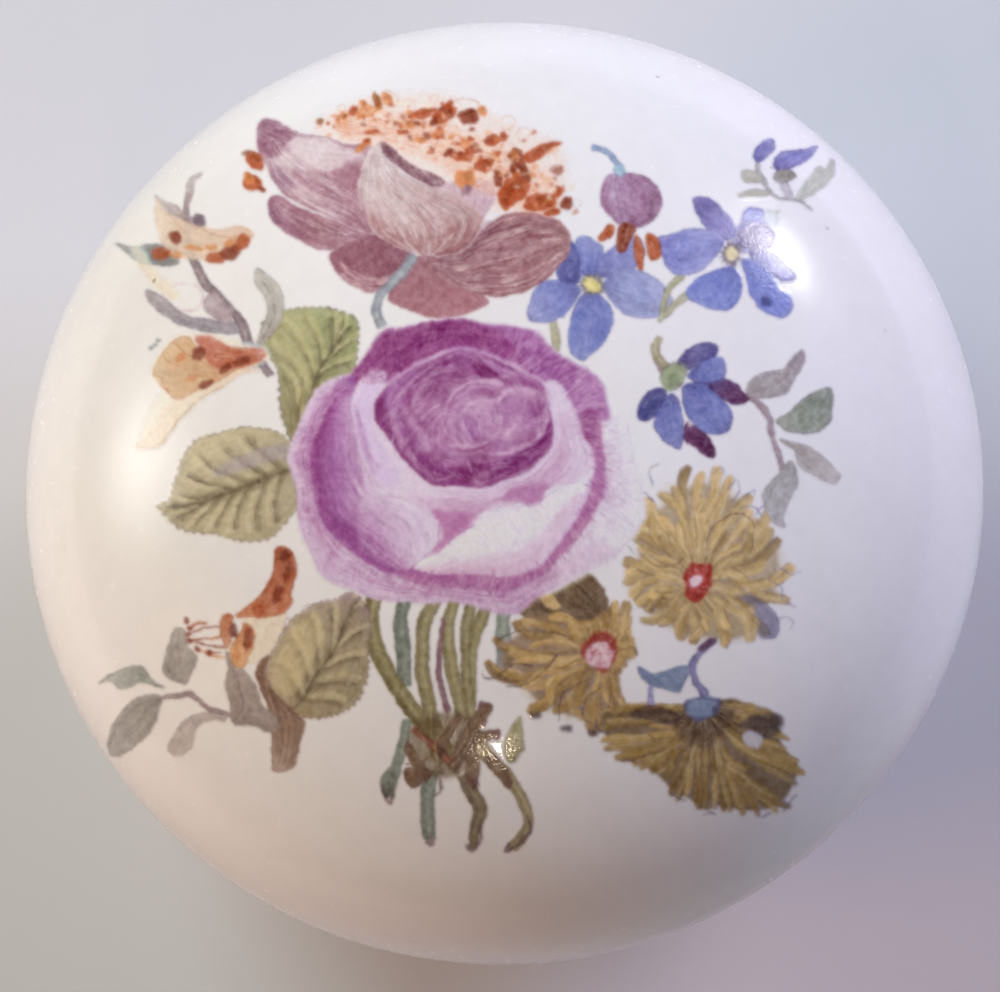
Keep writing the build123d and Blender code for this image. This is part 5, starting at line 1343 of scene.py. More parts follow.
    # right lobe: strokes fall from upper left to lower right
    n = 520
    RA = smooth(P4(895,820, 915,900, 960,985, 1030,1015))
    RB = smooth(P4(1060,680, 1150,740, 1200,820, 1190,900))
    s = rng.uniform(0, 1, n)
    s0 = rng.uniform(0, 0.8, n)
    p = across(RA, RB, s, s0, s0 + rng.uniform(0.2, 0.4, n), 0.0)
    p2 = np.stack([p[..., 0], p[..., 1]], -1)
    ctr = p2[:, 3:4]
    d = np.array([0.48, 0.88])
    q = ctr + (np.linspace(-0.5, 0.5, 7)[None, :, None] * rng.uniform(10, 24, n)[:, None, None]) * d + rng.normal(0, 0.3, (n, 1, 2))
    brush(sh, q, rng.uniform(0.4, 0.8, n), 0.06, rng.uniform(0.35, 0.75, n), rng, whole, lift=0.02)
    q = q[:200]
    brush(sh, q + rng.normal(0, 2, (200, 1, 2)), 0.5, 0.03, rng.uniform(0.3, 0.7, 200), rng, whole, tint=MAUVE, share=0.6)
    edge((893,820, 905,880, 925,940, 975,985, 1020,1012), 1.2, col(176,120,172), 0.6, 0.7)
    edge((893,820, 920,765, 975,715, 1050,692), 1.2, col(228,212,228), 0.7, 0.5)
    # big right petal: long curved drags
    RA = smooth(P4(1110,250, 1130,400, 1120,560, 1130,700, 1180,830, 1150,930))
    RB = smooth(P4(1190,290, 1280,430, 1310,570, 1300,700, 1250,820, 1180,930))
    n = 900
    s = rng.uniform(0, 1, n)
    t0 = rng.uniform(0, 0.85, n)
    p = rails(RA, RB, s, t0, t0 + rng.uniform(0.06, 0.2, n))
    brush(sh, p, rng.uniform(0.5, 1.0, n), 0.09, rng.uniform(0.3, 0.75, n), rng, whole, lift=0.02)
    edge((1045,215, 1095,300, 1128,400, 1122,480, 1080,590, 1030,660, 985,690), 1.5, col(222,200,226), 0.8, 0.6)
    edge((1085,320, 1105,400, 1100,470, 1060,560), 1.2, col(168,112,176), 0.6, 0.7)
    edge((990,470, 1000,520, 960,600, 930,640), 1.4, col(222,198,222), 0.6, 0.7)
    # ---- second pass: dry colour dragged over the block-in
    def strokes(p, w, cols, alpha, clip=whole, jitter=0.04):
        n = len(p)
        c = np.array(cols)[rng.integers(0, len(cols), n)] * (1 + rng.normal(0, jitter, (n, 1)))
        hairs(sh, p, rng.uniform(0.6, 1.4, n) * w, np.clip(c, 0, 1.03), rng.uniform(0.4, 1.0, n) * alpha, (0.3, 0.45), clip)

    def arcs(n, r0, r1, span, cx=440.0, cy=430.0):
        ang = rng.uniform(0, 2 * np.pi, n)
        rr = rng.uniform(r0, r1, n)
        a2 = ang[:, None] + np.linspace(-0.5, 0.5, 9)[None] * rng.uniform(*span, n)[:, None]
        grow = 1 + np.linspace(-0.06, 0.06, 9)[None]
        ex = np.where(np.cos(a2) > 0, 100, 86)
        ey = np.where(np.sin(a2) > 0, 62, 84)
        return np.stack([cx + ex * rr[:, None] * grow * np.cos(a2), cy + ey * rr[:, None] * grow * np.sin(a2)], -1)

    PK, PK2, ROSY = col(206, 168, 200), col(188, 142, 186), col(164, 104, 150)
    strokes(arcs(60, 0.55, 1.0, (0.3, 0.8)), 3.6, [PK2, ROSY, MAG_D, MAG], 0.42, cc)
    strokes(arcs(60, 0.25, 0.5, (0.5, 1.2), 398, 424), 3.0, [PK2, PK, ROSY], 0.42, cc)
    strokes(arcs(60, 0.15, 0.45, (0.5, 1.2), 456, 428), 3.0, [PK2, PK, ROSY, MAG], 0.42, cc)
    strokes(arcs(260, 0.5, 1.0, (0.1, 0.35)), 1.5, [PK, PK2, MAG_D, MAG, ROSY], 0.5, cc)
    strokes(arcs(160, 0.05, 0.5, (0.2, 0.6), 398, 424), 1.3, [PK, PK2, MAG_D, ROSY], 0.5, cc)
    strokes(arcs(160, 0.05, 0.5, (0.2, 0.6), 456, 428), 1.3, [PK, PK2, MAG_D, ROSY], 0.5, cc)
    for x, y, a, b, t in ((418,395,12,7,-.5), (452,377,11,7,.3), (470,388,9,12,.5), (398,455,14,9,.5), (458,470,20,8,-.2), (508,410,8,20,.15),
                          (497,445,12,9,-.5), (380,425,7,12,0), (440,440,7,6,0)):
        spot(sh, rng, x, y, a, b, MAG_D, 0.42, 3.0, t)
    for x, y, a, b, t in ((372,415,13,9,-.4), (396,405,14,6,-.3), (430,405,14,5,-.1), (412,440,16,5,.6), (465,440,10,5,-.6), (455,478,12,6,.1),
                          (425,425,9,5,.2), (352,448,9,14,.2)):
        spot(sh, rng, x, y, a, b, PK, 0.38, 3.0, t)
    def fat(pts, w, c, alpha=0.85, rough=0.6):
        line(sh, P4(*pts), w * 2.1, c, alpha * 0.42, rough=0.9, rng=rng)
        line(sh, P4(*pts), w * 1.25, c, alpha * 0.8, rough=1.2, rng=rng)

    # drawn edges of the inner petals
    hi2 = col(214,180,212)
    fat((348,505, 372,560, 410,600, 470,638, 560,652, 640,640), 1.7, hi2, 0.85)
    fat((372,545, 410,590, 470,628, 545,640), 1.2, col(224,196,218), 0.7)
    fat((398,450, 410,420, 450,402, 500,405, 545,430), 2.2, hi2, 0.75)
    fat((500,365, 560,345, 640,332, 710,350, 750,390, 775,430), 2.4, hi2, 0.85)
    fat((515,382, 580,360, 640,352, 700,372), 1.8, col(196,150,196), 0.8)
    fat((550,490, 560,540, 600,575, 660,588, 720,575, 790,550), 2.0, hi2, 0.85)
    fat((545,440, 600,405, 660,410, 705,450, 712,500), 1.8, hi2, 0.8)
    fat((690,560, 700,520, 722,480), 1.2, hi2, 0.8, 0.3)
    fat((740,500, 735,540, 700,580), 1.0, hi2, 0.7, 0.3)
    fat((505,552, 530,570, 560,585), 1.6, col(226,190,208), 0.8, 0.2)
    fat((635,635, 655,622, 675,612), 1.6, col(222,180,200), 0.8, 0.2)
    fat((720,610, 730,640, 722,680), 1.0, hi2, 0.6, 0.3)
    fat((790,660, 830,668, 860,655), 1.0, hi2, 0.5, 0.3)
    fat((475,370, 480,395, 470,420), 1.2, hi2, 0.5, 0.3)
    fat((360,385, 420,350, 500,305, 560,262), 2.2, col(196,150,198), 0.8)
    fat((455,300, 560,232, 680,200, 800,200, 900,225, 965,260), 2.6, col(196,152,200), 0.75)
    fat((600,250, 680,222, 780,225), 1.6, col(180,128,184), 0.6)
    fat((840,235, 900,260, 935,310, 940,370, 900,460, 862,520), 2.4, col(180,128,186), 0.6)
    fat((930,265, 968,310, 975,380, 950,450), 1.6, col(176,124,182), 0.6)
    fat((780,430, 800,470, 790,510), 2.0, hi2, 0.5)
    fat((640,520, 620,500, 625,480, 645,470), 1.1, hi2, 0.6, 0.3)
    fat((655,560, 680,520, 672,490), 1.0, MAG_D, 0.6, 0.3)
    fat((600,590, 660,600, 720,592), 1.6, MAG_D, 0.7, 0.4)
    fat((735,470, 745,520, 735,560), 1.6, MAG_D, 0.7, 0.4)
    fat((560,440, 580,470, 575,520), 1.2, MAG_P, 0.5, 0.4)
    fat((690,440, 700,480, 690,520), 1.6, MAG_P, 0.6, 0.4)
    fat((885,300, 905,340, 905,400, 880,460), 2.6, col(112,40,98), 0.7, 0.5)
    strokes(arcs(160, 0.6, 1.0, (0.08, 0.3)), 1.0, [col(222, 196, 216), PK, MAG_D, ROSY], 0.5, cc)
    # top and upper left, hairs and broken mauve
    UA, UB = smooth(UL_I), smooth(UL_O)
    n = 460
    tt, s0 = rng.uniform(0.0, 1.0, n), rng.uniform(-0.1, 0.8, n)
    p = across(UA, UB, tt, s0, s0 + rng.uniform(0.15, 0.5, n), -0.03)
    strokes(p, 1.1, [col(200, 152, 196), col(176, 116, 170), MAG, MAG_D], 0.55)
    n = 150
    tt, s0 = rng.uniform(0.0, 0.42, n), rng.uniform(-0.1, 0.7, n)
    p = across(UA, UB, tt, s0, s0 + rng.uniform(0.2, 0.5, n), -0.05)
    strokes(p, 1.8, [col(214, 180, 212), col(196, 148, 194)], 0.5)
    n = 120
    tt, s0 = rng.uniform(0.45, 1.0, n), rng.uniform(0.0, 0.9, n)
    p = rails(UA, UB, s0, np.clip(tt, 0, 1), np.clip(tt + 0.07, 0, 1))
    strokes(p, 2.4, [col(190, 134, 178), col(168, 96, 144), MAG_D], 0.42)
    # the big right petal and its pale lobe, one sweep of long strokes, white to purple
    RA = smooth(P4(1095,250, 1122,340, 1128,440, 1110,540, 1050,640, 970,715, 912,775, 893,835, 912,915, 970,985, 1035,1012))
    RB = smooth(P4(1150,215, 1245,310, 1310,430, 1340,560, 1335,690, 1290,800, 1240,870, 1190,930, 1130,985, 1080,1020, 1060,1030))
    stops = np.array([col(222, 204, 222), col(206, 176, 210), col(184, 136, 188), col(160, 96, 160), col(132, 62, 124), col(160, 100, 164)])
    for n, w, al, sp in ((170, 4.2, 0.42, (0.12, 0.3)), (760, 1.5, 0.62, (0.08, 0.24)), (620, 0.9, 0.75, (0.06, 0.2))):
        s, t0 = rng.uniform(0, 1, n), rng.uniform(-0.05, 0.92, n)
        t1 = np.clip(t0 + rng.uniform(*sp, n), 0.04, 1)
        t0 = np.clip(t0, 0, 1)
        m = ((t0 + t1) / 2)
        q = np.clip(s + rng.normal(0, 0.10, n), 0, 1)
        q = np.where(m < 0.45, 0.30 + 0.62 * q, q * (1.0 - 0.15 * (m > 0.8)))
        c = np.stack([np.interp(q, [0, .25, .5, .7, .88, 1], stops[:, i]) for i in range(3)], -1) * (1 + rng.normal(0, 0.06, (n, 1)))
        hairs(sh, rails(RA, RB, s, t0, t1), rng.uniform(0.6, 1.4, n) * w, np.clip(c, 0, 1.03), rng.uniform(0.4, 1, n) * al, (0.3, 0.45), whole)
    line(sh, P4(893,820, 905,880, 925,940, 975,985, 1020,1012), 1.2, col(176,120,172), 0.6, rough=0.7, rng=rng)
    line(sh, P4(893,820, 920,765, 975,715, 1050,672), 1.2, col(196,150,190), 0.6, rough=0.7, rng=rng)
    # rim and bottom petals: strokes run along the outline
    OA = smooth(P4(1090,215, 1200,285, 1290,400, 1330,540, 1335,680, 1300,800, 1220,910, 1090,1040, 930,1120, 780,1150, 600,1140, 440,1105))
    OB = smooth(P4(1130,170, 1275,240, 1392,440, 1415,560, 1425,710, 1395,860, 1335,990, 1190,1105, 1000,1168, 800,1212, 600,1215, 430,1195))
    n = 900
    s, t0 = rng.uniform(0, 1, n), rng.uniform(0, 0.95, n)
    p = rails(OA, OB, s, t0, np.clip(t0 + rng.uniform(0.03, 0.12, n), 0, 1))
    strokes(p, 1.5, [col(226, 206, 226), col(214, 186, 216), col(196, 156, 200), col(178, 126, 180), col(222, 200, 216)], 0.55)
    n = 420
    s, t0 = rng.uniform(-0.15, 0.6, n), rng.uniform(0, 0.95, n)
    p = rails(OA, OB, s, t0, np.clip(t0 + rng.uniform(0.02, 0.08, n), 0, 1))
    strokes(p, 1.2, [MAG, col(160, 96, 160), col(182, 128, 180)], 0.5)
    n = 380
    s0, t0 = rng.uniform(-0.2, 0.8, n), rng.uniform(0, 1, n)
    p = across(OA, OB, t0, s0, s0 + rng.uniform(0.2, 0.55, n), 0.04)
    strokes(p, 0.9, [col(230, 212, 228), col(206, 168, 206), col(170, 110, 166)], 0.6)
    # the shade band is broken by pale hairs from both sides
    BA, BB = smooth(BAND_I), smooth(BAND_O)
    n = 420
    t0, s0 = rng.uniform(0, 1, n), rng.uniform(-0.5, 0.9, n)
    p = across(BA, BB, t0, s0, s0 + rng.uniform(0.35, 0.9, n), 0.02)
    strokes(p, 1.0, [col(222, 192, 212), col(204, 156, 190), col(186, 126, 168), MAG], 0.6)
    n = 300
    t0, s0 = rng.uniform(0, 1, n), rng.uniform(0.6, 2.2, n)
    p = across(BA, BB, t0, s0, s0 + rng.uniform(0.3, 1.1, n), 0.02)
    strokes(p, 0.8, [col(196, 140, 176), col(176, 112, 160), col(214, 182, 204)], 0.55)
    # pink hairs on the left outer petal
    n = 240
    LA, LB_ = smooth(LEFT_I), smooth(LEFT_O)
    t0, s0 = rng.uniform(0, 1, n), rng.uniform(-0.1, 0.6, n)
    strokes(across(LA, LB_, t0, s0, s0 + rng.uniform(0.2, 0.5, n), 0.01), 0.8, [col(212, 172, 198), col(222, 198, 214), col(190, 140, 176)], 0.5)
    # fuzzy edge all round: short hairs across the outline
    OC = smooth(out, True)
    n = 1500
    i = rng.integers(0, len(OC), n)
    nx = np.roll(OC, -3, 0) - np.roll(OC, 3, 0)
    nx /= np.hypot(*nx.T)[:, None]
    nor = np.c_[nx[:, 1], -nx[:, 0]]
    a0 = OC[i] - nor[i] * rng.uniform(3, 9, n)[:, None]
    a1 = OC[i] + nor[i] * rng.uniform(-0.5, 2.6, n)[:, None] + nx[i] * rng.normal(0, 1.2, n)[:, None]
    p = a0[:, None] + (a1 - a0)[:, None] * np.linspace(0, 1, 5)[None, :, None]
    c = pick(sh, a0[:, 0], a0[:, 1]) * (1 - rng.uniform(0, 0.12, n))[:, None]
    hairs(sh, p, rng.uniform(0.35, 0.75, n), c, rng.uniform(0.35, 0.9, n), (0.2, 0.7))
    # grey-violet contour where the rose meets the ground, at the right
    line(sh, P4(1290,250, 1345,330), 0.8, col(180,160,190), 0.6, rough=0.6, rng=rng)
    line(sh, P4(1395,450, 1412,560, 1428,720, 1400,860, 1340,990), 1.0, col(176,150,186), 0.55, rough=0.8, rng=rng)
    line(sh, P4(45,640, 52,760, 50,900, 100,1050, 200,1150), 0.8, col(206,160,180), 0.5, rough=0.8, rng=rng)
    # the heart settles lighter between its strokes
    wash(sh, smooth(P4(400,470, 470,380, 600,320, 740,300, 860,330, 930,400, 900,500, 820,600, 690,660, 560,650, 450,590), True),
         col(206,168,202), 0.34, 6, 0.55, 7, 41)
    wash(sh, smooth(P4(860,260, 960,300, 1000,380, 960,480, 900,560, 880,470, 900,380), True), col(196,150,196), 0.25, 5, 0.5, 6, 43)
    areas(smooth(P4(262,850, 300,920, 380,1005, 500,1062, 640,1088, 760,1092, 880,1080, 960,1045)),
          smooth(P4(300,840, 400,824, 480,882, 570,850, 665,825, 765,872, 870,920, 960,1000)), 300, 0.5, 0.5, 0.03, 0.6, 0.0, 0.03,
          tint=col(206, 158, 194), share=0.5)
    areas(smooth(P4(250,690, 250,790, 300,850, 420,890, 560,905, 700,885, 840,915)),
          smooth(P4(330,560, 350,640, 420,725, 545,775, 680,765, 800,730, 900,690)), 260, 0.5, 0.5, 0.03, 0.6, 0.0, 0.05,
          tint=col(190, 132, 184), share=0.5)
# each piece of the painted bouquet, the lowest layer first: its name, its drawing, the tone of its
# colours, how mottled they are, and its place: flipped or not, turned by degrees, sized, moved, bent
BOUQUET = [("stems", stems, (1.02, 1.0, .94), .11, (1, 5, .98, 1.0, 6, 2, 6)),
           ("leaf_one", leaf_one, (1.04, .98, 1.0), .08, (1, 20, 1.06, .98, -6, 4, 7)),
           ("leaf_two", leaf_two, (1.08, 1.03, 1.14), .08, (1, 168, 1.02, 1.0, 0, 6, 7)),
           ("leaf_three", leaf_three, (1.12, 1.06, 1.14), .08, (1, 42, .98, .98, -14, -2, 7)),
           ("sprig_low", sprig_low, (1.05, .98, 1.03), .10, (1, 190, 1.0, 1.0, 2, 0, 7)),
           ("sprig_up", sprig_up, (1.08, .98, .94), .13, (1, -50, 1.0, .98, 0, 2, 7)),
           ("bell_up", bell_up, (.98, 1.05, 1.10), .08, (1, 196, 1.05, 1.1, 0, 0, 6)),
           ("bell_mid", bell_mid, (.98, 1.05, 1.12), .10, (1, 174, 1.0, 1.0, 0, -4, 7)),
           ("bell_low", bell_low, (1.01, 1.12, 1.25), .12, (1, 80, 1.0, 1.0, 2, 0, 6)),
           ("yellow_two", yellow_two, (.98, .95, 1.10), .09, (1, 16, 1.0, 1.0, -18, 2, 7)),
           ("yellow_one", yellow_one, (1.03, 1.03, 1.24), .08, (1, 115, 1.0, 1.0, 0, 0, 8)),
           ("yellow_three", yellow_three, (.95, .95, 1.12), .10, (1, -7, 1.0, .98, 2, -5, 8)),
           ("sprig_right", sprig_right, (1.10, 1.02, 1.12), .13, (1, 198, .98, .96, -4, 10, 7)),
           ("sprig_blue", sprig_blue, (1.11, 1.07, 1.04), .12, (1, 8, 1.0, 1.0, 2, 2, 5)),
           ("blue_one", blue_one, (1.06, 1.01, .97), .10, (1, 32, 1.0, 1.0, 14, 4, 6)),
           ("blue_two", blue_two, (1.08, 1.03, 1.0), .10, (1, 92, 1.0, 1.0, 4, 0, 6)),
           ("blue_three", blue_three, (1.04, .98, .93), .12, (1, -76, 1.0, 1.0, -4, 2, 6)),
           ("bud", bud, (.99, 1.08, 1.14), .14, (0, 16, .97, 1.03, 4, 2, 4)),
           ("poppy", poppy, (1.02, 1.02, 1.03), .11, (1, -13, .98, 1.0, -12, 8, 9)),
           ("rose", rose, (1.02, 1.01, .97), .09, (1, -14, 1.0, 1.0, 0, 2, 10))]


def settle(sh, layer, k, place):
    """Lays one drawn piece on the sheet: flipped, turned, sized, moved and bent to its place."""
    flip, turn, sx, sy, dx, dy, bend = place
    rows, cols = np.nonzero(layer.cov.max(1) > 0.01)[0], np.nonzero(layer.cov.max(0) > 0.01)[0]
    x0, x1, y0, y1 = cols[0] / SH, cols[-1] / SH, rows[0] / SH, rows[-1] / SH
    cx, cy = (x0 + x1) / 2, (y0 + y1) / 2
    ca, sa = math.cos(math.radians(turn)), math.sin(math.radians(turn))
    hw, hh = (x1 - x0) / 2 * sx, (y1 - y0) / 2 * sy
    rx, ry = hw * abs(ca) + hh * abs(sa) + bend + 4, hw * abs(sa) + hh * abs(ca) + bend + 4
    X0, X1 = max(0, int((cx + dx - rx) * SH)), min(layer.cov.shape[1], int((cx + dx + rx) * SH))
    Y0, Y1 = max(0, int((cy + dy - ry) * SH)), min(layer.cov.shape[0], int((cy + dy + ry) * SH))
    y, x = (np.mgrid[Y0:Y1, X0:X1] + 0.5) / SH
    u = x - cx - dx + bend * (2 * noise(x, y, 74.0, 500 + k) - 1) + 0.35 * bend * (2 * noise(x, y, 27.0, 540 + k) - 1)
    v = y - cy - dy + bend * (2 * noise(x, y, 74.0, 580 + k) - 1) + 0.35 * bend * (2 * noise(x, y, 27.0, 620 + k) - 1)
    a, b = (ca * u + sa * v) / sx, (-sa * u + ca * v) / sy
    a = -a if flip else a
    fx = np.clip((a + cx) * SH - 0.5, 0, layer.cov.shape[1] - 2)
    fy = np.clip((b + cy) * SH - 0.5, 0, layer.cov.shape[0] - 2)
    j, i = fx.astype(int), fy.astype(int)
    p, q = (fx - j).astype(np.float32), (fy - i).astype(np.float32)

    def take(m):
        f, g = (p[..., None], q[..., None]) if m.ndim == 3 else (p, q)
        return (m[i, j] * (1 - f) + m[i, j + 1] * f) * (1 - g) + (m[i + 1, j] * (1 - f) + m[i + 1, j + 1] * f) * g

    T, C = take(layer.rgb), take(layer.cov)
    sh.rgb[Y0:Y1, X0:X1] = T + (1 - C)[..., None] * (sh.rgb[Y0:Y1, X0:X1] - 1)
    sh.cov[Y0:Y1, X0:X1] = 1 - (1 - C) * (1 - sh.cov[Y0:Y1, X0:X1])
    sh.own[Y0:Y1, X0:X1][C > 0.12] = k


def paint():
    """The whole bouquet on one sheet."""
    sh = Sheet()
    for k, (name, draw, tone, mottle, place) in enumerate(BOUQUET, 1):
        layer = Sheet()
        layer.who = k
        draw(layer, np.random.default_rng(10 + k))
        settle(sh, layer, k, place)
    finish_paint(sh)
    return sh


def finish_paint(sh):
    """Firing: tones settle, the colour breaks over the glaze and its edges wander and soften."""
    n, m = sh.cov.shape
    y, x = np.mgrid[0:n, 0:m].astype(np.float32) / SH
    # strokes wander a little
    dx = (noise(x, y, 6.0, 301) - 0.5) * 1.5 + (noise(x, y, 2.2, 302) - 0.5) * 0.9
    dy = (noise(x, y, 6.0, 303) - 0.5) * 1.5 + (noise(x, y, 2.2, 304) - 0.5) * 0.9
    fx = np.clip((x + dx) * SH, 0, m - 2)
    fy = np.clip((y + dy) * SH, 0, n - 2)
    j, i = fx.astype(int), fy.astype(int)
    u, v = fx - j, fy - i

    def take(a):
        if a.ndim == 3:
            return (a[i, j] * (1 - u)[..., None] + a[i, j + 1] * u[..., None]) * (1 - v)[..., None] \
                + (a[i + 1, j] * (1 - u)[..., None] + a[i + 1, j + 1] * u[..., None]) * v[..., None]
        return (a[i, j] * (1 - u) + a[i, j + 1] * u) * (1 - v) + (a[i + 1, j] * (1 - u) + a[i + 1, j + 1] * u) * v

    rgb, cov = take(sh.rgb), take(sh.cov)
    own = sh.own[i, j]
    gain = np.ones((len(BOUQUET) + 1, 3), np.float32)
    amp = np.zeros(len(BOUQUET) + 1, np.float32)
    for k, (_, _, g, s, _) in enumerate(BOUQUET, 1):
        gain[k], amp[k] = g, s
    c = np.clip(cov, 0, 1)[..., None]
    # the tone turns the colours, and leaves what is nearly bare as it is
    inked = np.clip((1 - rgb.min(-1, keepdims=True)) * 4.0 - 0.25, 0, 1)
    rgb = rgb * (1 + (gain[own] - 1) * c * inked)
    # broken, stippled cover
    g = (noise(x, y, 5.0, 311) - 0.5) * 0.8 + (noise(x, y, 2.1, 312) - 0.5) * 1.0 + (noise(x, y, 1.1, 313) - 0.5) * 0.7
    g = (g * 1.5 * amp[own])[..., None] * c
    ink = 1 - rgb
    rgb = np.clip(rgb - g * (0.35 + ink) * 0.9, 0, 1.03)
    k = 3
    for ch in range(3):
        rgb[..., ch] = rgb[..., ch] * 0.35 + blur(rgb[..., ch], k) * 0.65
    sh.rgb, sh.cov, sh.own = rgb, blur(cov, 1), own

# ------------------------------------------------------------------ geometry
LID_R, LID_RISE, WIDEST_Z, LID_WALL = 50.0, 27.0, 46.0, 3.4


def bez(p0, p1, p2, p3, n):
    t = np.linspace(0, 1, n)[:, None]
    p0, p1, p2, p3 = (np.array(p, float) for p in (p0, p1, p2, p3))
    return (1 - t) ** 3 * p0 + 3 * (1 - t) ** 2 * t * p1 + 3 * (1 - t) * t ** 2 * p2 + t ** 3 * p3


def chain(*parts):
    """Profile pieces joined end to end, doubled points dropped."""
    out = []
    for part in parts:
        for p in np.atleast_2d(part):
            if not out or np.hypot(*(np.array(out[-1]) - p)) > 1e-6:
                out.append(tuple(p))
    return out


def lathe(name, profile, segs=256, smooth=True):
    """A body of revolution from an (r, z) profile in mm, top to bottom on the outside, poles at r = 0."""
    verts, rings = [], []
    a = np.arange(segs) * 2 * np.pi / segs
    for r, z in profile:
        if r < 1e-6:
            rings.append([len(verts)])
            verts.append((0, 0, z * MM))
        else:
            rings.append(list(range(len(verts), len(verts) + segs)))
            verts.extend(zip(r * MM * np.cos(a), r * MM * np.sin(a), [z * MM] * segs))
    faces = []
    for k in range(len(rings) - 1):
        A, B = rings[k], rings[k + 1]
        for i in range(segs):
            j = (i + 1) % segs
            if len(A) == 1:
                faces.append((A[0], B[i], B[j]))
            elif len(B) == 1:
                faces.append((A[i], B[0], A[j]))
            else:
                faces.append((A[i], B[i], B[j], A[j]))
    return solid(name, verts, faces, smooth)


def solid(name, verts, faces, smooth=True):
    me = bpy.data.meshes.new(name)
    me.from_pydata([tuple(v) for v in verts], [], faces)
    me.update()
    ob = bpy.data.objects.new(name, me)
    bpy.context.scene.collection.objects.link(ob)
    if smooth:
        me.polygons.foreach_set("use_smooth", np.ones(len(me.polygons), bool))
    bm = bmesh.new()
    bm.from_mesh(me)
    bmesh.ops.recalc_face_normals(bm, faces=bm.faces)
    bm.to_mesh(me)
    bm.free()
    return ob


def mesh_fast(name, co, quads):
    """A quad mesh from arrays."""
    me = bpy.data.meshes.new(name)
    me.vertices.add(len(co))
    me.vertices.foreach_set("co", co.astype(np.float32).ravel())
    me.loops.add(quads.size)
    me.loops.foreach_set("vertex_index", quads.astype(np.int32).ravel())
    me.polygons.add(len(quads))
    me.polygons.foreach_set("loop_start", np.arange(len(quads), dtype=np.int32) * 4)
    me.polygons.foreach_set("use_smooth", np.ones(len(quads), bool))
    me.update(calc_edges=True)
    me.validate()
    ob = bpy.data.objects.new(name, me)
    bpy.context.scene.collection.objects.link(ob)
    return ob


# --------------------------------------------------------------- node helpers
class Nodes:
    """A small writer for node trees."""

    def __init__(self, name):
        self.mat = bpy.data.materials.new(name)
        self.mat.use_nodes = True
        self.t = self.mat.node_tree
        self.t.nodes.clear()
        self.out = self.t.nodes.new("ShaderNodeOutputMaterial")
        self.bsdf = self.t.nodes.new("ShaderNodeBsdfPrincipled")
        self.link(self.bsdf.outputs[0], self.out.inputs["Surface"])

    def link(self, a, b):
        self.t.links.new(a, b)

    def set(self, **k):
        for n, v in k.items():
            self.bsdf.inputs[n.replace("_", " ")].default_value = v

    def node(self, kind, **k):
        n = self.t.nodes.new(kind)
        for a, v in k.items():
            setattr(n, a, v)
        return n

    def put(self, n, **k):
        for a, v in k.items():
            s = n.inputs[a.replace("_", " ")] if not a.startswith("i") or not a[1:].isdigit() else n.inputs[int(a[1:])]
            if hasattr(v, "is_output"):
                self.link(v, s)
            else:
                s.default_value = v
        return n

    def coords(self):
        return self.node("ShaderNodeTexCoord").outputs["Object"]

    def noise(self, scale, detail=2.0, rough=0.5, vec=None, distortion=0.0):
        n = self.node("ShaderNodeTexNoise")
        self.put(n, Scale=scale, Detail=detail, Roughness=rough, Distortion=distortion)
        self.link(vec or self.coords(), n.inputs["Vector"])
        return n.outputs["Fac"]

    def ramp(self, fac, stops):
        n = self.node("ShaderNodeValToRGB")
        e = n.color_ramp.elements
        while len(e) > 1:
            e.remove(e[-1])
        for k, (p, c) in enumerate(stops):
            x = e[0] if k == 0 else e.new(p)
            x.position = p
            x.color = (*c, 1) if hasattr(c, "__len__") else (c, c, c, 1)
        self.link(fac, n.inputs[0])
        return n.outputs[0]

    def mix(self, fac, a, b, mode="MIX"):
        n = self.node("ShaderNodeMix", data_type="RGBA", blend_type=mode)
        for s, v in ((n.inputs[0], fac), (n.inputs[6], a), (n.inputs[7], b)):
            if hasattr(v, "is_output"):
                self.link(v, s)
            elif hasattr(v, "__len__"):
                s.default_value = (*v, 1)
            else:
                s.default_value = v
        return n.outputs[2]

    def math(self, op, a, b=0.0, clamp=False):
        n = self.node("ShaderNodeMath", operation=op, use_clamp=clamp)
        for s, v in ((n.inputs[0], a), (n.inputs[1], b)):
            if hasattr(v, "is_output"):
                self.link(v, s)
            else:
                s.default_value = v
        return n.outputs[0]

    def bump(self, height, strength, distance, normal=None):
        n = self.node("ShaderNodeBump")
        self.put(n, Strength=strength, Distance=distance)
        self.link(height, n.inputs["Height"])
        if normal is not None:
            self.link(normal, n.inputs["Normal"])
        return n.outputs[0]


def lin(*c):
    """A screen colour, 0 to 255, as linear light."""
    c = np.array(c, float) / 255
    return tuple(np.where(c <= 0.04045, c / 12.92, ((c + 0.055) / 1.055) ** 2.4))


# ------------------------------------------------------------------ porcelain
def glaze_colour(N):
    """Milky white with faint cloudy warmth and cold, and a sprinkling of kiln specks."""
    v = N.coords()
    cloud = N.noise(34.0, 3.0, 0.55, v)
    tone = N.ramp(cloud, [(0.30, lin(236, 230, 224)), (0.55, lin(240, 234, 230)), (0.75, lin(241, 236, 235))])
    fine = N.noise(420.0, 3.0, 0.6, v)
    tone = N.mix(1.0, tone, N.ramp(fine, [(0.30, 0.972), (0.62, 1.0)]), "MULTIPLY")
    vor = N.node("ShaderNodeTexVoronoi", feature="F1")
    N.put(vor, Scale=175.0, Randomness=1.0)
    N.link(v, vor.inputs["Vector"])
    dot = N.ramp(vor.outputs["Distance"], [(0.030, 1.0), (0.060, 0.0)])
    gate = N.node("ShaderNodeSeparateColor")
    N.link(vor.outputs["Color"], gate.inputs[0])
    some = N.ramp(gate.outputs[0], [(0.90, 0.0), (0.93, 1.0)])
    speck = N.math("MULTIPLY", dot, some)
    speck = N.math("MULTIPLY", speck, 0.55)
    return N.mix(speck, tone, lin(150, 128, 108)), v


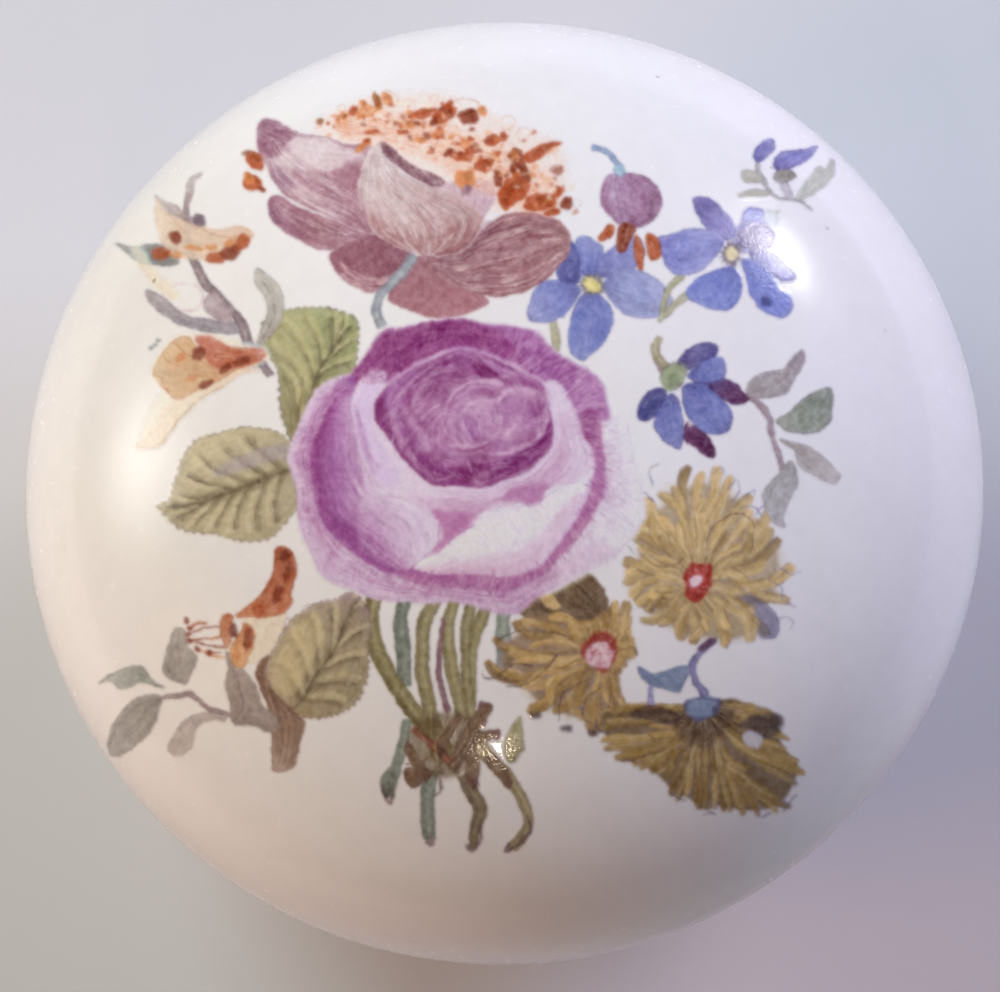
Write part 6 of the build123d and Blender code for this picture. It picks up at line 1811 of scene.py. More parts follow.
def porcelain(name):
    N = Nodes(name)
    tone, v = glaze_colour(N)
    N.link(tone, N.bsdf.inputs["Base Color"])
    wave = N.noise(95.0, 2.0, 0.5, v)
    pin = N.noise(900.0, 2.0, 0.6, v)
    N.link(N.ramp(pin, [(0.35, 0.215), (0.70, 0.275)]), N.bsdf.inputs["Roughness"])
    b = N.bump(wave, 0.05, 0.0012)
    b = N.bump(pin, 0.05, 0.0002, b)
    N.link(b, N.bsdf.inputs["Normal"])
    N.link(b, N.bsdf.inputs["Coat Normal"])
    N.set(IOR=1.52, Specular_IOR_Level=0.30, Coat_Weight=0.55, Coat_Roughness=0.045, Coat_IOR=1.52)
    return N.mat


def biscuit(name):
    """Unglazed fired clay at the foot ring and the cover's seat."""
    N = Nodes(name)
    v = N.coords()
    a = N.noise(160.0, 4.0, 0.6, v)
    g = N.noise(2600.0, 2.0, 0.6, v)
    tone = N.ramp(a, [(0.30, lin(214, 204, 188)), (0.55, lin(226, 217, 203)), (0.75, lin(232, 225, 214))])
    tone = N.mix(1.0, tone, N.ramp(g, [(0.3, 0.90), (0.7, 1.0)]), "MULTIPLY")
    N.link(tone, N.bsdf.inputs["Base Color"])
    N.link(N.ramp(a, [(0.3, 0.72), (0.7, 0.86)]), N.bsdf.inputs["Roughness"])
    N.link(N.bump(g, 0.35, 0.00012), N.bsdf.inputs["Normal"])
    return N.mat


def enamel(name, rough=0.20, seed=0.0):
    """Overglaze colour: the glaze seen through the painted tint, a little grainier than bare glaze."""
    N = Nodes(name)
    tone, v = glaze_colour(N)
    at = N.node("ShaderNodeAttribute", attribute_name="tint")
    grain = N.noise(1500.0 + seed, 3.0, 0.6, v)
    tint = N.mix(1.0, at.outputs["Color"], N.ramp(grain, [(0.28, 0.93), (0.60, 1.0)]), "MULTIPLY")
    N.link(N.mix(1.0, tone, tint, "MULTIPLY"), N.bsdf.inputs["Base Color"])
    N.link(N.ramp(grain, [(0.30, rough - 0.05), (0.70, rough + 0.07)]), N.bsdf.inputs["Roughness"])
    b = N.bump(grain, 0.12, 0.00008)
    N.link(b, N.bsdf.inputs["Normal"])
    N.link(b, N.bsdf.inputs["Coat Normal"])
    N.set(IOR=1.52, Specular_IOR_Level=0.30, Coat_Weight=0.40, Coat_Roughness=0.07, Coat_IOR=1.52)
    return N.mat


# -------------------------------------------------------------------- camera
# a little below straight above, turned 13 degrees off the front
TILT, TURN, REACH = math.radians(12.484), math.radians(13.28), 400.0
AIM = np.array([-0.069, -2.066, 50.0])
LENS = 139.10
_v = np.array([math.sin(TURN) * math.sin(TILT), -math.cos(TURN) * math.sin(TILT), math.cos(TILT)])
EYE = AIM + REACH * _v
FWD = -_v
UPV = np.array([0, 1.0, 0]) - FWD * FWD[1]
UPV /= np.linalg.norm(UPV)
RGT = np.cross(FWD, UPV)
PX = LENS / 36.0 * 1000.0

cam_data = bpy.data.cameras.new("camera")
cam_data.lens = LENS
cam_data.sensor_width = 36.0
cam_data.clip_start = 0.01
cam = bpy.data.objects.new("camera", cam_data)
bpy.context.scene.collection.objects.link(cam)
cam.matrix_world = Matrix.Translation(Vector(EYE * MM)) @ Matrix((RGT, UPV, -FWD)).transposed().to_4x4()
bpy.context.scene.camera = cam


def on_dome(u, v, lift=0.0):
    """Points of the cover's outer dome, mm, that drawing points u, v stand over, and its normals."""
    u, v = np.asarray(u, float), np.asarray(v, float)
    d = FWD + RGT * ((u - 500) / PX)[..., None] - UPV * ((v - 496) / PX)[..., None]
    s = np.array([LID_R, LID_R, LID_RISE])
    o = (EYE - np.array([0, 0, WIDEST_Z])) / s
    e = d / s
    a, b, c = (e * e).sum(-1), (e * o).sum(-1), (o * o).sum() - 1
    t = (-b - np.sqrt(np.maximum(b * b - a * c, 0))) / a
    p = EYE + d * t[..., None]
    n = (p - np.array([0, 0, WIDEST_Z])) / s ** 2
    n /= np.linalg.norm(n, axis=-1, keepdims=True)
    return p + n * np.asarray(lift)[..., None], n

# ------------------------------------------------------- the cover and the bowl
t = np.linspace(0, np.pi / 2, 73)
LID_PROFILE = chain(
    np.c_[LID_R * np.sin(t), WIDEST_Z + LID_RISE * np.cos(t)],
    bez((50, 46), (50, 44.4), (49.78, 43.3), (49.4, 42.35), 9),
    bez((49.4, 42.35), (49.33, 42.12), (49.22, 42.0), (49.05, 42.0), 5),
    np.c_[np.linspace(49.05, 46.95, 5), np.full(5, 42.0)],
    bez((46.95, 42.0), (46.78, 42.0), (46.6, 42.15), (46.6, 42.35), 5),
    np.c_[np.full(6, 46.6), np.linspace(42.35, 46.0, 6)],
    np.c_[46.6 * np.sin(t[::-1]), WIDEST_Z + 23.6 * np.cos(t[::-1])])
lid = lathe("porcelain_lid", LID_PROFILE, 320)
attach(lid, "cover")
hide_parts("lid")
lid.data.materials.append(porcelain("glaze_lid"))
lid.data.materials.append(biscuit("biscuit_seat"))
for p in lid.data.polygons:
    if p.center.z < 42.02 * MM:
        p.material_index = 1

JAR_PROFILE = chain(
    bez((43.3, 43.0), (43.3, 44.2), (43.3, 45.0), (43.3, 46.1), 5)[::-1][::-1])
a = np.linspace(0, np.pi, 13)
JAR_PROFILE = chain(
    [(0, 6.4)],
    np.c_[np.linspace(1.5, 24, 10), np.full(10, 6.4)],
    bez((45.4, 37.0), (45.6, 21.0), (37.0, 7.6), (24.0, 6.4), 34)[::-1],
    bez((43.3, 43.0), (43.3, 40.4), (45.35, 40.4), (45.4, 37.0), 12)[::-1],
    np.c_[np.full(5, 43.3), np.linspace(43.0, 46.1, 5)],
    np.c_[44.45 - 1.15 * np.cos(a), 46.1 + 0.9 * np.sin(a)],
    np.c_[np.linspace(45.6, 45.9, 6), np.linspace(46.1, 42.12, 6)],
    bez((45.9, 42.12), (45.9, 42.05), (45.95, 42.0), (46.05, 42.0), 4),
    np.c_[np.linspace(46.05, 49.0, 6), np.full(6, 42.0)],
    bez((49.0, 42.0), (49.22, 42.0), (49.4, 41.85), (49.4, 41.65), 5),
    bez((32.9, 3.6), (39.0, 7.2), (48.9, 22.0), (49.4, 41.65), 60)[::-1],
    bez((33.2, 0.5), (33.0, 1.7), (32.2, 2.9), (32.9, 3.6), 12)[::-1],
    bez((33.2, 0.5), (33.1, 0.15), (32.95, 0.0), (32.7, 0.0), 5),
    np.c_[np.linspace(32.7, 29.9, 5), np.zeros(5)],
    bez((29.9, 0.0), (29.62, 0.0), (29.5, 0.2), (29.4, 0.5), 5),
    bez((26.8, 3.0), (28.4, 3.0), (29.1, 2.0), (29.4, 0.5), 12)[::-1],
    np.c_[np.linspace(26.8, 1.5, 9), np.full(9, 3.0)],
    [(0, 3.0)])
jar = lathe("porcelain_jar", JAR_PROFILE, 320)
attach(jar, "jar")
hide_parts("jar_body")
jar.data.materials.append(porcelain("glaze_jar"))
jar.data.materials.append(biscuit("biscuit_jar"))
for p in jar.data.polygons:
    c = p.center
    r = math.hypot(c.x, c.y) / MM
    if c.z < 0.35 * MM or (abs(c.z - 42.0 * MM) < 0.03 * MM and r > 45.9):
        p.material_index = 1


# ----------------------------------------------------------- enamel on the lid
def films(sh, names):
    """Lays the painted sheet on the dome: each flower is a thin enamel film of its own, thickest where
    the colour is, its edge sunk in the glaze."""
    g = 0.86
    xs, ys = np.arange(88, 872, g), np.arange(56, 862, g)
    X, Y = np.meshgrid(xs, ys)
    cov = blur(sh.cov, 2)

    def take(a, x, y):
        fx, fy = x * SH - 0.5, y * SH - 0.5
        i, j = np.floor(fy).astype(int), np.floor(fx).astype(int)
        u, v = (fx - j), (fy - i)
        if a.ndim == 3:
            u, v = u[..., None], v[..., None]
        return (a[i, j] * (1 - u) + a[i, j + 1] * u) * (1 - v) + (a[i + 1, j] * (1 - u) + a[i + 1, j + 1] * u) * v

    C = take(cov, X, Y)
    soft = sh.rgb
    T = (take(soft, X, Y) * 0.5 + 0.125 * (take(soft, X - .35, Y) + take(soft, X + .35, Y) + take(soft, X, Y - .35)
         + take(soft, X, Y + .35)))
    own = sh.own[np.clip(((Y + g / 2) * SH).astype(int), 0, sh.own.shape[0] - 1),
                 np.clip(((X + g / 2) * SH).astype(int), 0, sh.own.shape[1] - 1)][:-1, :-1]
    live = (np.maximum.reduce([C[:-1, :-1], C[1:, :-1], C[:-1, 1:], C[1:, 1:]]) > 0.02)
    # a vertex is inner when all four of its cells are covered
    pad = np.pad(live, 1)
    inner = pad[:-1, :-1] & pad[1:, :-1] & pad[:-1, 1:] & pad[1:, 1:]
    relief = 0.004 + 0.020 * np.clip(C, 0, 1) + 0.008 * (noise(X, Y, 1.7, 91) - 0.5) * np.clip(C, 0, 1) \
        + 0.010 * (1 - T.mean(-1)) * np.clip(C, 0, 1)
    relief = np.where(inner, relief, -0.003)
    T = np.where(inner[..., None], T, 1 - (1 - T) * 0.6)
    # cells nobody owns join the owner beside them
    for _ in range(6):
        for dy, dx in ((0, 1), (1, 0), (0, -1), (-1, 0)):
            r = np.roll(own, (dy, dx), (0, 1))
            own = np.where((own == 0) & live, r, own)
    co, _ = on_dome(X, Y, relief)
    tint = np.clip(T, 0, 1) ** 2.2
    out = []
    for k, name in enumerate(names, 1):
        sel = live & (own == k)
        if sel.sum() < 12:
            continue
        i, j = np.nonzero(sel)
        w = X.shape[1]
        q = np.c_[i * w + j, (i + 1) * w + j, (i + 1) * w + j + 1, i * w + j + 1]
        used, inv = np.unique(q, return_inverse=True)
        ob = mesh_fast(name, co.reshape(-1, 3)[used] * MM, inv.reshape(-1, 4))
        at = ob.data.color_attributes.new("tint", "FLOAT_COLOR", "POINT")
        rgba = np.ones((len(used), 4), np.float32)
        rgba[:, :3] = tint.reshape(-1, 3)[used]
        at.data.foreach_set("color", rgba.ravel())
        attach(ob, "cover")
        ob.data.materials.append(enamel("enamel_" + name, 0.17 + 0.01 * (k % 5), 37.0 * k))
        out.append(ob)
    return out


sheet = paint()
FILMS = films(sheet, [b[0] for b in BOUQUET])

# -------------------------------------------------- powder, puff and its ribbon
def polar(name, rows, segs):
    """A closed body from rows of (segs, 3) rings in mm; a single point closes an end."""
    verts, rings = [], []
    for row in rows:
        row = np.atleast_2d(row)
        rings.append(list(range(len(verts), len(verts) + len(row))))
        verts.extend((row * MM).tolist())
    faces = []
    for A, B in zip(rings[:-1], rings[1:]):
        for i in range(segs):
            j = (i + 1) % segs
            if len(A) == 1:
                faces.append((A[0], B[i], B[j]))
            elif len(B) == 1:
                faces.append((A[i], B[0], A[j]))
            else:
                faces.append((A[i], B[i], B[j], A[j]))
    return solid(name, verts, faces)


def fbm(x, y, scale, seed, n=3):
    return sum(noise(x, y, scale / 2 ** k, seed + k) * 0.5 ** k for k in range(n)) / sum(0.5 ** k for k in range(n)) - 0.5


rng = np.random.default_rng(424)
a = np.arange(240) * 2 * np.pi / 240
CA, SA = np.cos(a), np.sin(a)


def ring(r, z):
    return np.c_[r * CA, r * SA, np.broadcast_to(z, a.shape)]


# loose powder: pressed flat and dimpled under the puff, banked against the wall round it
wall = np.array(bez((45.4, 37.0), (45.6, 21.0), (37.0, 7.6), (24.0, 6.4), 200))[::-1]
rows = [[(0, 0, 6.46)], ring(12, 6.46), ring(23.9, 6.46)]
for z in np.linspace(7.0, 15.8, 13):
    rows.append(ring(np.interp(z, wall[:, 1], wall[:, 0]) - 0.06, z))
for r in np.r_[39.4, 39.05, 38.65, 38.2, 37.8, 37.3, 36.8, 36.2, np.arange(35.4, 0.6, -0.75)]:
    x, y = r * CA, r * SA
    z = 15.62 + 0.36 * fbm(x, y, 9.0, 5) + 0.28 * fbm(x, y, 2.4, 11)
    z = np.minimum(z, 15.9)
    bank = np.clip((r - 35.8) / 2.4, 0, 1)
    z = z * (1 - bank) + (16.25 + 0.9 * fbm(x, y, 5.0, 31) + 0.6 * fbm(x, y, 1.5, 37)) * bank
    rows.append(ring(r + 0.0, z))
rows.append([(0, 0, 15.6)])
powder = polar("loose_powder_bed", rows, 240)
N = Nodes("face_powder")
v = N.coords()
cloud = N.noise(70.0, 4.0, 0.6, v)
tone = N.ramp(cloud, [(0.28, lin(236, 212, 200)), (0.52, lin(242, 223, 213)), (0.74, lin(246, 232, 225))])
fine = N.noise(2300.0, 3.0, 0.7, v)
tone = N.mix(1.0, tone, N.ramp(fine, [(0.30, 0.86), (0.66, 1.0)]), "MULTIPLY")
N.link(tone, N.bsdf.inputs["Base Color"])
N.link(N.ramp(fine, [(0.3, 0.88), (0.7, 0.97)]), N.bsdf.inputs["Roughness"])
N.link(N.bump(fine, 0.6, 0.00025, N.bump(N.noise(620.0, 3.0, 0.6, v), 0.5, 0.0005)), N.bsdf.inputs["Normal"])
N.set(Specular_IOR_Level=0.25)
POWDER = N.mat
powder.data.materials.append(POWDER)
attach(powder, "jar")
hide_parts("loose_powder")

# crumbs of powder on the bank
co, quads = [], []
for k in range(150):
    t0 = rng.uniform(0, 2 * np.pi)
    r0 = rng.uniform(37.6, 38.7)
    s = rng.uniform(0.16, 0.42)
    c = np.array([r0 * math.cos(t0), r0 * math.sin(t0), 16.25 + 0.5 * s])
    cube = np.array([(x, y, z) for x in (-1, 1) for y in (-1, 1) for z in (-1, 1)], float)
    cube = cube / np.linalg.norm(cube, axis=1, keepdims=True) * rng.uniform(0.75, 1.2, (8, 1)) * s
    m = len(co)
    co.extend(c + cube)
    quads.extend([(m + 0, m + 1, m + 3, m + 2), (m + 4, m + 6, m + 7, m + 5), (m + 0, m + 4, m + 5, m + 1), (m + 2, m + 3, m + 7, m + 6),
                  (m + 0, m + 2, m + 6, m + 4), (m + 1, m + 5, m + 7, m + 3)])
crumbs = mesh_fast("powder_crumbs", np.array(co) * MM, np.array(quads))
sub = crumbs.modifiers.new("round", "SUBSURF")
sub.levels = sub.render_levels = 1
crumbs.data.materials.append(POWDER)
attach(crumbs, "jar")

# plush pad: a soft lumpy body under a coat of short fibre
pad_side = chain(bez((27.5, 16.55), (33.0, 16.55), (35.6, 19.0), (35.6, 23.6), 16), bez((35.6, 23.6), (35.6, 26.2), (35.2, 28.2), (34.2, 29.0), 9))
rows = [[(0, 0, 16.55)]]
for r in (5, 10, 15, 20, 24, 27.0):
    rows.append(ring(r, 16.55 + 0.10 * (fbm(r * CA, r * SA, 7.0, 51))))
for r, z in pad_side[1:]:
    w = 0.55 * fbm(36 * a / 1.0 % 226.2, np.full(240, z * 1.0), 6.0, 61)
    w = w * np.clip((z - 17) / 3, 0, 1) * np.clip((29.4 - z) / 2.5, 0, 1)
    rows.append(ring(r + w, z))
rows += [ring(32, 29.1), ring(20, 29.12), [(0, 0, 29.12)]]
pad = polar("plush_pad", rows, 240)


def pile(name, base, up, side, length, width):
    """Short tapering fibres: three-sided, rooted at base, leaning from up towards side."""
    n = len(base)
    d0 = up
    d1 = up * 0.55 + side * 0.85
    q = np.cross(d0, side)
    q /= np.linalg.norm(q, axis=1, keepdims=True) + 1e-9
    p = np.cross(d0, q)
    ang = np.arange(3) * 2 * np.pi / 3
    rows_ = []
    for f, w in ((0.0, 1.0), (0.45, 0.8), (0.82, 0.45)):
        c = base + (d0 * f + (d1 - d0) * f * f * 0.9) * length[:, None]
        for t_ in ang:
            rows_.append(c + (q * math.cos(t_) + p * math.sin(t_)) * (w * width)[:, None])
    tip = base + (d0 + (d1 - d0) * 0.9) * length[:, None]
    rows_.append(tip)
    V = np.stack(rows_, 1)
    quad = []
    for b in (0, 3):
        for i in range(3):
            j = (i + 1) % 3
            quad.append((b + i, b + j, b + 3 + j, b + 3 + i))
    tri = [(6 + i, 6 + (i + 1) % 3, 9) for i in range(3)]
    me = bpy.data.meshes.new(name)
    o = (np.arange(n) * 10)[:, None]
    loops = np.concatenate([(np.array(quad).ravel()[None] + o), (np.array(tri).ravel()[None] + o)], 1).ravel()
    sizes = np.tile(np.r_[np.full(6, 4), np.full(3, 3)], n)
    start = np.r_[0, np.cumsum(sizes)[:-1]]
    me.vertices.add(n * 10)
    me.vertices.foreach_set("co", (V * MM).astype(np.float32).ravel())
    me.loops.add(len(loops))
    me.loops.foreach_set("vertex_index", loops.astype(np.int32))
    me.polygons.add(len(sizes))
    me.polygons.foreach_set("loop_start", start.astype(np.int32))
    me.polygons.foreach_set("use_smooth", np.ones(len(sizes), bool))
    me.update(calc_edges=True)
    ob = bpy.data.objects.new(name, me)
    bpy.context.scene.collection.objects.link(ob)
    return ob


n = 15000
prof = np.array(pad_side)
seg = np.r_[0, np.cumsum(np.hypot(*np.diff(prof, axis=0).T))]
s = rng.uniform(0, 1, n) ** 0.85 * seg[-1]
r = np.interp(s, seg, prof[:, 0])
z = np.interp(s, seg, prof[:, 1])
dr = np.interp(s + 0.2, seg, prof[:, 0]) - np.interp(s - 0.2, seg, prof[:, 0])
dz = np.interp(s + 0.2, seg, prof[:, 1]) - np.interp(s - 0.2, seg, prof[:, 1])
L = np.hypot(dr, dz)
th = rng.uniform(0, 2 * np.pi, n)
nr, nz = dz / L, -dr / L
up = np.c_[nr * np.cos(th), nr * np.sin(th), nz]
tang = np.c_[-np.sin(th), np.cos(th), np.zeros(n)]
along = np.c_[dr / L * np.cos(th), dr / L * np.sin(th), dz / L]
swirl = 5.0 * fbm(36 * th, z, 7.0, 71, 2)
side = tang * np.cos(swirl)[:, None] + along * np.sin(swirl)[:, None] + rng.normal(0, 0.35, (n, 3))
side /= np.linalg.norm(side, axis=1, keepdims=True)
length = rng.uniform(0.9, 1.9, n) * np.clip(0.35 + (z - 16.5) / 4.0, 0.3, 1)
base = np.c_[r * np.cos(th), r * np.sin(th), z] - up * 0.15
fib = pile("plush_pile", base, up, side, length, rng.uniform(0.06, 0.11, n))
co = np.empty(len(fib.data.vertices) * 3, np.float32)
fib.data.vertices.foreach_get("co", co)
co = co.reshape(-1, 3)
co[:, 2] = np.clip(co[:, 2], 16.05 * MM, 29.9 * MM)
rr = np.hypot(co[:, 0], co[:, 1])
k = np.minimum(1, 37.4 * MM / np.maximum(rr, 1e-9))
co[:, :2] *= k[:, None]
fib.data.vertices.foreach_set("co", co.ravel())
fib.data.update()


def plush(name, a_, b_, c_):
    N = Nodes(name)
    v = N.coords()
    m = N.noise(140.0, 3.0, 0.6, v)
    tone = N.ramp(m, [(0.28, a_), (0.52, b_), (0.76, c_)])
    f = N.noise(1700.0, 3.0, 0.6, v)
    tone = N.mix(1.0, tone, N.ramp(f, [(0.3, 0.84), (0.65, 1.0)]), "MULTIPLY")
    dust = N.ramp(N.noise(240.0, 4.0, 0.7, v), [(0.56, 0.0), (0.72, 0.45)])
    N.link(N.mix(dust, tone, lin(238, 208, 186)), N.bsdf.inputs["Base Color"])
    N.link(N.ramp(f, [(0.3, 0.86), (0.7, 0.96)]), N.bsdf.inputs["Roughness"])
    N.link(N.bump(f, 0.5, 0.0004), N.bsdf.inputs["Normal"])
    N.set(Sheen_Weight=0.45, Sheen_Roughness=0.4, Specular_IOR_Level=0.2)
    return N.mat


PLUSH = plush("puff_plush", lin(232, 196, 196), lin(240, 212, 210), lin(246, 226, 222))
for ob in (pad, fib):
    ob.data.materials.append(PLUSH)
    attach(ob, "puff")
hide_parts("puff_pad")

# the card inside keeps its CAD shape
N = Nodes("grey_card")
v = N.coords()
f = N.noise(900.0, 4.0, 0.65, v)
tone = N.ramp(f, [(0.3, lin(150, 140, 126)), (0.55, lin(170, 160, 146)), (0.75, lin(184, 176, 162))])
fl = N.ramp(N.noise(2600.0, 2.0, 0.5, v), [(0.68, 0.0), (0.74, 0.6)])
N.link(N.mix(fl, tone, lin(112, 100, 88)), N.bsdf.inputs["Base Color"])
N.link(N.ramp(f, [(0.3, 0.82), (0.7, 0.92)]), N.bsdf.inputs["Roughness"])
N.link(N.bump(f, 0.4, 0.0002), N.bsdf.inputs["Normal"])
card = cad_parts["puff_card"]
card.data.materials.clear()
card.data.materials.append(N.mat)


# satin cover: crowned, drawn into small gathers where it meets the piping
def satin_z(r, th, y=0):
    """Top of the satin, mm: flat in the middle, gathers growing towards the rim."""
    g = np.sin(th * 46 + 2.2 * np.sin(th * 3 + 1) + 1.3 * np.sin(th * 7)) * (0.6 + 0.4 * np.sin(th * 5 + 2))
    w = np.clip((r - 21.0) / 10.0, 0, 1) ** 1.6
    x_, y_ = r * np.cos(th), r * np.sin(th)
    return 31.62 + 0.10 * g * w - 0.10 * w + 0.10 * fbm(x_, y_, 11.0, 81, 2) * np.clip(1.2 - r / 33, 0, 1)


segs = 460
a2 = np.arange(segs) * 2 * np.pi / segs
rows = [[(0, 0, float(satin_z(np.zeros(1), np.zeros(1))[0]))]]
for r in np.r_[np.arange(1.5, 24, 1.5), np.arange(24, 31.9, 0.6)]:
    rows.append(np.c_[r * np.cos(a2), r * np.sin(a2), satin_z(np.full(segs, r), a2)])
zt = satin_z(np.full(segs, 31.9), a2)
g = 0.10 * np.sin(a2 * 46 + 2.2 * np.sin(a2 * 3 + 1) + 1.3 * np.sin(a2 * 7))
for k in np.linspace(0.2, 1, 6):
    t_ = k * np.pi / 2
    rows.append(np.c_[(31.9 + 0.85 * math.sin(t_) + g * k * 0.6) * np.cos(a2), (31.9 + 0.85 * math.sin(t_) + g * k * 0.6) * np.sin(a2),
                      zt * (1 - k) + k * 30.55 - 0.0 + (zt - 30.55) * (math.cos(t_) - (1 - k))])
for r, z in ((32.7, 29.9), (32.6, 29.3), (31.9, 29.3), (31.75, 29.4), (31.7, 30.16), (25, 30.17), (12, 30.17)):
    rows.append(np.c_[r * np.cos(a2), r * np.sin(a2), np.full(segs, z)])
rows.append([(0, 0, 30.17)])
satin = polar("satin_cover", rows, segs)


def cloth(name, a_, b_, c_, warp, weft, axis, rough, sheen, rib=0.35):
    """A woven satin: long floats along one way, painted shade darkening the hollows of the weave, a soft band of
    lustre.
    """
    N = Nodes(name)
    v = N.coords()
    m = N.noise(60.0, 3.0, 0.5, v)
    tone = N.ramp(m, [(0.25, a_), (0.52, b_), (0.78, c_)])
    sep = N.node("ShaderNodeSeparateXYZ")
    N.link(v, sep.inputs[0])
    s1 = N.math("SINE", N.math("MULTIPLY", sep.outputs[axis], warp))
    s2 = N.math("SINE", N.math("MULTIPLY", sep.outputs[1 - axis], weft))
    weave = N.math("ADD", N.math("MULTIPLY", s1, 0.6), N.math("MULTIPLY", N.math("MULTIPLY", s1, s2), 0.4))
    w01 = N.math("MULTIPLY_ADD", weave, 0.5)
    w01.node.inputs[2].default_value = 0.5
    thread = N.noise(700.0, 2.0, 0.6, v)
    # painted shade: the colour is darkened by up to a tenth where the weave sinks, the same height that drives the bump
    tone = N.mix(1.0, tone, N.ramp(w01, [(0.0, 0.90), (1.0, 1.0)]), "MULTIPLY")
    tone = N.mix(1.0, tone, N.ramp(thread, [(0.3, 0.95), (0.7, 1.0)]), "MULTIPLY")
    N.link(tone, N.bsdf.inputs["Base Color"])
    N.link(N.ramp(thread, [(0.3, rough - 0.05), (0.7, rough + 0.08)]), N.bsdf.inputs["Roughness"])
    N.link(N.bump(w01, rib, 0.00006), N.bsdf.inputs["Normal"])
    N.set(Sheen_Weight=sheen, Sheen_Roughness=0.35, Anisotropic=0.5, Specular_IOR_Level=0.55)
    return N.mat


satin.data.materials.append(cloth("puff_satin", lin(206, 150, 168), lin(220, 168, 184), lin(230, 184, 196), 14000.0, 5200.0, 0, 0.34, 0.2))
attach(satin, "puff")
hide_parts("puff_backing")


# piping: three plies twisted round the rim
def tube(name, curves, radius, sides=8, close=True):
    """Round tubes along closed or open curves of points, mm, in one mesh."""
    co_, quads_ = [], []
    for c in curves:
        m = len(c)
        d = np.roll(c, -1, 0) - np.roll(c, 1, 0) if close else np.gradient(c, axis=0)
        d /= np.linalg.norm(d, axis=1, keepdims=True)
        ref = np.tile([0.0, 0.0, 1.0], (m, 1))
        steep = np.abs(d[:, 2]) > 0.95
        ref[steep] = (1.0, 0.0, 0.0)
        u_ = np.cross(d, ref)
        u_ /= np.linalg.norm(u_, axis=1, keepdims=True)
        w_ = np.cross(d, u_)
        t_ = np.arange(sides) * 2 * np.pi / sides
        rr_ = np.broadcast_to(radius, (m,)) if close else radius * np.interp(np.arange(m), [0, 1, m - 2, m - 1], [0.25, 1, 1, 0.25])
        V = c[:, None] + (u_[:, None] * np.cos(t_)[None, :, None] + w_[:, None] * np.sin(t_)[None, :, None]) * rr_[:, None, None]
        b = len(co_) and sum(len(x) for x in co_)
        co_.append(V.reshape(-1, 3))
        for i in range(m if close else m - 1):
            i2 = (i + 1) % m
            for s_ in range(sides):
                s2_ = (s_ + 1) % sides
                quads_.append((b + i * sides + s_, b + i * sides + s2_, b + i2 * sides + s2_, b + i2 * sides + s_))
        if not close:
            h = sides // 2
            for e in (0, (m - 1) * sides):
                for s_ in range(h - 1):
                    quads_.append((b + e + s_, b + e + s_ + 1, b + e + sides - 2 - s_, b + e + sides - 1 - s_))
    return mesh_fast(name, np.concatenate(co_) * MM, np.array(quads_))


turns, per = 78, 14
t = np.arange(turns * per) * 2 * np.pi / (turns * per)
plies = []
for k in range(3):
    h = t * turns + k * 2 * np.pi / 3
    R = 34.0 + 0.50 * np.cos(h)
    plies.append(np.c_[R * np.cos(t), R * np.sin(t), 30.25 + 0.50 * np.sin(h)])
piping = tube("twisted_piping", plies, 0.535, 8)
N = Nodes("puff_cord")
v = N.coords()
f = N.noise(1500.0, 3.0, 0.6, v)
tone = N.ramp(N.noise(300.0, 3.0, 0.6, v), [(0.3, lin(172, 108, 132)), (0.55, lin(192, 128, 150)), (0.75, lin(206, 146, 166))])
tone = N.mix(1.0, tone, N.ramp(f, [(0.3, 0.82), (0.65, 1.0)]), "MULTIPLY")
N.link(tone, N.bsdf.inputs["Base Color"])
N.link(N.ramp(f, [(0.3, 0.42), (0.7, 0.58)]), N.bsdf.inputs["Roughness"])
N.link(N.bump(f, 0.6, 0.0001), N.bsdf.inputs["Normal"])
N.set(Sheen_Weight=0.2)
piping.data.materials.append(N.mat)
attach(piping, "puff")
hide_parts("puff_piping")

# ribbon: a band of satin standing in a finger loop, its feet turned under and sewn down
HALF, WIDE, THICK = 30.5, 8.0, 0.34
yy = chain(np.c_[np.linspace(-HALF, -HALF + 5, 12), np.full(12, 32.0)],
           bez((-HALF + 5, 32.0), (-19, 32.0), (-15, 39.2), (0, 39.2), 40))
yy = np.array(yy)
yy = np.vstack([yy, (yy * (-1, 1))[::-1][1:]])
d = np.gradient(yy, axis=0)
d /= np.linalg.norm(d, axis=1, keepdims=True)
nn = np.c_[-d[:, 1], d[:, 0]]
s = np.r_[0, np.cumsum(np.hypot(*np.diff(yy, axis=0).T))]
foot = np.clip(1 - np.minimum(s, s[-1] - s) / 9.0, 0, 1)
across_ = np.linspace(-1, 1, 33)
top = []
for i in range(len(yy)):
    x = across_ * WIDE * (1 - 0.05 * math.sin(math.pi * s[i] / s[-1]) ** 2 - 0.03 * foot[i])
    cup = 0.55 * (1 - foot[i]) * (across_ ** 2 - 0.35) * math.sin(math.pi * s[i] / s[-1])
    rip = 0.16 * (1 - foot[i]) * np.sin(s[i] * 0.45 + across_ * 2.6 + 1) + 0.10 * np.sin(s[i] * 1.3 + across_ * 4) * (1 - foot[i])
    gath = 0.07 * np.sin(across_ * 22) * foot[i] ** 0.5
    o = -cup + rip * 0.7 + gath
    y0, z0 = yy[i]
    th = np.arctan2(y0, x)
    r0 = np.hypot(x, y0)
    base_z = satin_z(r0, th)
    base_z = np.where(r0 > 31.9, base_z - (r0 - 31.9) * 0.5, base_z)
    P = np.c_[x, y0 + nn[i, 0] * o, z0 + nn[i, 1] * o]
    keep = foot[i] ** 0.7 if s[i] < 7 or s[-1] - s[i] < 7 else 0
    P[:, 2] = np.maximum(P[:, 2] * (1 - keep) + (base_z + 0.10 + gath) * keep, base_z + 0.06)
    top.append(P)
top = np.array(top)
n1, n2 = top.shape[:2]
ty = np.gradient(top, axis=0)
tx = np.gradient(top, axis=1)
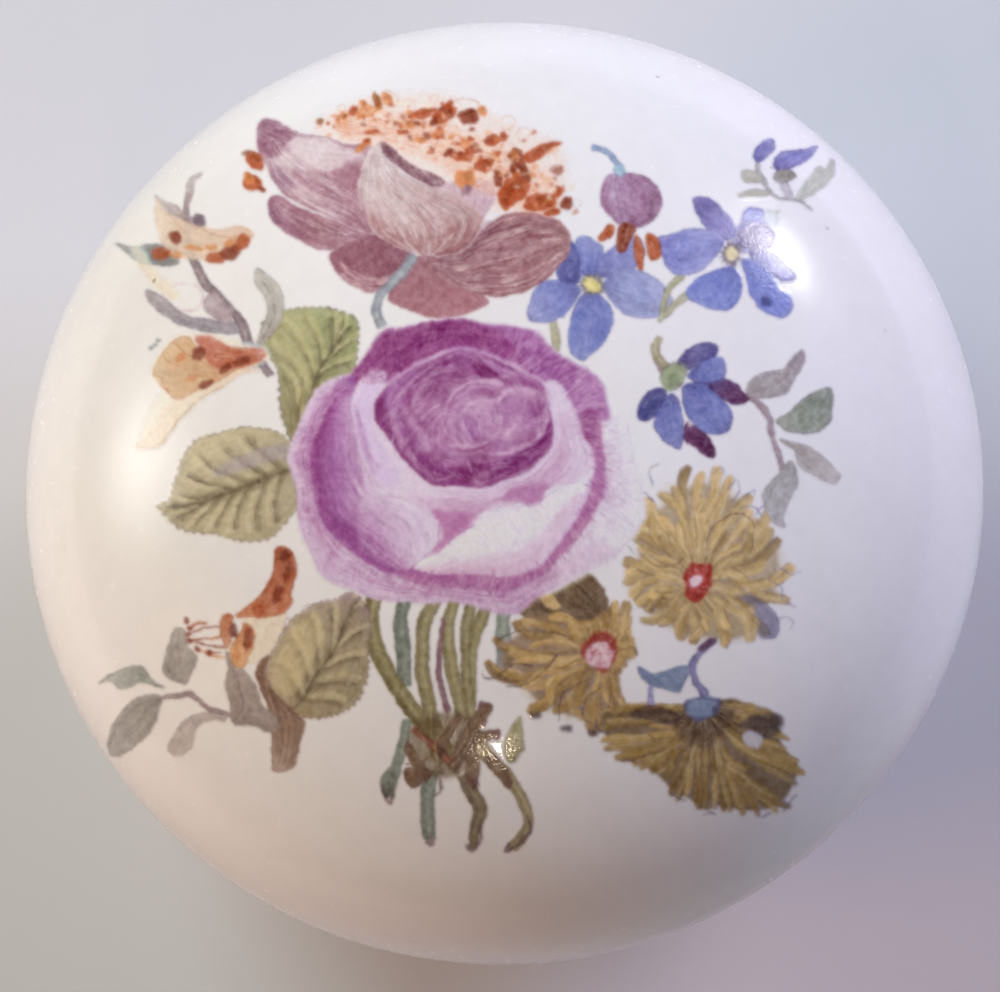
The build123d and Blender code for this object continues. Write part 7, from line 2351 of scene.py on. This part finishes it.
nrm = np.cross(tx, ty)
nrm /= np.linalg.norm(nrm, axis=2, keepdims=True)
upper = top + nrm * THICK
quads = []
idx = np.arange(n1 * n2).reshape(n1, n2)
lo, hi = idx, idx + n1 * n2
quads += np.stack([lo[:-1, :-1], lo[1:, :-1], lo[1:, 1:], lo[:-1, 1:]], -1).reshape(-1, 4).tolist()
quads += np.stack([hi[:-1, :-1], hi[:-1, 1:], hi[1:, 1:], hi[1:, :-1]], -1).reshape(-1, 4).tolist()
for e, f_ in ((lo[:, 0], hi[:, 0]), (hi[:, -1], lo[:, -1])):
    quads += np.stack([e[:-1], f_[:-1], f_[1:], e[1:]], -1).tolist()
for e, f_ in ((hi[0], lo[0]), (lo[-1], hi[-1])):
    quads += np.stack([e[:-1], f_[:-1], f_[1:], e[1:]], -1).tolist()
ribbon = mesh_fast("ribbon_loop", np.vstack([top.reshape(-1, 3), upper.reshape(-1, 3)]) * MM, np.array(quads))
bm = bmesh.new()
bm.from_mesh(ribbon.data)
bmesh.ops.recalc_face_normals(bm, faces=bm.faces)
bm.to_mesh(ribbon.data)
bm.free()
ribbon.data.materials.append(cloth("puff_ribbon", lin(196, 132, 152), lin(214, 152, 172), lin(228, 172, 188), 15500.0, 5600.0, 1, 0.30, 0.15, 0.4))
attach(ribbon, "puff")
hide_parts("puff_ribbon")

# selvedges: a fine corded edge down both sides
edges = [np.c_[upper[:, 0, 0] + 0.35, upper[:, 0, 1], upper[:, 0, 2]], np.c_[upper[:, -1, 0] - 0.35, upper[:, -1, 1], upper[:, -1, 2]]]
selv = tube("ribbon_selvedge", edges, 0.13, 6, close=False)
selv.data.materials.append(N.mat)
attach(selv, "puff")

# stitches: a row along each foot and a cross in the middle of it
st = []
for sy in (-1, 1):
    for y0 in (28.9, 26.3):
        for x in np.arange(-6.6, 6.7, 1.65):
            st.append(((x - 0.52, sy * y0), (x + 0.52, sy * y0)))
    st.append(((-3.0, sy * 28.4), (3.0, sy * 26.8)))
    st.append(((-3.0, sy * 26.8), (3.0, sy * 28.4)))
curves = []
for (x0, y0), (x1, y1) in st:
    f = np.linspace(0, 1, 7)
    x, y = x0 + (x1 - x0) * f, y0 + (y1 - y0) * f
    i = np.abs(yy[:, 0][None] - y[:, None]).argmin(1)
    j = np.clip(((x / WIDE + 1) / 2 * (n2 - 1)).round().astype(int), 0, n2 - 1)
    z = upper[i, j, 2]
    curves.append(np.c_[x, y, z - 0.10 + 0.17 * np.sin(np.pi * f) ** 0.5])
stitches = tube("ribbon_stitches", curves, 0.115, 6, close=False)
N = Nodes("thread")
v = N.coords()
f = N.noise(2200.0, 2.0, 0.6, v)
N.link(N.ramp(f, [(0.3, lin(226, 186, 196)), (0.7, lin(244, 216, 222))]), N.bsdf.inputs["Base Color"])
N.link(N.ramp(f, [(0.3, 0.45), (0.7, 0.6)]), N.bsdf.inputs["Roughness"])
N.link(N.bump(f, 0.4, 0.00005), N.bsdf.inputs["Normal"])
stitches.data.materials.append(N.mat)
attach(stitches, "puff")


# --------------------------------------------------------------- floor, lights
N = Nodes("floor")
v = N.coords()
N.link(N.ramp(N.noise(6.0, 2.0, 0.5, v), [(0.3, lin(207, 206, 208)), (0.7, lin(214, 213, 215))]), N.bsdf.inputs["Base Color"])
N.set(Roughness=0.9)
floor = solid("floor", [(-1.5, -1.5, 0), (1.5, -1.5, 0), (1.5, 1.5, 0), (-1.5, 1.5, 0)], [(0, 1, 2, 3)], False)
floor.data.materials.append(N.mat)


def area(name, at, along, size, size_y, power, colour, soft=None, seen=True):
    """A soft area light at a point, facing the jar, its long side along a direction. soft fades it to its rim."""
    L = bpy.data.lights.new(name, "AREA")
    L.shape = "ELLIPSE"
    L.size, L.size_y = size, size_y
    L.energy = power
    L.color = colour
    z = (at - AIM * MM) / np.linalg.norm(at - AIM * MM)
    y = along - z * (along @ z)
    y /= np.linalg.norm(y)
    x = np.cross(y, z)
    ob = bpy.data.objects.new(name, L)
    bpy.context.scene.collection.objects.link(ob)
    ob.matrix_world = Matrix.Translation(Vector(at)) @ Matrix((x, y, z)).transposed().to_4x4()
    ob.visible_glossy = seen
    if soft:
        L.use_nodes = True
        t = L.node_tree
        em = next(n for n in t.nodes if n.type == "EMISSION")
        geo = t.nodes.new("ShaderNodeNewGeometry")
        sub = t.nodes.new("ShaderNodeVectorMath")
        sub.operation = "SUBTRACT"
        sub.inputs[1].default_value = (0.5, 0.5, 0.0)
        t.links.new(geo.outputs["Parametric"], sub.inputs[0])
        ln = t.nodes.new("ShaderNodeVectorMath")
        ln.operation = "LENGTH"
        t.links.new(sub.outputs[0], ln.inputs[0])
        mr = t.nodes.new("ShaderNodeMapRange")
        mr.interpolation_type = "SMOOTHSTEP"
        mr.inputs["From Min"].default_value = 0.5
        mr.inputs["From Max"].default_value = 0.0
        t.links.new(ln.outputs["Value"], mr.inputs["Value"])
        pw = t.nodes.new("ShaderNodeMath")
        pw.operation = "POWER"
        pw.inputs[1].default_value = soft
        t.links.new(mr.outputs["Result"], pw.inputs[0])
        t.links.new(pw.outputs[0], em.inputs["Strength"])
    return ob


def mirrored(name, u, v, du, dv, half_len, half_wide, dist, shine, colour, soft=None):
    """A light that the dome mirrors at drawing point u, v as a streak along du, dv."""
    def ray(a, b):
        p, n = on_dome(np.array(float(a)), np.array(float(b)))
        d = (p - EYE) / np.linalg.norm(p - EYE)
        return p * MM, d - 2 * (d @ n) * n

    p0, r0 = ray(u, v)
    at = p0 + r0 * dist
    h = math.hypot(du, dv)
    du, dv = du / h, dv / h

    def hit(a, b):
        p, r = ray(a, b)
        return p + r * ((at - p) @ r0) / (r @ r0)
    e1 = (hit(u + du * half_len, v + dv * half_len) - hit(u - du * half_len, v - dv * half_len)) / 2
    e2 = (hit(u - dv * half_wide, v + du * half_wide) - hit(u + dv * half_wide, v - du * half_wide)) / 2
    a, b = 2 * np.linalg.norm(e2), 2 * np.linalg.norm(e1)
    power = shine * math.pi * math.pi / 4 * a * b
    return area(name, at, e1, a, b, power, colour, soft)


# the room's soft light: a key from behind the left shoulder of the jar, cool from the right, warm from the left
for name, d, power, colour, size in (("key", (-.45, .5, .74), 4.85, (0.80, 1.0, 1.0), 0.55), ("cool", (.85, .40, .48), 4.7, (0.52, 0.62, 1.0), 0.40),
                                     ("warm", (-.80, -.34, .50), 3.5, (1.0, 0.57, 0.36), 0.45), ("far", (.6, .7, .4), 3.1, (1.0, 0.80, 0.98), 0.45),
                                     ("side", (-.97, .05, .30), 0.8, (0.85, 1.0, 1.0), 0.40)):
    d = np.array(d) / np.linalg.norm(d)
    area(name, AIM * MM + d, np.array([0, 0, 1.0]) if d[2] < 0.9 else np.array([0, 1.0, 0]), size, size, power, colour, seen=False)

mirrored("window_cool", 779, 252, .46, .88, 80, 40, 1.0, 20.0, (0.95, 0.96, 1.0), 2.2)
mirrored("window_left", 142, 458, .22, .97, 118, 72, 1.0, 6.6, (1.0, 0.98, 0.93), 2.0)
mirrored("lamp_warm", 497, 748, 1.0, .05, 13, 8.5, 0.9, 60.0, (1.0, 0.84, 0.62), 0.5)

world = bpy.data.worlds.new("studio")
bpy.context.scene.world = world
world.use_nodes = True
bg = world.node_tree.nodes["Background"]
bg.inputs[0].default_value = (0.97, 0.96, 1.0, 1)
bg.inputs[1].default_value = 0.06
vs = bpy.context.scene.view_settings
vs.view_transform = "Standard"
vs.look = "None"
vs.exposure = 0.0
